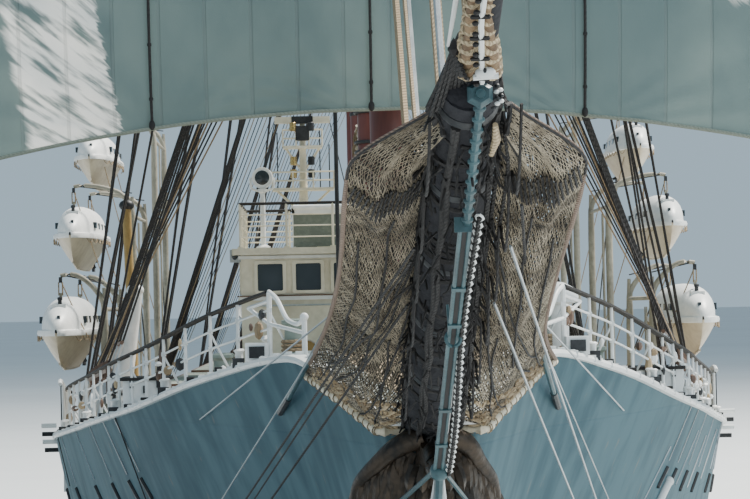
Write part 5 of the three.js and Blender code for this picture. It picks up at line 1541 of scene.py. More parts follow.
# Node, half-width, forward wall, after wall and roof of each house.
HOUSES = (
    ("forward_house", 4.5, 25.2, 34.8, BOAT_DECK), ("main_house", 4.5, 37.6, 53.4, BOAT_DECK),
    ("aft_house", 4.2, 56.8, 65.2, BOAT_DECK), ("poop_house", 2.6, 76.6, 80.4, 8.55),
)


@dataclass
class Deckhouses:
    """Dress and trim of the deckhouses: mouldings, doors, ports and what stands on their roofs."""

    def build(self) -> None:
        """One trim piece a house, then the furniture on the boat deck."""
        for name, half, start, end, roof in HOUSES:
            dress((name,), CREAM)
            foot = LINES.floor(start + 0.5) if name != "poop_house" else LINES.rim(78)
            form = Form(f"{name}_trim")
            for key, (wall, low, high) in walls_of(half, start, end).items():
                middle, width = (low + high) / 2, high - low
                for up, tall, off in ((foot + 0.1, 0.2, 0.02), (roof - 0.32, 0.08, 0.03),
                                      (foot + 0.95, 0.05, 0.015)):
                    form.blocks(wall.at(middle, up, off), (width + 0.04, 0.05, tall), 0, wall.axes)
                form.blocks(wall.at(middle, roof - 0.08, 0.215), (width + 0.46, 0.05, 0.2), 1, wall.axes)
                count = max(2, int(width / 2.2))
                doors = {count // 2} if width > 3 else set()
                for k in range(count):
                    across = low + (k + 0.5) * width / count
                    if k in doors and key != "front":
                        door(form, wall, across, foot + 0.12, (0, 1, 2), height=min(1.75, roof - foot - 0.45))
                    else:
                        window(form, wall, across, roof - 0.72, (0.22, 0.22), (2, 3), 0.22)
            form.blocks((0, (start + end) / 2, roof + 0.012),
                        (half * 2 + 0.36, end - start + 0.36, 0.02), 4)
            form.make([FITTING_WHITE, DARK_WOOD, BRASS, GLASS, DODGER], "ship", "cream_paint")
        self.boat_deck()

    def boat_deck(self) -> None:
        """Skylights, cowl vents, lockers and raft canisters on the houses' roofs."""
        form = Form("boat_deck_fittings")
        half, length, base = 1.1, 1.5, BOAT_DECK
        for s in (38.4, 47.5, 60.5):
            roof = np.array([[(-half, s + k * length, base + 0.5) for k in (-1, 1)],
                             [(0, s + k * length, base + 0.95) for k in (-1, 1)],
                             [(half, s + k * length, base + 0.5) for k in (-1, 1)]], dtype=float)
            form.blocks((0, s, base + 0.25), (2 * half - 0.1, 2 * length - 0.1, 0.5), 1)
            form.grid(roof, 1, flip=True)
            for end in (-1, 1):
                form.fan(roof[:, 0 if end < 0 else 1], 1, flip=end > 0)
            for k in range(4):
                for side in (-1, 1):
                    mid = np.array([side * half * 0.5, s + (k - 1.5) * 0.68, base + 0.735])
                    slope = unit(np.array([half, 0, -0.45]) * (side, 1, 1))
                    axes = np.array([slope, (0, 1, 0), np.cross(slope, (0, 1, 0))])
                    form.blocks(mid, (0.75, 0.5, 0.02), 2, axes)
        for x, s, tall in ((-3.2, 39.2, 1.5), (3.2, 39.2, 1.5), (-3.2, 50.5, 1.3), (3.2, 50.5, 1.3),
                           (-2.6, 63.5, 1.2), (2.6, 63.5, 1.2)):
            cowl(form, (x, s, BOAT_DECK), tall)
        for x, s in ((-2.4, 44.2), (2.4, 44.2), (-2.4, 58.4), (2.4, 58.4)):
            form.blocks((x, s, 7.5), (1.1, 2.0, 0.6), 0)
            form.blocks((x, s, 7.82), (1.2, 2.1, 0.06), 1)
            form.blocks([(x, s + k, 7.55) for k in (-0.5, 0.5)], (1.16, 0.06, 0.5), 3)
        for x in (-2.9, 2.9):
            for s in (46.5, 48.3):
                canister(form, (x, s, BOAT_DECK + 0.35))
        form.make([FITTING_WHITE, DARK_WOOD, GLASS, STEEL], "ship", "cream_paint")


def cowl(form: Form, foot: tuple[float, float, float], tall: float, radius: float = 0.24) -> None:
    """Cowl vent: a bent trumpet that opens forward, r(t) grows as it turns."""
    x, s, z = foot
    path = curve([(x, s, z), (x, s, z + tall * 0.55), (x, s - 0.06, z + tall * 0.8),
                  (x, s - 0.35, z + tall)], 14)
    grow = radius * graded(14, (0, 0.6, 0.85, 1), (0.75, 0.78, 1.1, 1.55))
    form.tube(path, grow, 16, caps=False)
    form.tube(path[::-1], grow[::-1] * 0.93, 16, caps=False)
    form.lathe((x, s, z), [(radius * 1.2, 0.0), (radius * 1.2, 0.06), (radius * 0.8, 0.1)], 0, 16)


def canister(form: Form, centre: tuple[float, float, float]) -> None:
    """Liferaft canister on a cradle: a ribbed drum with straps."""
    x, s, z = centre
    rows = [(0.0, -0.72), (0.26, -0.7), (0.33, -0.6), (0.34, -0.05), (0.37, -0.03), (0.37, 0.03),
            (0.34, 0.05), (0.33, 0.6), (0.26, 0.7), (0.0, 0.72)]
    form.lathe((x, s, z), rows, 0, 18, 1)
    form.blocks([(x, s - 0.35, z - 0.28), (x, s + 0.35, z - 0.28)], (0.7, 0.1, 0.22), 3)
    for k in (-0.3, 0.3):
        form.lathe((x, s + k, z), [(0.35, -0.03), (0.355, 0.03)], 3, 18, 1)


@dataclass
class Bridge:
    """Pilothouse dress, its roof rail and canvas dodger, searchlight and lamp mast."""

    half: float = 3.1
    start: float = 28.5
    end: float = 32.8
    foot: float = BOAT_DECK
    roof: float = 10.1
    doorway: float = 31.1

    def pilothouse(self) -> None:
        """Frames and panes in the cut windows, mouldings, panel seams, lamps and grab rails."""
        dress(("pilothouse",), CREAM)
        dress(("pilothouse_door_port", "pilothouse_door_starboard"), DARK_WOOD)
        form = Form("pilothouse_trim")
        centres = (-2.45, -1.6, -0.75, 0.75, 1.6, 2.45)
        for key, (wall, low, high) in walls_of(self.half, self.start, self.end).items():
            spots = centres if key in ("front", "back") else (29.3, 30.4)
            for across in spots:
                window(form, wall, across, 9.45, (0.285, 0.3), (4, 3), 0.045, sunk=0.05)
            middle, width = (low + high) / 2, high - low
            for up, tall, off, slot in ((self.foot + 0.1, 0.18, 0.02, 0), (8.99, 0.1, 0.045, 0),
                                        (9.04, 0.03, 0.07, 1), (self.roof - 0.2, 0.07, 0.03, 0),
                                        (self.roof - 0.07, 0.15, 0.165, 4)):
                if key in ("port", "starboard") and up < 9.2:
                    form.blocks(wall.at((self.start + self.doorway) / 2, up, off),
                                (self.doorway - self.start, 0.05, tall), slot, wall.axes)
                else:
                    form.blocks(wall.at(middle, up, off), (width + 0.06, 0.05, tall), slot, wall.axes)
            seams = spread(low, high, 7)[1:-1] if key in ("front", "back") else np.array([29.9])
            form.blocks(wall.at(seams, 8.15, 0.008), (0.035, 0.02, 1.55), 4, wall.axes)
        front = walls_of(self.half, self.start, self.end)["front"][0]
        form.rods(front.at(-2.9, 8.82, 0.12), front.at(2.9, 8.82, 0.12), 0.022, 6, 5)
        form.rods(front.at(spread(-2.9, 2.9, 7), 8.82, 0.0),
                  front.at(spread(-2.9, 2.9, 7), 8.82, 0.12), 0.018, 5, 5)
        for side in (1, -1):
            form.blocks((side * (self.half + 0.1), self.start + 0.4, 9.95), (0.3, 0.5, 0.28), 5)
            form.ball((side * (self.half + 0.14), self.start + 0.2, 9.95), (0.09, 0.09, 0.11), 3, 8, 12)
        form.make([FITTING_WHITE, DARK_WOOD, BRASS, GLASS, CREAM, STEEL], "ship", "cream_paint")

    def roof_rail(self) -> None:
        """Rail round the roof: dark top rail, three bars, posts on pads, and a boarding ladder."""
        form = Form("roof_rail_made")
        h, a, b, z = self.half, self.start, self.end, self.roof
        corners = [(-h, a), (h, a), (h, b), (-h, b)]
        for (x0, s0), (x1, s1) in zip(corners, corners[1:] + corners[:1]):
            start, end = np.array([x0, s0, z]), np.array([x1, s1, z])
            form.rods(start + (0, 0, 1.0), end + (0, 0, 1.0), 0.034, 8, 1)
            form.rods([start + (0, 0, lift) for lift in (0.25, 0.5, 0.75)],
                      [end + (0, 0, lift) for lift in (0.25, 0.5, 0.75)], 0.018, 6, 0)
            count = max(3, int(np.linalg.norm(end - start) / 0.95))
            posts = start + (end - start) * spread(0, 1, count + 1)[:-1, None]
            form.rods(posts, posts + (0, 0, 1.0), 0.032, 6, 0)
            form.blocks(posts + (0, 0, 0.02), (0.13, 0.13, 0.04), 0)
        for side in (-1, 1):
            x = side * 0.22 + 1.9
            form.rods((x, b + 0.12, self.foot + 0.05), (x, b + 0.05, z + 0.95), 0.025, 6, 0)
        rungs = spread(7.4, z + 0.1, 10)
        form.rods(merged(1.68, b + 0.1, rungs), merged(2.12, b + 0.1, rungs), 0.02, 5, 0)
        form.make([CREAM, CAP_WOOD], "ship", "cream_paint", ("roof_rail",))

    def dodger(self) -> None:
        """Canvas round the open bridge: laced panels that sag between their posts, a white top strip."""
        form = Form("bridge_dodger")
        x0, x1, s0, s1, low, high = -1.92, 1.92, 29.18, 30.92, self.roof + 0.04, self.roof + 0.92
        corners = [(x0, s0), (x1, s0), (x1, s1), (x0, s1), (x0, s0)]
        path, run, length = [], [], 0.0
        for (xa, sa), (xb, sb) in zip(corners[:-1], corners[1:]):
            steps = 20 if abs(xb - xa) > 1 else 10
            for t in spread(0, 1, steps + 1)[:-1]:
                path.append((xa + (xb - xa) * t, sa + (sb - sa) * t))
                run.append(length + math.hypot(xb - xa, sb - sa) * t)
            length += math.hypot(xb - xa, sb - sa)
        path, run = np.array(path), np.array(run)
        inward = unit(path.mean(axis=0) - path)
        v = spread(0, 1, 9)
        sag = 0.045 * np.abs(np.sin(run[:, None] * math.pi / 0.96)) * np.sin(v * math.pi)[None]
        rows = np.zeros((len(path), 9, 3))
        rows[..., :2] = path[:, None] + inward[:, None] * sag[..., None]
        rows[..., 2] = low + (high - low) * v
        form.grid(rows, 0, close_u=True, uv=merged(run[:, None], v))
        cloth = form.make([DODGER], "ship", "canvas", ("upper_bridge",))
        top = Form("bridge_fittings")
        for (xa, sa), (xb, sb) in zip(corners[:-1], corners[1:]):
            top.rods((xa, sa, high), (xb, sb, high), 0.06, 8, 0)
            top.blocks(((xa + xb) / 2, (sa + sb) / 2, high - 0.08),
                       (abs(xb - xa) + 0.06, abs(sb - sa) + 0.06, 0.12), 0)
        posts = np.array([(x, s, self.roof) for x in spread(x0, x1, 5) for s in (s0 + 0.05, s1 - 0.05)])
        top.rods(posts, posts + (0, 0, 0.9), 0.03, 6, 0)
        top.lathe((0.0, 30.1, self.roof), [(0.22, 0), (0.2, 0.9), (0.28, 0.95), (0.28, 1.02), (0.18, 1.2),
                                           (0.0, 1.25)], 1, 20)
        top.blocks([(-1.1, 29.7, self.roof + 0.5), (1.1, 29.7, self.roof + 0.5)], (0.6, 0.5, 1.0), 2)
        top.make([FITTING_WHITE, BRASS, CREAM], "ship", "cream_paint")

    def searchlight(self) -> None:
        """Drum lamp with a ribbed back and a glass face, in a yoke on a pillar."""
        form = Form("searchlight_made")
        x, s, z = -2.6, 29.0, self.roof + 1.6
        form.lathe((x, s, self.roof), [(0.16, 0), (0.16, 0.05), (0.06, 0.1), (0.055, 1.25), (0.1, 1.29),
                                       (0.1, 1.35)], 0, 14)
        yoke = [(x - 0.27, s, z), (x - 0.25, s, z - 0.22), (x, s, z - 0.3), (x + 0.25, s, z - 0.22),
                (x + 0.27, s, z)]
        form.tube(curve(yoke, 14), 0.03, 6, 0)
        drum = [(0.205, -0.14), (0.23, -0.15), (0.235, -0.1), (0.225, -0.08), (0.22, 0.1), (0.17, 0.2),
                (0.08, 0.24), (0.0, 0.25)]
        form.lathe((x, s, z), drum, 0, 24, 1)
        form.lathe((x, s, z), [(0.0, -0.175), (0.1, -0.17), (0.155, -0.155), (0.17, -0.13)], 1, 24, 1)
        for k in range(3):
            form.lathe((x, s + 0.06 * k, z), [(0.225, -0.01), (0.24, 0.0), (0.225, 0.01)], 0, 24, 1)
        form.make([FITTING_WHITE, GLASS], "ship", "dark_metal", ("searchlight",))

    def lamp_mast(self) -> None:
        """Pole mast with platforms, scanner bar, lamps, whips and signal halyards."""
        form = Form("lamp_mast_made")
        x, s = -1.7, 31.5
        form.tube([(x, s, self.roof), (x, s, 11.5), (x, s, 13.2)], [0.13, 0.1, 0.06], 12, 0)
        for z, half, deep in ((11.54, 0.72, 0.3), (12.53, 0.46, 0.2)):
            form.blocks((x, s, z), (half * 2, deep * 2, 0.06), 0)
            form.rods([(x - half, s - deep, z + lift) for lift in (0.2, 0.4)],
                      [(x + half, s - deep, z + lift) for lift in (0.2, 0.4)], 0.02, 5, 0)
            ends = np.array([(x + k * half, s - deep, z) for k in (-1, -0.33, 0.33, 1)])
            form.rods(ends, ends + (0, 0, 0.42), 0.02, 5, 0)
            form.rods([(x - half * 0.9, s, z), (x + half * 0.9, s, z)], [(x, s, z - 0.6)] * 2, 0.03, 5, 0)
        form.blocks((x, s, 13.17), (1.3, 0.2, 0.15), 0)
        form.blocks((x, s - 0.02, 13.17), (0.5, 0.2, 0.17), 2)
        form.blocks((x, s - 0.1, 12.85), (0.32, 0.3, 0.34), 2)
        for z in (11.9, 12.2, 13.0):
            for dx, slot in ((0.2, 2), (-0.22, 3)):
                form.lathe((x + dx, s - 0.22, z),
                           [(0.07, -0.1), (0.08, -0.09), (0.08, 0.09), (0.07, 0.1)], slot, 12)
        for dx, top in ((-0.6, 12.9), (0.62, 12.6), (0.4, 13.0)):
            form.rods((x + dx, s + 0.2, 11.56), (x + dx, s + 0.2, top), 0.015, 5, 2)
        for side in (-1, 1):
            form.rods((x + side * 0.65, s, 13.1), (x + side * 1.3, s - 0.3, self.roof + 0.1), 0.012, 4, 2)
        form.make([CREAM, DARK_WOOD, IRON, BRASS], "ship", "cream_paint", ("radar_mast",))

    def build(self) -> None:
        """Every piece of the bridge."""
        self.roof_rail()
        self.pilothouse()
        self.dodger()
        self.searchlight()
        self.lamp_mast()


# Tier, station, distance from the middle line and gunwale height of each pair of boats.
BOATS = (("low", 33.0, 7.35, 8.3), ("middle", 42.0, 7.9, 10.8), ("high", 51.0, 8.2, 13.4))
POST_X = 6.35


@dataclass
class Boats:
    """Six covered lifeboats and the davits that hold them."""

    half: float = 3.5
    beam: float = 0.59
    keel: float = 0.88
    dome: float = 0.80

    def boat(self, name: str, x: float, s: float, z: float, side: float) -> None:
        """One boat: shell, gunwale and canopy as sections along it, then hatches, lines and gear.

        Over a from -1 to 1 along the boat, width w = beam * (1 - |a|^2.6)^0.5, canopy height
        t = dome * (1 - |a|^2.8)^0.5, depth d = keel * (0.25 + 0.75 * (1 - |a|^3.2)^0.6) * (1 - |a|^14).
        """
        form = Form(f"{name}_made")
        a = np.sin(spread(-math.pi / 2, math.pi / 2, 33))
        a = np.clip(a, -0.9995, 0.9995)
        wide = self.beam * (1 - np.abs(a) ** 2.6) ** 0.5
        deep = self.keel * (0.25 + 0.75 * (1 - np.abs(a) ** 3.2) ** 0.6) * (1 - np.abs(a) ** 14)
        tall = self.dome * (1 - np.abs(a) ** 2.8) ** 0.5

        def part(turn: np.ndarray, out: np.ndarray, up: np.ndarray, slot: int, flip: bool) -> None:
            """Surface whose sections stand out by a share of the width and up from the gunwale."""
            rows = np.zeros((len(a), len(turn), 3))
            rows[..., 0] = x + wide[:, None] * out
            rows[..., 1] = s + a[:, None] * self.half
            rows[..., 2] = z + up
            form.grid(rows, slot, flip=flip)

        turn = spread(-1, 1, 19)
        hull_up = -deep[:, None] * (1 - np.abs(turn[None]) ** 1.2) ** 0.92
        part(turn, turn[None], hull_up, 1, False)
        arch = spread(0, math.pi, 17)
        part(arch, np.cos(arch)[None] * 0.94, 0.05 + tall[:, None] * np.sin(arch)[None] ** 0.75, 0, False)
        for sign in (-1, 1):
            lip = np.array([(0.96, -0.07), (1.12, -0.06), (1.16, 0.0), (1.12, 0.06), (0.92, 0.08)])
            part(lip, sign * lip[None, :, 0], lip[None, :, 1] + 0 * wide[:, None], 0, sign < 0)
        for at in (-0.72, 0.72):
            width = self.beam * (1 - abs(at) ** 2.6) ** 0.5
            form.rods((x, s + at * self.half, z + self.dome * 0.7),
                      (x, s + at * self.half, z + self.dome * 0.98), 0.05, 6, 3)
            form.lathe((x, s + at * self.half, z + self.dome * 0.98),
                       [(0.0, 0.05), (0.06, 0.03), (0.06, -0.03)], 3, 10)
            form.blocks((x, s + at * self.half, z + self.dome * 0.74), (width * 0.7, 0.5, 0.12), 0)
        for k in (-1, 1):
            end = s + k * self.half * 0.93
            form.blocks((x - side * 0.05, end, z + 0.3), (0.07, 0.16, 0.2), 2)
        for sign in (-1, 1):
            for at in (-0.5, -0.25, 0.0, 0.25, 0.5):
                form.blocks((x + sign * self.beam * 0.86, s + at * self.half, z + 0.3),
                            (0.08, 0.34, 0.16), 2)
            line = []
            for k in range(12):
                start = -0.85 + k * 1.7 / 12
                t = spread(0, 1, 5)[:-1]
                at = start + t * 1.7 / 12
                w = self.beam * (1 - np.abs(at) ** 2.6) ** 0.5
                line.append(merged(x + sign * w * 1.13, s + at * self.half,
                                   z - 0.07 - 0.12 * 4 * t * (1 - t)))
            form.tube(np.vstack(line), 0.011, 4, 4)
        stern = s + self.half
        form.blocks((x, stern - 0.42, z - 0.62), (0.06, 0.42, 0.5), 3)
        form.rods((x, stern - 0.9, z - 0.6), (x, stern - 0.62, z - 0.62), 0.035, 6, 3)
        for k in range(4):
            angle = k * math.pi / 2 + 0.4
            blade = np.array([math.cos(angle), 0, math.sin(angle)])
            form.blocks(np.array([x, stern - 0.68, z - 0.62]) + blade * 0.09, (0.16, 0.03, 0.08), 3,
                        np.array([blade, (0, 1, 0), np.cross(blade, (0, 1, 0))]))
        form.tube([(x, s + k * self.half, z - self.keel * d) for k,
                   d in ((-0.8, 0.8), (-0.5, 0.97), (0, 0.99), (0.5, 0.97), (0.8, 0.8))], 0.03, 6, 1)
        form.make([BAND_WHITE, BOAT_TAN, GLASS, IRON, TAN_ROPE], "ship", "hull_paint", (name,), 42)

    def davits(self, name: str, side: float) -> None:
        """Posts, goosenecks, falls with blocks, tie bars, stays and ladder rungs of one side."""
        form = Form(f"davits_{name}_made")
        for _, s, out, z in BOATS:
            head = z + 0.82 + 0.5
            for at in (s - 2.3, s + 2.3):
                foot = LINES.rim(at) + 0.1
                x = side * POST_X
                neck = curve([(x, at, head - 1.5), (x, at, head - 0.75),
                              (side * (POST_X + 0.35), at, head - 0.18),
                              (side * (out - 0.25), at, head + 0.03), (side * out, at, head)], 18)
                form.tube(np.vstack([[(x, at, foot)], neck]), graded(19, (0, 0.5, 1), (0.1, 0.07, 0.05)),
                          10, 0)
                form.blocks((x, at, foot + 0.05), (0.45, 0.45, 0.1), 0)
                form.blocks((x, at, foot + 0.3), (0.06, 0.4, 0.45), 0)
                tip, hook = np.array([side * out, at, head]), np.array([side * out, at, z + 0.8 * 0.95])
                form.blocks(tip - (0, 0, 0.1), (0.07, 0.12, 0.13), 1)
                form.blocks(hook + (0, 0, 0.1), (0.06, 0.1, 0.12), 0)
                for d in (-0.04, 0.04):
                    form.rods(tip + (d, d, -0.15), hook + (d, d, 0.1), 0.016, 4, 2)
                form.rods(tip + (0, 0, 0.02), (x, at, head - 0.2), 0.016, 4, 1)
                form.rods((x, at, head - 0.3), (x - side * 0.02, at, head - 0.75), 0.05, 6, 0)
                form.tube(sagging(tip - (0, 0, 0.1), (x - side * 0.15, at + 0.08, foot + 1.3), 0.12,
                                  7), 0.014, 4, 2)
            top = head - 0.8
            form.rods((side * POST_X, s - 2.3, top), (side * POST_X, s + 2.3, top), 0.05, 8, 0)
            form.rods([(side * POST_X, s - 2.3, top - 0.1)] * 2,
                      [(side * POST_X, s + 2.3, foot + 1.6), (side * POST_X, s - 2.3, foot + 1.0)], 0.02, 5,
                      1)
            foot = LINES.rim(s) + 0.1
            count = int((head - foot - 1.2) / 0.35)
            rungs = foot + 0.5 + 0.35 * np.arange(count)
            for shift in (-0.16, 0.16):
                form.rods((side * (POST_X - 0.16), s - 2.3 + shift, foot + 0.3),
                          (side * (POST_X - 0.16), s - 2.3 + shift, head - 1.0), 0.018, 5, 0)
            form.rods(merged(side * (POST_X - 0.16), s - 2.46, rungs),
                      merged(side * (POST_X - 0.16), s - 2.14, rungs), 0.014, 4, 0)
        for a, b in ((35.3, 39.7), (44.3, 48.7)):
            za, zb = LINES.rim(a) + 1.0, LINES.rim(b) + 1.0
            form.rods((side * POST_X, a, za), (side * POST_X, b, zb), 0.055, 8, 0)
        form.make([DAVIT_CREAM_IN_SHADE, IRON, TAN_ROPE], "ship", "cream_paint", (f"davits_{name}",))

    def build(self) -> None:
        """Boats and davits on both sides."""
        for name, side in SIDES:
            self.davits(name, side)
            for tier, s, out, z in BOATS:
                self.boat(f"lifeboat_{tier}_{name}", side * out, s, z, side)


# Deck gear, anchors, steering gear.


@dataclass
class Foredeck:
    """Windlass with its chains, anchors at the bow, bitts, vents, lockers and coils."""

    station: float = 8.2

    def windlass(self) -> None:
        """Bed, side frames, barrel with whelps, chain wheels, brake bands, warping ends and gear wheel."""
        form = Form("windlass_made")
        floor = LINES.rim(7.6) + 0.003
        form.blocks((0, self.station, floor + 0.06), (2.6, 1.2, 0.12), 0)
        for dx in (-1.2, -0.4, 0.4, 1.2):
            form.blocks((dx, self.station, floor + 0.15), (0.14, 1.16, 0.16), 0)
        for dx in (-0.85, 0.85):
            arch = spread(0, math.pi, 15)
            rim = merged(dx, self.station + 0.4 * np.cos(arch), floor + 0.6 + 0.4 * np.sin(arch))
            rim = np.vstack([[(dx, self.station + 0.42, floor + 0.2)], rim,
                             [(dx, self.station - 0.42, floor + 0.2)]])
            wide = np.array([0.08, 0, 0])
            form.grid(np.stack([rim - wide, rim + wide]), 0, flip=True)
            form.fan(rim - wide, 0, flip=True)
            form.fan(rim + wide, 0)
            form.lathe((dx, self.station, floor + 0.75),
                       [(0.15, -0.1), (0.17, -0.08), (0.17, 0.08), (0.15, 0.1)], 1, 20, 0)
        profile = [(0.0, -1.1), (0.2, -1.1), (0.22, -1.06), (0.13, -1.0), (0.13, -0.8), (0.13, -0.7),
                   (0.3, -0.68), (0.3, -0.62), (0.18, -0.58), (0.18, -0.48), (0.28, -0.44), (0.28, -0.4),
                   (0.14, -0.36)]
        profile += [(radius, -at) for radius, at in reversed(profile)]
        form.lathe((0, self.station, floor + 0.75), profile, 0, 28, 0)
        angle = turns(32)
        cog = merged(0, 0.3 * np.cos(angle), 0.3 * np.sin(angle))
        form.rods(np.array([-0.08, self.station, floor + 0.75]) + 0.93 * cog,
                  np.array([0.08, self.station, floor + 0.75]) + 0.93 * cog, 0.028, 5, 1)
        form.lathe((0, self.station, floor + 0.75),
                   [(0.05, -0.06), (0.27, -0.06), (0.27, 0.06), (0.05, 0.06)], 1, 28, 0)
        for dx in (-0.53, 0.53):
            path = curve([(dx, self.station - 0.2, floor + 0.92), (dx, 7.7, floor + 0.55),
                          (dx, 7.62, floor + 0.16)], 12)
            chain(form, path, 0.2, (2, 2))
            form.lathe((dx, 7.62, floor + 0.03),
                       [(0.16, -0.02), (0.17, 0.1), (0.12, 0.13), (0.09, 0.02)], 1, 16)
        for dx in (-0.65, 0.65):
            form.rods((dx, self.station + 0.35, floor + 0.2),
                      (dx, self.station + 0.3, floor + 0.92), 0.025, 6, 1)
            form.lathe((dx, self.station + 0.3, floor + 0.94), [(0.11, -0.015), (0.125, 0.0), (0.11, 0.015),
                                                                (0.09, 0.0), (0.11, -0.015)], 1, 18)
        form.make([DECK_GREEN, IRON, STEEL], "ship", "dark_metal", ("windlass",))

    def anchor(self, name: str, side: float) -> None:
        """Stockless anchor: shank, shackle, crown and two broad flukes laid against the bow."""
        form = Form(f"anchor_{name}_made")
        shift = np.array([side * 0.3, -0.16, 0.0])
        top, crown = LINES.side(9, 5.0, side) + shift, LINES.side(9, 3.4, side) + shift
        form.tube(np.stack([top + (crown - top) * share for share in (0, 0.06, 0.5, 0.92, 1.0)]),
                  np.array([0.07, 0.1, 0.105, 0.13, 0.14]), 10, 0, squash=0.8)
        form.lathe(top + (0, 0, 0.02), [(0.06, -0.03), (0.1, -0.02), (0.1, 0.02), (0.06, 0.03)], 1, 14, 1)
        form.ball(crown, (0.17, 0.2, 0.15), 0, 10, 16)
        for ahead in (0.7, -0.7):
            tip = crown + (side * (0.1 if ahead > 0 else 0.05), ahead, 0.3)
            path = curve([crown, crown * 0.45 + tip * 0.55 - (0, 0, 0.05), tip], 10)
            form.tube(path, graded(10, (0, 0.4, 0.7, 1), (0.14, 0.13, 0.12, 0.05)), 10, 0,
                      squash=0.75)
            form.blocks(tip * 0.7 + crown * 0.3 + (0, 0, 0.03), (0.09, 0.3, 0.16), 0)
        hawse = LINES.side(9, 5.22, side, 0.03)
        form.ball(hawse, (0.12, 0.26, 0.24), 1, 10, 16)
        form.rods(hawse, top, 0.06, 8, 1)
        form.make([IRON, STEEL], "ship", "dark_metal", (f"anchor_{name}",))

    def cowl(self, form: Form, x: float, s: float, height: float, radius: float = 0.14) -> None:
        """Ventilator: stem with a collar and a bent mouth that looks forward."""
        foot = LINES.floor(s)
        bend = curve([(x, s, foot), (x, s, foot + height * 0.6), (x, s - 0.05, foot + height * 0.9),
                      (x, s - 0.3 - radius, foot + height)], 18)
        form.tube(bend, radius * graded(18, (0, 0.6, 0.85, 1), (0.7, 0.7, 1.0, 1.35)), 16, 0,
                  caps=False)
        form.tube(bend[-1:] + [(0, 0, 0), (0, -0.03, 0)], radius * np.array([1.35, 1.4]), 16, 0,
                  caps=False)
        form.lathe(bend[-1] + (0, 0.12, 0),
                   [(0.0, 0.0), (radius * 1.1, 0.0), (radius * 1.25, -0.06)], 4, 16, 1)
        form.lathe((x, s, foot), [(radius * 1.05, 0.0), (radius * 1.05, 0.03), (radius * 0.75, 0.06)], 0, 16)

    def bitts(self, form: Form, x: float, s: float) -> None:
        """Pair of mooring posts on one bed, with turns of rope."""
        foot = LINES.floor(s)
        form.blocks((x, s, foot + 0.05), (0.34, 1.15, 0.1), 2)
        for at in (s - 0.36, s + 0.36):
            form.lathe((x, at, foot + 0.1),
                       [(0.14, 0.0), (0.12, 0.06), (0.12, 0.42), (0.16, 0.46), (0.16, 0.5),
                        (0.1, 0.52)], 2, 16)
            for turn in range(3):
                angle = spread(0, 2 * math.pi, 15)
                loop = merged(x + 0.145 * np.cos(angle), at + 0.145 * np.sin(angle),
                              foot + 0.2 + 0.055 * turn + 0.004 * angle)
                form.tube(loop, 0.026, 6, 3)

    def coil(self, form: Form, x: float, s: float, radius: float = 0.3) -> None:
        """Rope coil laid flat on the deck."""
        angle = spread(0, 2 * math.pi * 6, 90)
        foot = LINES.floor(s)
        loop = merged(x + (radius - 0.012 * (angle % 4)) * np.cos(angle),
                      s + (radius - 0.012 * (angle % 4)) * np.sin(angle), foot + 0.03 + 0.007 * angle)
        form.tube(loop, 0.024, 5, 3)

    def fittings(self) -> None:
        """Everything that stands loose on the foredeck and along the rail's end."""
        form = Form("foredeck_gear")
        for _, side in SIDES:
            for x, s, height in ((1.5, 11.4, 0.9), (3.2, 19.6, 0.9)):
                self.cowl(form, side * x, s, height)
            for x, s in ((1.6, 4.9), (2.7, 8.6), (4.2, 14.2), (5.4, 20.4)):
                self.bitts(form, side * x, s)
            for x, s in ((1.0, 6.3), (3.0, 10.6), (4.4, 16.6), (4.9, 18.8), (5.6, 22.4)):
                self.coil(form, side * x, s)
            for x, s, size in ((4.05, 12.0, (0.7, 1.0, 0.55)), (4.8, 17.4, (0.6, 1.3, 0.6)),
                               (2.1, 11.4, (0.8, 0.7, 0.45))):
                self.locker(form, side * x, s, size)
            self.bulwark_end(form, side)
        self.dome_vent(form, 1.95, 6.0)
        low, high = np.array([-5.16, 20.0, 6.5]), np.array([-4.82, 20.0, 9.15])
        form.tube(np.linspace(low, high, 6), 0.15, 14, 0)
        form.ball(high, (0.17, 0.17, 0.12), 0, 8, 14)
        form.rods(low + (0.05, 0, 0.5), low + (0.3, 0.8, -0.2), 0.05, 8, 0)
        form.tube([(-5.16, 24.4, 5.6), (-5.3, 24.4, 10.9)], 0.095, 10, 4)
        form.ball((-5.3, 24.4, 10.95), (0.16, 0.13, 0.12), 1, 8, 10)
        form.tube([(-0.94, 24.8, 6.3), (-0.94, 24.8, 13.6)], 0.045, 8, 1)
        form.make([FITTING_WHITE, IRON, DECK_GREEN, TAN_ROPE, OCHRE, BRASS, CAP_WOOD], "ship", "cream_paint")

    def locker(self, form: Form, x: float, s: float, size: tuple[float, float, float]) -> None:
        """Deck locker: panelled box with an overhanging lid, hinges and a hasp."""
        foot = LINES.floor(s)
        wide, deep, tall = size
        form.blocks((x, s, foot + tall / 2), size, 0)
        form.blocks((x, s, foot + tall + 0.025), (wide + 0.08, deep + 0.08, 0.05), 6)
        form.blocks([(x - wide * 0.3, s - deep / 2 - 0.02, foot + tall * 0.9),
                     (x + wide * 0.3, s - deep / 2 - 0.02, foot + tall * 0.9),
                     (x, s - deep / 2 - 0.02, foot + tall * 0.75)], (0.06, 0.03, 0.12), 1)

    def dome_vent(self, form: Form, x: float, s: float) -> None:
        """Mushroom vent on a white trunk, with a hydrant beside it."""
        foot = LINES.floor(s)
        form.lathe((x, s, foot), [(0.26, 0.0), (0.26, 0.04), (0.17, 0.08), (0.17, 0.86), (0.3, 0.9),
                                  (0.31, 0.98), (0.24, 1.1), (0.1, 1.17), (0.0, 1.18)], 0, 20)
        form.lathe((x - 0.5, s, foot), [(0.08, 0.0), (0.05, 0.05), (0.05, 0.42), (0.09, 0.45), (0.09, 0.56),
                                        (0.04, 0.6)], 5, 12)
        form.rods((x - 0.62, s, foot + 0.5), (x - 0.38, s, foot + 0.5), 0.045, 8, 5)

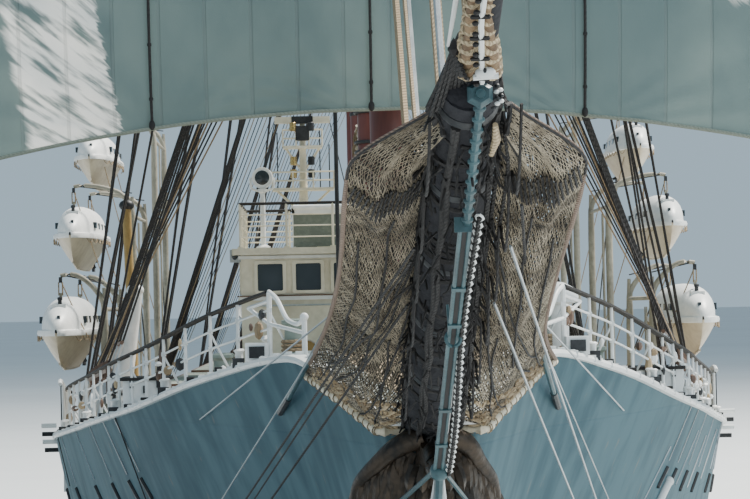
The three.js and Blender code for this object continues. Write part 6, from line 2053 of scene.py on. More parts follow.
    def bulwark_end(self, form: Form, side: float) -> None:
        """White plate with rounded stiffeners where the open rail ends and the waist begins."""
        s = spread(21.6, 24.2, 12)
        foot = LINES.edge(s, 0.09) * mirrored(side)
        rise = (1.0 + 0.12 * np.sin(spread(0, math.pi, 12)))[:, None] * np.array([0, 0, 1.0])
        for off in (0.0, 0.03):
            shift = np.array([side * -off, 0, 0])
            form.grid(np.stack([foot + shift, foot + shift + rise]), 0, flip=(side > 0) == (off > 0))
        form.tube(foot + rise, 0.04, 8, 0)
        form.rods(foot[::3] - (side * 0.05, 0, 0), (foot + rise * 0.95)[::3]
                  - (side * 0.05, 0, 0), 0.03, 6, 0)

    def build(self) -> None:
        """Make the foredeck's pieces."""
        self.windlass()
        for name, side in SIDES:
            self.anchor(name, side)
        self.fittings()


@dataclass
class Poop:
    """Steering gear, propeller, rafts and mooring gear on the after decks."""

    wheel: tuple[float, float, float] = (0.0, 81.6, 7.45)
    rim: float = 0.75
    stock: float = 85.2
    shaft: float = -3.4

    def rudder(self) -> None:
        """Streamlined blade with plates, pintles and stock."""
        form = Form("rudder_made")
        z = spread(-6.19, -0.66, 12)
        shares = np.array([0.0, 0.06, 0.2, 0.45, 0.75, 1.0])
        thick = np.array([0.04, 0.1, 0.12, 0.11, 0.07, 0.012])
        loop = np.concatenate([shares, shares[::-1]])
        half = np.concatenate([thick, -thick[::-1]])
        aft = 87.2 - 0.35 * np.abs((z + 3.4) / 2.8) ** 4
        rows = merged(half, 84.72 + (aft[:, None] - 84.72) * loop, z[:, None])
        form.grid(rows, 0, close_v=True)
        form.fan(rows[0], 0)
        form.fan(rows[-1], 0, flip=True)
        form.tube([(0, self.stock, -6.24), (0, self.stock, 0.04)], 0.16, 18, 0)
        for at in (-5.6, -3.5, -1.4):
            form.tube([(0, self.stock, at - 0.12), (0, self.stock, at + 0.12)], 0.155, 18, 1)
            form.blocks((0, 85.7, at), (0.26, 0.9, 0.08), 1)
        form.make([UNDERWATER, IRON], "rudder", "hull_paint", ("rudder",))

    def propeller(self) -> None:
        """Four raked blades with twist on a boss with a cone."""
        form = Form("propeller_made")
        form.lathe((0, 82.42, self.shaft), [(0.0, 0.0), (0.26, 0.0), (0.28, 0.1), (0.27, 0.6), (0.24, 0.9),
                                            (0.18, 1.3), (0.1, 1.62), (0.0, 1.68)], 0, 28, 1)
        radius = spread(0.2, 1.35, 12)
        chord = 0.31 * np.sin(math.pi * np.clip((radius / 1.35) ** 0.8 * 0.86 + 0.12, 0, 1)) ** 0.6
        pitch = np.arctan2(0.55, radius) + 0.35
        lanes = spread(-1, 1, 9)
        for turn in turns(4) + 0.4:
            out = np.array([math.cos(turn), 0, math.sin(turn)])
            along = np.array([-math.sin(turn), 0, math.cos(turn)])
            for face, flip in ((1, False), (-1, True)):
                thick = face * 0.035 * (1 - lanes ** 2) * (1.1 - radius / 1.5)[:, None]
                across = chord[:, None] * lanes
                axial = across * np.sin(pitch)[:, None] + thick * np.cos(pitch)[:, None]
                round_ = across * np.cos(pitch)[:, None] - thick * np.sin(pitch)[:, None]
                points = (np.array([0, 83.4, self.shaft]) + radius[:, None, None] * out
                          + round_[..., None] * along + axial[..., None] * np.array([0, 1.0, 0]))
                form.grid(points, 0, flip=flip)
        form.make([PROPELLER_BRONZE], "propeller", "propeller_bronze", ("propeller",))

    def steering(self) -> None:
        """Wooden wheel: felloes, rim rings, turned spokes with handles and a brass boss."""
        form = Form("steering_wheel_made")
        middle = np.array(self.wheel)
        angle = spread(0, 2 * math.pi, 49)
        circle = merged(np.cos(angle), 0, np.sin(angle))
        form.tube(middle + self.rim * circle, 0.046, 10, 0)
        for off in (-0.045, 0.045):
            form.tube(middle + self.rim * circle + (0, off, 0), 0.012, 6, 1)
        reach = np.array([0.1, 0.2, 0.35, 0.5, 0.68, 0.76, 0.8, 0.86, 0.91, 0.93])
        thick = np.array([0.026, 0.02, 0.03, 0.02, 0.026, 0.03, 0.016, 0.026, 0.022, 0.012])
        for angle in turns(8):
            out = np.array([math.cos(angle), 0, math.sin(angle)])
            form.tube(middle + reach[:, None] * out, thick, 8, 0)
        form.lathe(middle, [(0.0, -0.1), (0.07, -0.1), (0.12, -0.05), (0.12, 0.05), (0.07, 0.1),
                            (0.0, 0.1)], 1, 20, 1)
        form.make([DARK_WOOD, BRASS], "steering_wheel", "oiled_wood", ("steering_wheel",))

    def fittings(self) -> None:
        """Stand, compass, raft canisters, bitts, coils, vents and a locker."""
        form = Form("poop_gear")
        foredeck = Foredeck()
        middle = np.array(self.wheel)
        foot = LINES.floor(82.2)
        form.lathe((0, middle[1] + 0.5, foot),
                   [(0.3, 0.0), (0.3, 0.06), (0.2, 0.12), (0.17, 0.8), (0.22, 0.9), (0.16, 1.0)], 6, 18)
        form.rods(middle + (0, 0.12, 0), middle + (0, 0.5, 0), 0.045, 10, 5)
        form.ball(middle + (0, 0.5, 0), (0.15, 0.2, 0.16), 6, 10, 16)
        form.lathe((0, 80.95, foot), [(0.24, 0.0), (0.2, 0.06), (0.16, 0.8), (0.2, 0.86), (0.2, 0.95)], 6, 16)
        form.ball((0, 80.95, foot + 0.98), (0.19, 0.19, 0.17), 5, 10, 16)
        for _, side in SIDES:
            form.ball((side * 0.32, 80.95, foot + 0.75), (0.1, 0.1, 0.1), 1, 8, 12)
            for s in (72.4, 86.6, 89.6):
                foredeck.bitts(form, side * (LINES.breadth(s) - 0.9), s)
            for s in (28.0, 56.0, 70.4, 84.0):
                foredeck.coil(form, side * (LINES.breadth(s) - 1.2), s)
            for k in range(3):
                self.canister(form, side * 3.9, 68.6 + 1.5 * k)
            foredeck.cowl(form, side * 2.2, 83.6, 1.0)
        foredeck.locker(form, 0.0, 87.4, (1.6, 0.9, 0.55))
        form.make([FITTING_WHITE, IRON, DECK_GREEN, TAN_ROPE, OCHRE, BRASS, DARK_WOOD], "ship", "cream_paint")

    def canister(self, form: Form, x: float, s: float) -> None:
        """Life-raft canister in its cradle, with bands."""
        foot = LINES.floor(s)
        form.lathe((x, s, foot + 0.42),
                   [(0.0, -0.62), (0.22, -0.6), (0.28, -0.5), (0.28, -0.03), (0.31, -0.02), (0.31, 0.02),
                    (0.28, 0.03), (0.28, 0.5), (0.22, 0.6), (0.0, 0.62)], 0, 20, 1)
        for at in (-0.35, 0.35):
            form.lathe((x, s + at, foot + 0.42),
                       [(0.28, -0.03), (0.29, -0.02), (0.29, 0.02), (0.28, 0.03)], 1, 20, 1)
            form.blocks((x, s + at, foot + 0.09), (0.5, 0.08, 0.18), 1)

    def build(self) -> None:
        """Make the after pieces."""
        self.rudder()
        self.propeller()
        self.steering()
        self.fittings()


# Masts, standing rigging, yards and sails.


@dataclass(frozen=True)
class Mast:
    """One raked mast: where it stands, its rake in degrees and the heights that matter on it."""

    name: str
    s: float
    rake: float
    foot: float
    top: float
    cross: float
    truck: float

    def at(self, x: np.ndarray | float, ahead: np.ndarray | float, z: np.ndarray | float) -> np.ndarray:
        """Point by its height z along the mast, its distance ahead of it and x across."""
        x, ahead, z = np.broadcast_arrays(np.asarray(x, float), np.asarray(ahead, float),
                                          np.asarray(z, float))
        lean, rise = math.radians(self.rake), z - self.foot
        return merged(x, self.s - ahead * math.cos(lean) + rise * math.sin(lean),
                      self.foot + rise * math.cos(lean) + ahead * math.sin(lean))

    def ring(self, radius: float, z: float) -> np.ndarray:
        """Circle about the mast at a height, closed."""
        angle = spread(0, 2 * math.pi, 25)
        return self.at(radius * np.cos(angle), radius * np.sin(angle), z)

    def radius(self, z: np.ndarray | float) -> np.ndarray:
        """Radius of the mast at a height."""
        return np.interp(z, (self.top + 0.59, self.top + 0.6, self.cross + 0.29, self.cross + 0.3,
                             self.truck), (0.35, 0.26, 0.26, 0.18, 0.09))


MASTS = (
    Mast("foremast", 17.0, 2.0, 6.7217, 21.4, 32.0, 46.0),
    Mast("mainmast", 36.0, 2.5, 4.5595, 22.5, 36.0, 47.5),
    Mast("mizzenmast", 55.0, 3.0, 4.305, 22.5, 36.0, 46.5),
    Mast("jiggermast", 73.5, 3.5, 5.9276, 21.0, 33.0, 43.0),
)
FORE, MAIN, MIZZEN, JIGGER = MASTS


@dataclass
class Spars:
    """The four masts with tops, crosstrees, bands, ladders, lamps and the stays fused to each."""

    def mast(self, mast: Mast) -> Form:
        """Lower mast, topmast and pole with their fittings."""
        form = Form(f"{mast.name}_made")
        z = np.array([mast.foot, mast.top + 0.58, mast.top + 0.6, mast.cross + 0.29,
                      mast.cross + 0.3, mast.truck])
        radii = np.array([0.35, 0.345, 0.26, 0.25, 0.18, 0.09])
        for low, high in ((0, 1), (2, 3), (4, 5)):
            steps = spread(z[low], z[high], 24)
            form.tube(mast.at(0, 0, steps), np.interp(steps, z[[low, high]], radii[[low, high]]), 24, 0)
        for at, thick in ((mast.foot + 0.06, 0.12), (mast.foot + 2.2, 0.05), (mast.top - 0.5, 0.08),
                          (mast.top + 0.55, 0.14), (mast.cross - 0.4, 0.06), (mast.cross + 0.28, 0.1)):
            radius = float(mast.radius(at - 0.1))
            form.tube(mast.at(0, 0, np.array([at - thick, at - thick * 0.8, at + thick * 0.8, at + thick])),
                      radius + np.array([0.0, 0.045, 0.045, 0.0]), 24, 1)
        for k in range(4):
            at = mast.foot + 4.0 + k * 3.4
            form.tube(mast.at(0, 0, np.array([at - 0.06, at - 0.05, at + 0.05, at + 0.06])),
                      0.35 + np.array([0.0, 0.02, 0.02, 0.0]), 24, 1)
        self.top(form, mast)
        rungs = np.arange(mast.foot + 1.0, mast.truck - 1.5, 0.4)
        reach = mast.radius(rungs) + 0.14
        form.rods(mast.at(-0.14, -reach, rungs), mast.at(0.14, -reach, rungs), 0.014, 4, 1)
        for dx in (-0.14, 0.14):
            form.tube(mast.at(dx, -reach, rungs), 0.012, 4, 1)
        form.ball(mast.at(0, 0, mast.truck), (0.15, 0.15, 0.09), 2, 8, 16)
        form.lathe(mast.at(0, float(mast.radius(mast.cross - 3)) + 0.16, mast.cross - 3.0),
                   [(0.07, -0.12), (0.1, -0.1), (0.1, 0.1), (0.07, 0.12)], 2, 12)
        return form

    def top(self, form: Form, mast: Mast) -> None:
        """Round-fronted platform with a grating, its brackets and rail, and the crosstrees above."""
        angle = turns(32)
        across = 1.15 * np.cos(angle)
        ahead = np.where(np.sin(angle) > 0, 0.75, 0.62) * np.sin(angle)
        rim = mast.at(across, ahead, mast.top + 0.1)
        low = mast.at(across, ahead, mast.top + 0.02)
        form.grid(np.stack([low, rim]), 0, close_v=True, flip=True)
        form.fan(rim, 3)
        form.fan(low, 0, flip=True)
        for k in range(-4, 5):
            length = 0.55 * math.sqrt(1 - (k * 0.11) ** 2)
            form.rods(mast.at(k * 0.24, -length, mast.top + 0.12),
                      mast.at(k * 0.24, length, mast.top + 0.12), 0.02, 4, 1)
        for dx in (-0.32, 0.32):
            form.rods(mast.at(dx, -0.8, mast.top - 0.04), mast.at(dx, 0.85, mast.top - 0.04), 0.07, 4, 0)
            form.rods(mast.at(dx * 2.6, 0, mast.top), mast.at(dx, 0, mast.top - 0.9), 0.05, 5, 1)
        guard = angle[(np.sin(angle) < 0.35)]
        back = mast.at(1.1 * np.cos(guard), 0.6 * np.sin(guard), mast.top + 0.95)
        order = np.argsort(-np.cos(guard))
        form.tube(back[order], 0.022, 5, 1)
        form.rods(back[::3] - (0, 0, 0.85), back[::3], 0.018, 4, 1)
        for dx in (-1, 1):
            form.rods(mast.at(0, -0.16, mast.cross), mast.at(dx * 1.15, -0.5, mast.cross + 0.05),
                      0.045, 6, 0, 0.03)
            form.rods(mast.at(dx * 0.28, -0.5, mast.cross),
                      mast.at(dx * 0.28, 0.45, mast.cross), 0.05, 4, 0)
        form.lathe(mast.at(0, 0, mast.cross), [(0.42, 0.0), (0.45, 0.03), (0.45, 0.08), (0.4, 0.11)], 0, 20)

    def fore_stays(self, form: Form) -> None:
        """Stays to the bowsprit, with hanks and the halyards and downhauls beside them."""
        seats = ((21.2, -1.5, 0.36), (31.7, -6.0, 0.33), (38.2, -10.0, 0.38), (43.5, -17.8, 0.14))
        for z, s, over in seats:
            start, end = FORE.at(0, 0.2, z), sprit(s, over)
            form.rods(start, end, 0.032, 6, 3)
        for z, x, s, over, thick in ((20.8, -0.2, -1.2, 0.3, 0.05), (20.6, -0.08, -2.2, 0.3, 0.03),
                                     (31.6, -0.07, -5.8, 0.3, 0.02), (31.6, 0.07, -5.8, 0.3, 0.02),
                                     (38.1, -0.07, -9.8, 0.3, 0.02), (43.4, 0.07, -17.5, 0.12, 0.02)):
            foot = sprit(s, over) + (x * 0.55, 0, 0)
            form.tube(sagging(FORE.at(x, 0.3, z), foot, 0.06, 6), thick, 5, 4)

    def build(self) -> None:
        """Every mast, with its own forward stays."""
        finishes = [MAST_BROWN_AND_SHADE, IRON, BAND_WHITE, STEEL, TAN_ROPE]
        for mast, ahead in zip(MASTS, (None, *MASTS[:-1])):
            form = self.mast(mast)
            if ahead is None:
                self.fore_stays(form)
            else:
                for high, low in ((mast.top + 0.3, ahead.top + 0.4), (mast.cross - 0.3, ahead.top + 1.4),
                                  (mast.truck - 3, ahead.cross - 1.2)):
                    end = ahead.at(0, -float(ahead.radius(low)) - 0.03, low)
                    form.rods(mast.at(0, 0.1, high), end, 0.03, 6, 3)
                    t = spread(0.02, 0.97, 2)[:, None]
                    path = mast.at(-0.1, 0.2, high - 0.4) * (1 - t) + (end + (-0.1, 0.1, -0.25)) * t
                    form.tube(sagging(path[0], path[1], 0.15, 8), 0.016, 4, 4)
            form.make(finishes, "ship", "mast_paint", (mast.name,))


@dataclass
class Shrouds:
    """Standing rigging of each mast and side: shrouds, ratlines, backstays, screws and pin rails."""

    inset: float = 0.46
    low: tuple[float, ...] = (0.7, 1.35, 2.0, 2.65, 3.3, 3.95)
    ratline: float = 0.5

    def foot(self, s: np.ndarray | float, side: float) -> np.ndarray:
        """Foot of a shroud at the deck's edge."""
        s = np.atleast_1d(s)
        return merged(side * (LINES.half(s) - self.inset), s, LINES.deck(s) + 0.12)

    def fan(self, mast: Mast, name: str, side: float) -> None:
        """One side of one mast."""
        form = Form(f"{mast.name}_shrouds_{name}_made")
        feet = self.foot(mast.s + np.array(self.low), side)
        head = mast.at(side * 0.4, 0, mast.top - 0.3 + 0.05 * np.arange(len(self.low)))
        form.rods(feet, head, 0.022 if mast is FORE else 0.036, 6, 0)
        for a, b in zip(feet, head):
            along = unit(b - a)
            form.tube([a, a + along * 0.12, a + along * 0.2, a + along * 0.8, a + along * 0.88,
                       a + along * 1.5], [0.03, 0.03, 0.05, 0.05, 0.03, 0.03], 8, 1)
            form.tube([b - along * 1.2, b], 0.04, 6, 0)
        rows = np.arange(2.1, float(mast.top - mast.foot) - 1.2, self.ratline)
        share = rows / (mast.top - mast.foot)
        for k in range(len(self.low) - 1):
            a = feet[k] + (head[k] - feet[k]) * share[:, None]
            b = feet[k + 1] + (head[k + 1] - feet[k + 1]) * share[:, None]
            form.rods(a, b, 0.008, 4, 0)
        a, b = feet[0] + (head[0] - feet[0]) * 0.1, feet[-1] + (head[-1] - feet[-1]) * 0.1
        form.rods(a - (0, 0.15, 0), b + (0, 0.15, 0), 0.04, 5, 2)
        backs = ((4.6, mast.cross - 0.3), (5.1, mast.cross - 0.3), (5.6, mast.truck - 3.0),
                 (6.1, mast.truck - 1.0))
        if mast is FORE:
            backs += ((6.9, mast.cross + 1.0), (7.7, mast.cross - 0.3), (8.5, mast.truck - 3.0),
                      (9.4, mast.truck - 1.0))
        for aft, high in backs:
            start = self.foot(mast.s + aft, side)[0]
            end = mast.at(side * (float(mast.radius(high)) + 0.03), 0, high)
            form.rods(start, end, 0.026 if mast is FORE else 0.034, 5, 0)
            along = unit(end - start)
            form.tube([start, start + along * 0.2, start + along * 0.8, start + along],
                      [0.03, 0.045, 0.045, 0.03], 8, 1)
        base = mast.at(side * np.array([1.12, 1.0, 0.85]), -np.array([-0.1, 0.25, 0.5]), mast.top + 0.1)
        peak = mast.at(side * 0.28, 0, mast.cross - 0.5 + np.array([0.0, 0.06, 0.12]))
        form.rods(base, peak, 0.024, 5, 0)
        futtock = mast.at(side * 0.4, 0, np.full(3, mast.top - 1.5))
        form.rods(base - (0, 0, 0.06), futtock, 0.022, 5, 0)
        rows = spread(0.1, 0.86, int((mast.cross - mast.top) * 0.76 / self.ratline))
        for k in range(2):
            form.rods(base[k] + (peak[k] - base[k]) * rows[:, None],
                      base[k + 1] + (peak[k + 1] - base[k + 1]) * rows[:, None], 0.011, 4, 0)
        self.pin_rail(form, mast, side)
        form.make([TARRED_ROPE_AND_NET_SHADE, STEEL, DARK_WOOD, TAN_ROPE, BRASS], "ship", "dark_rope",
                  (f"{mast.name}_shrouds_{name}",))

    def pin_rail(self, form: Form, mast: Mast, side: float) -> None:
        """Wooden rail inboard of the shrouds with belaying pins and coils of line."""
        s = mast.s + spread(0.6, 5.6, 11)
        rail = self.foot(s, side) + (-side * 0.22, 0, 0.95)
        form.tube(rail, 0.06, 6, 2)
        form.rods(rail[::5] - (0, 0, 0.95), rail[::5], 0.05, 6, 2)
        pins = self.foot(mast.s + spread(0.8, 5.4, 16), side) + (-side * 0.22, 0, 0.95)
        form.rods(pins - (0, 0, 0.16), pins + (0, 0, 0.17), 0.018, 6, 2, 0.024)
        for k, pin in enumerate(pins[::2]):
            for turn in range(4):
                wide, tall = 0.07 + 0.012 * turn, 0.28 + 0.05 * ((k + turn) % 3)
                loop = [pin + (-side * (0.05 + 0.012 * turn), wide * math.sin(a),
                               -tall / 2 + tall / 2 * math.cos(a)) for a in spread(0, 2 * math.pi, 11)]
                form.tube(loop, 0.014, 4, 3, caps=False)
            high = mast.at(side * 0.3, 0.2, mast.top - 1.5 - 0.4 * k)
            form.rods(pin + (0, 0, 0.05), high, 0.02 if mast is FORE else 0.012, 4, 3 if k % 3 == 1 else 0)

    def build(self) -> None:
        """All eight fans."""
        for mast in MASTS:
            for name, side in SIDES:
                self.fan(mast, name, side)


@dataclass(frozen=True)
class SquareSail:
    """Sizes of one yard and the sail set under it."""

    name: str
    z: float
    half: float
    radius: float
    head: float
    foot: float
    drop: float
    cut: float
    belly: float

    def width(self, v: np.ndarray | float) -> np.ndarray | float:
        """Half-width of the sail at a share of its drop."""
        return self.head + (self.foot - self.head) * v


SQUARE_SAILS = (
    SquareSail("course", 19.6, 14.0, 0.22, 13.2, 12.5, 9.7, 2.47, 1.0),
    SquareSail("topsail", 30.0, 12.0, 0.18, 11.2, 12.8, 9.4, 0.9, 1.1),
    SquareSail("topgallant", 36.2, 9.2, 0.15, 8.5, 10.9, 5.4, 0.6, 0.8),
    SquareSail("royal", 41.6, 6.6, 0.12, 6.0, 8.5, 4.7, 0.9, 0.6),
)
# Distance of the yards ahead of the mast, share of the drop at the reef points, x of the buntlines.
TRUSS = 1.0
REEF = 0.2
BUNTLINES = (-4.16, -0.33, 3.4)


@dataclass
class SquareRig:
    """Yards and set sails of the foremast, which turn together, and the braces that hold them."""

    def cloth(self, sail: SquareSail, u: np.ndarray, v: np.ndarray, off: float = 0.0) -> np.ndarray:
        """Point of a set sail: straight head, arched foot, a belly, and wrinkles that fan from each line.

        Args:
            u: Across, from -1 to 1.
            v: Down, from 0 at the yard to 1 at the foot.
            off: Distance ahead of the cloth.

        Returns:
            Points with the shape of u and v.
        """
        u, v = np.broadcast_arrays(np.asarray(u, float), np.asarray(v, float))
        width = sail.width(v)
        x = u * width
        z = sail.z - sail.radius - sail.drop * v + sail.cut * (1 - u * u) * v * v
        spare = 1 - 0.9 * u ** 4
        belly = sail.belly * np.sin(math.pi * np.minimum(1, 0.12 + 0.8 * v)) * spare
        base = sail.belly * math.sin(0.12 * math.pi) * spare
        ahead = TRUSS + belly - base * (1 - v)
        ripple = np.zeros_like(u)
        for line in BUNTLINES:
            dx, dz = x - line, (1 - v) * sail.drop + 0.35
            angle, reach = np.arctan2(dx, dz), np.hypot(dx, dz)
            ripple += 0.034 * np.sin(angle * 24 + line) * np.exp(-reach / 2.6)
            ripple -= 0.07 * np.exp(-(dx / 0.16) ** 2) * v ** 1.5
        for corner in (-1, 1):
            angle = np.arctan2(np.abs(x - corner * width), (1 - v) * sail.drop + 0.02)
            reach = np.hypot(x - corner * width, (1 - v) * sail.drop)
            ripple += 0.05 * np.sin(angle * 26) * np.exp(-reach / 3.2) * np.minimum(1, reach * 2)
        fold = 1 / (1 + np.exp((x + 4.85) / 0.06))
        ripple += fold * (0.16 + 0.05 * np.sin(x * 5.3 + z * 1.7) + 0.04 * np.sin(z * 6.1 + x * 2.2)
                          + 0.03 * np.sin(x * 13 - z * 4)) * np.sin(math.pi * v) ** 0.5 * (np.abs(u) < 0.995)
        ahead = ahead + ripple * np.minimum(1, v * 9) + off
        return FORE.at(x, ahead, z)

    def sail(self, sail: SquareSail) -> None:
        """The cloth as one sheet, and its ropes: bolt rope, buntlines with blocks, reef points, clews."""
        form = Form(f"sail_{sail.name}_made")
        nu, nv, finish = (230, 96, COURSE_CLOTH_IN_SHADE) if sail.name == "course" else (110, 44, SAILCLOTH_IN_SHADE)
        u, v = np.meshgrid(spread(-1, 1, nu), spread(0, 1, nv), indexing="ij")
        points = self.cloth(sail, u, v)
        form.grid(points, 0, uv=merged(u * sail.width(v) + 40, v * sail.drop))
        cloth = form.make([finish], "square_rig", "canvas", (f"sail_{sail.name}",), 60)
        ropes = Form(f"sail_{sail.name}_ropes")
        line = spread(-1, 1, 90)
        for row in (1, 0):
            ropes.tube(self.cloth(sail, line, row, 0.036), 0.036, 6, 0)
        for side in (-1, 1):
            ropes.tube(self.cloth(sail, side, spread(0, 1, 40), 0.036), 0.036, 6, 0)
            ropes.lathe(self.cloth(sail, side, 1),
                        [(0.13, -0.04), (0.19, -0.02), (0.19, 0.02), (0.13, 0.04)], 1, 14, 1)
        for x in BUNTLINES:
            v = spread(0, 0.985, 40)
            path = self.cloth(sail, x / sail.width(v), v, 0.045)
            ropes.tube(path, 0.028, 6, 1)
            for k in range(6, 40, 6):
                ropes.ball(path[k], (0.04, 0.035, 0.05), 1, 6, 8)
            ropes.ball(path[-1] + (0, -0.02, -0.02), (0.055, 0.05, 0.09), 1, 8, 10)
        for x in np.arange(-int(sail.head) + 0.7, sail.head - 0.4, 0.6):
            u = x / sail.width(0.02)
            ropes.rods(self.cloth(sail, u, 0.02, 0.03), self.cloth(sail, u, 0.0, 0.03)
                       + (0, 0, 0.22), 0.014, 4, 0)
        for x in np.arange(-int(sail.head) + 1.0, sail.head - 0.8, 0.9):
            start = self.cloth(sail, x / sail.width(REEF), REEF, 0.02)
            ropes.tube([start, start + (0.03, -0.04, -0.18), start + (-0.02, -0.02, -0.42)], 0.012, 4, 0)
        made = ropes.make([BOLT_ROPE, TARRED_ROPE_AND_NET_SHADE], "square_rig", "dark_rope")
        across = 2 * max(sail.head, sail.foot) * SCALE

    def yard(self, sail: SquareSail) -> None:
        """Tapered spar, bands, jackstay, footropes in loops with stirrups, truss and yardarm irons."""
        form = Form(f"yard_{sail.name}_made")
        x = spread(-sail.half, sail.half, 61)
        taper = sail.radius * (1 - 0.55 * np.abs(x / sail.half) ** 1.8)
        form.tube(FORE.at(x, TRUSS, sail.z), taper, 16, 0)
        rail = FORE.at(x[2:-2], TRUSS + 0.05, sail.z + taper[2:-2] + 0.07)
        form.tube(rail, 0.022, 5, 1)
        form.rods(rail[::2] - (0, 0, 0.1), rail[::2], 0.016, 4, 1)
        for at in (-0.97, -0.66, -0.33, 0.33, 0.66, 0.97):
            cx = at * sail.half
            r = float(np.interp(cx, x, taper))
            form.tube(FORE.at(np.array([cx - 0.07, cx - 0.06, cx + 0.06, cx + 0.07]), TRUSS, sail.z),
                      r + np.array([0.0, 0.03, 0.03, 0.0]), 16, 1)
        inner = float(FORE.radius(sail.z)) + 0.03
        for lift in (-0.13, 0.13):
            form.tube(FORE.ring(inner * 1.12, sail.z + lift), 0.055, 8, 1, caps=False)
        for lift in (-0.12, 0.12):
            form.rods(FORE.at(0, inner, sail.z + lift), FORE.at(0, TRUSS, sail.z), 0.06, 8, 1)
        for side in (-1, 1):
            stops = spread(0.5, sail.half * 0.98, 7)
            for a, b in zip(stops[:-1], stops[1:]):
                first = FORE.at(side * a, TRUSS - 0.3, sail.z - 0.75)
                last = FORE.at(side * b, TRUSS - 0.3, sail.z - 0.75)
                form.tube(sagging(first, last, 0.12, 6), 0.018, 4, 2)
                form.rods(FORE.at(side * b, TRUSS - 0.1, sail.z), last, 0.014, 4, 2)
            tip = FORE.at(side * sail.half, TRUSS, sail.z)
            form.ball(tip, (0.06, 0.08, 0.08), 1, 6, 10)
            form.blocks(FORE.at(side * sail.half * 0.96, TRUSS - 0.1, sail.z - 0.2), (0.1, 0.16, 0.22), 1)
            high = min(sail.z + 5.2, FORE.truck - 0.8)
            form.rods(FORE.at(side * (float(FORE.radius(high)) + 0.05), 0.25, high),
                      FORE.at(side * sail.half * 0.97, TRUSS, sail.z + 0.06), 0.018, 4, 2)
        form.make([SPAR_BROWN, IRON, TARRED_ROPE_AND_NET_SHADE], "square_rig", "mast_paint", (f"yard_{sail.name}",))

    def braces(self) -> None:
        """Braces from the yardarms aft to the mainmast."""
        form = Form("braces")
        for sail, high in zip(SQUARE_SAILS, (17.0, 24.5, 30.0, 34.5)):
            for side in (-1, 1):
                start = MAIN.at(side * (float(MAIN.radius(high)) + 0.04), 0.1, high)
                end = FORE.at(side * sail.half * 0.97, TRUSS - 0.15, sail.z - 0.1)
                form.tube(sagging(start, end, 0.35, 25), 0.018, 4, 0)
        a, b = at_ship(np.array([(0, 33.5, 20.0), (0, 18.5, 20.0)]))
        form.make([TAN_ROPE], None, "dark_rope", blend=("ship", "square_rig", tuple(a), tuple(b)))

    def build(self) -> None:
        """Yards, sails and braces."""
        for sail in SQUARE_SAILS:
            self.yard(sail)
            self.sail(sail)
        self.braces()


# Name, mast, height at the mast and length of each boom.
BOOMS = (("main", MAIN, 12.8, 15.2), ("mizzen", MIZZEN, 12.2, 15.0), ("jigger", JIGGER, 11.4, 19.0))


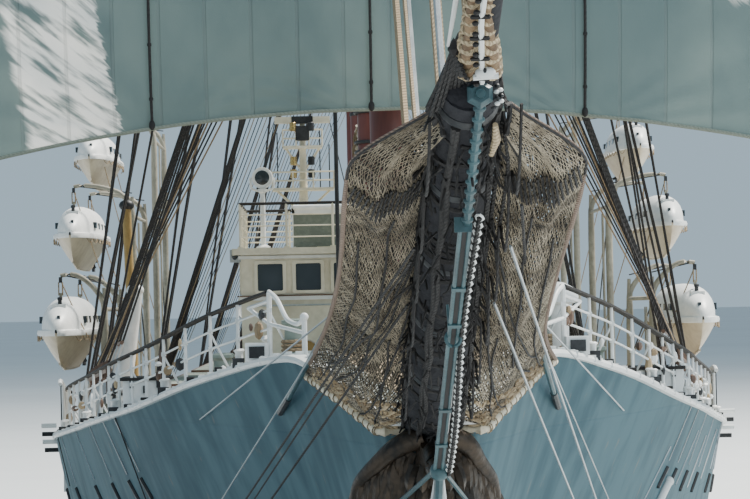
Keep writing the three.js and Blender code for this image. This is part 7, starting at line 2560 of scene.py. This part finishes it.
@dataclass
class GaffSails:
    """Booms with lowered gaffs and the sails flaked between them, lashed with gaskets."""

    boom: float = 0.2
    bundle: float = 0.34
    gaff: float = 0.13

    def one(self, name: str, mast: Mast, z: float, length: float) -> None:
        """One boom with its gaff, stowed sail, gaskets, lift and sheet."""
        body = f"{name}_boom"
        form = Form(f"boom_{name}_made")
        inner = float(mast.radius(z)) + 0.05
        gaff_z = z + self.boom + 2 * self.bundle + self.gaff
        out = spread(inner, length, 30)
        form.tube(mast.at(0, -out, z),
                  self.boom * np.interp(out / length, (0, 0.1, 0.6, 1), (0.75, 0.95, 1, 0.75)), 16, 0)
        out = spread(inner, length * 0.72, 24)
        form.tube(mast.at(0, -out, gaff_z),
                  self.gaff * np.interp(out / length, (0, 0.1, 0.72), (0.8, 1, 0.7)), 12, 0)
        for level in (z, gaff_z):
            for lift in (-0.12, 0.12):
                form.tube(mast.ring(inner, level + lift), 0.045, 8, 1, caps=False)
        form.tube(mast.at(0, -inner - 0.03, np.array([z - 0.2, gaff_z + 0.2])), 0.06, 8, 1)
        for share in (0.12, 0.4, 0.7, 0.97):
            form.tube(mast.at(0, -length * share + np.array([-0.08, -0.06, 0.06, 0.08]), z),
                      self.boom * 0.95 + np.array([0.0, 0.03, 0.03, 0.0]), 16, 1)
        high = mast.top - 0.8
        for side in (-1, 1):
            form.rods(mast.at(side * 0.1, -0.38, high),
                      mast.at(side * 0.1, -length * 0.96, z + 0.15), 0.02, 4, 2)
        form.make([SPAR_BROWN, IRON, TAN_ROPE], body, "mast_paint", (f"boom_{name}",))
        self.cloth(name, body, mast, z, length)
        sheet = Form(f"sheet_{name}")
        at, deck = mast.at(0, -length * 0.86, z - 0.24), mast.s + length * 0.86
        floor = 7.25 if name != "jigger" else LINES.rim(min(deck, 93)) + 0.1
        for dx in (-0.08, 0.0, 0.08):
            sheet.tube(sagging(np.array([dx, at[1], floor + 0.25]), at + (dx, 0, -0.1), 0.0, 14), 0.018, 4, 0)
        sheet.blocks(at - (0, 0, 0.06), (0.24, 0.12, 0.2), 1)
        sheet.blocks((0, at[1], floor + 0.16), (0.24, 0.12, 0.2), 1)
        a, b = at_ship(np.array([(0, at[1], floor + 0.4), (0, at[1], at[2] - 0.3)]))
        sheet.make([TAN_ROPE, IRON], None, "dark_rope", blend=("ship", body, tuple(a), tuple(b)))

    def cloth(self, name: str, body: str, mast: Mast, z: float, length: float) -> None:
        """The sail in flakes: across = w sin(pi p), up = h p / n for fold p from 0 to n."""
        folds, steps = 9, 10
        p = spread(0.5, folds - 0.5, folds * steps)
        share = spread(0.05, 0.94, 90)
        size = np.interp(share, (0.05, 0.12, 0.4, 0.8, 0.94), (0.6, 1, 1, 0.9, 0.35))
        lump = 1 + 0.06 * np.sin(share * 70) + 0.05 * np.sin(share * 113 + 2)
        wide = self.bundle * 1.02 * size * lump
        wave = wide[:, None] * np.sin(math.pi * p)[None] * (1 + 0.05 * np.sin(p * 5 + 8 * share[:, None]))
        rise = 2 * self.bundle * size[:, None] * (p / folds)[None]
        base = z + self.boom + 0.03
        droop = 0.03 * np.sin(share[:, None] * 40 + p)
        rows = mast.at(wave, -length * share[:, None], base + rise + droop)
        form = Form(f"stowed_sail_{name}_made")
        form.grid(rows, 0, uv=merged(share[:, None] * length, p[None]))
        made = form.make([SAIL_FOLDED], body, "canvas", (f"stowed_sail_{name}",), 60)
        lashings = Form(f"gaskets_{name}")
        for k in range(4, 88, 6):
            centre = mast.at(0, -length * share[k], base + self.bundle * size[k] * 0.98)
            reach = wide[k] * 1.12
            ring = [centre + (reach * math.cos(a), 0, self.bundle * size[k] * 1.12 * math.sin(a))
                    for a in spread(0, 2 * math.pi, 21)]
            lashings.tube(ring, 0.022, 5, 0, caps=False)
        ties = lashings.make([TAN_ROPE], body, "dark_rope")

    def build(self) -> None:
        """All three."""
        for row in BOOMS:
            self.one(*row)


ASSEMBLIES = (Hull(), Rails(), Bowsprit(), Nets(), Figurehead(), Deckhouses(), Bridge(), Boats(), Spars(),
              Shrouds(), SquareRig(), GaffSails(), Foredeck(), Poop())


# Stage: floor at the water, light and the photo's camera.


@dataclass(frozen=True)
class Stage:
    """Plain pale floor, soft sky, one high soft lamp over the port side and a weak one ahead."""

    eye: tuple[float, float, float] = (-0.1106, -7.6, 0.87)
    lens: float = 123.7
    turn: float = -1.0
    pitch: float = 1.32
    roll: float = 1.2

    def floor(self) -> None:
        """A wide pale disc at the waterline."""
        mesh = bpy.data.meshes.new("floor")
        angle = turns(64)
        ring = [(400 * math.cos(a), 400 * math.sin(a), 0.0) for a in angle]
        mesh.from_pydata(ring, [], [list(range(64))])
        mesh.update()
        mesh.materials.append(Finish("pale floor", (0.62, 0.65, 0.66), (0.58, 0.61, 0.62), rough=0.9,
                                     scale=0.2, bump=0.0).material())
        disc = bpy.data.objects.new("floor", mesh)
        bpy.context.collection.objects.link(disc)

    def light(self) -> None:
        """Pale sky all round, a large lamp high to port and a weak one ahead of the bow."""
        world = bpy.data.worlds.new("sky") if not bpy.data.worlds else bpy.data.worlds[0]
        bpy.context.scene.world = world
        world.use_nodes = True
        world.node_tree.nodes["Background"].inputs[0].default_value = (0.58, 0.76, 0.90, 1.0)
        world.node_tree.nodes["Background"].inputs[1].default_value = 0.7
        for name, energy, size, place, target, tint in (
                ("key", 9600.0, 5.0, (8.0, 3.0, 15.0), (0, -1.5, 1.5), (1.0, 0.95, 0.87)),
                ("fill", 260.0, 6.0, (5.0, -9.0, 4.0), (0, -3.0, 0.8), (0.85, 0.93, 1.0))):
            lamp = bpy.data.lights.new(name, "AREA")
            lamp.energy, lamp.size, lamp.color = energy, size, tint
            holder = bpy.data.objects.new(name, lamp)
            holder.location = place
            toward = Vector(target) - Vector(place)
            holder.rotation_euler = toward.to_track_quat("-Z", "Y").to_euler()
            bpy.context.collection.objects.link(holder)

    def camera(self) -> None:
        """The photo's view: from just ahead of the bowsprit, low, with a slight roll."""
        data = bpy.data.cameras.new("photo")
        data.lens, data.sensor_width = self.lens, 36.0
        data.clip_start, data.clip_end = 0.05, 900.0
        holder = bpy.data.objects.new("photo", data)
        aim = (Matrix.Rotation(math.radians(self.turn), 4, "Z")
               @ Matrix.Rotation(math.radians(90 + self.pitch), 4, "X")
               @ Matrix.Rotation(math.radians(-self.roll), 4, "Z"))
        holder.matrix_world = Matrix.Translation(self.eye) @ aim
        bpy.context.collection.objects.link(holder)
        bpy.context.scene.camera = holder


def main() -> None:
    """Build every piece, the stage and the camera."""
    logging.basicConfig(level=logging.INFO, format="%(name)s: %(message)s")
    for assembly in ASSEMBLIES:
        assembly.build()
    stage = Stage()
    stage.floor()
    stage.light()
    stage.camera()


if __name__ == "__main__":
    main()
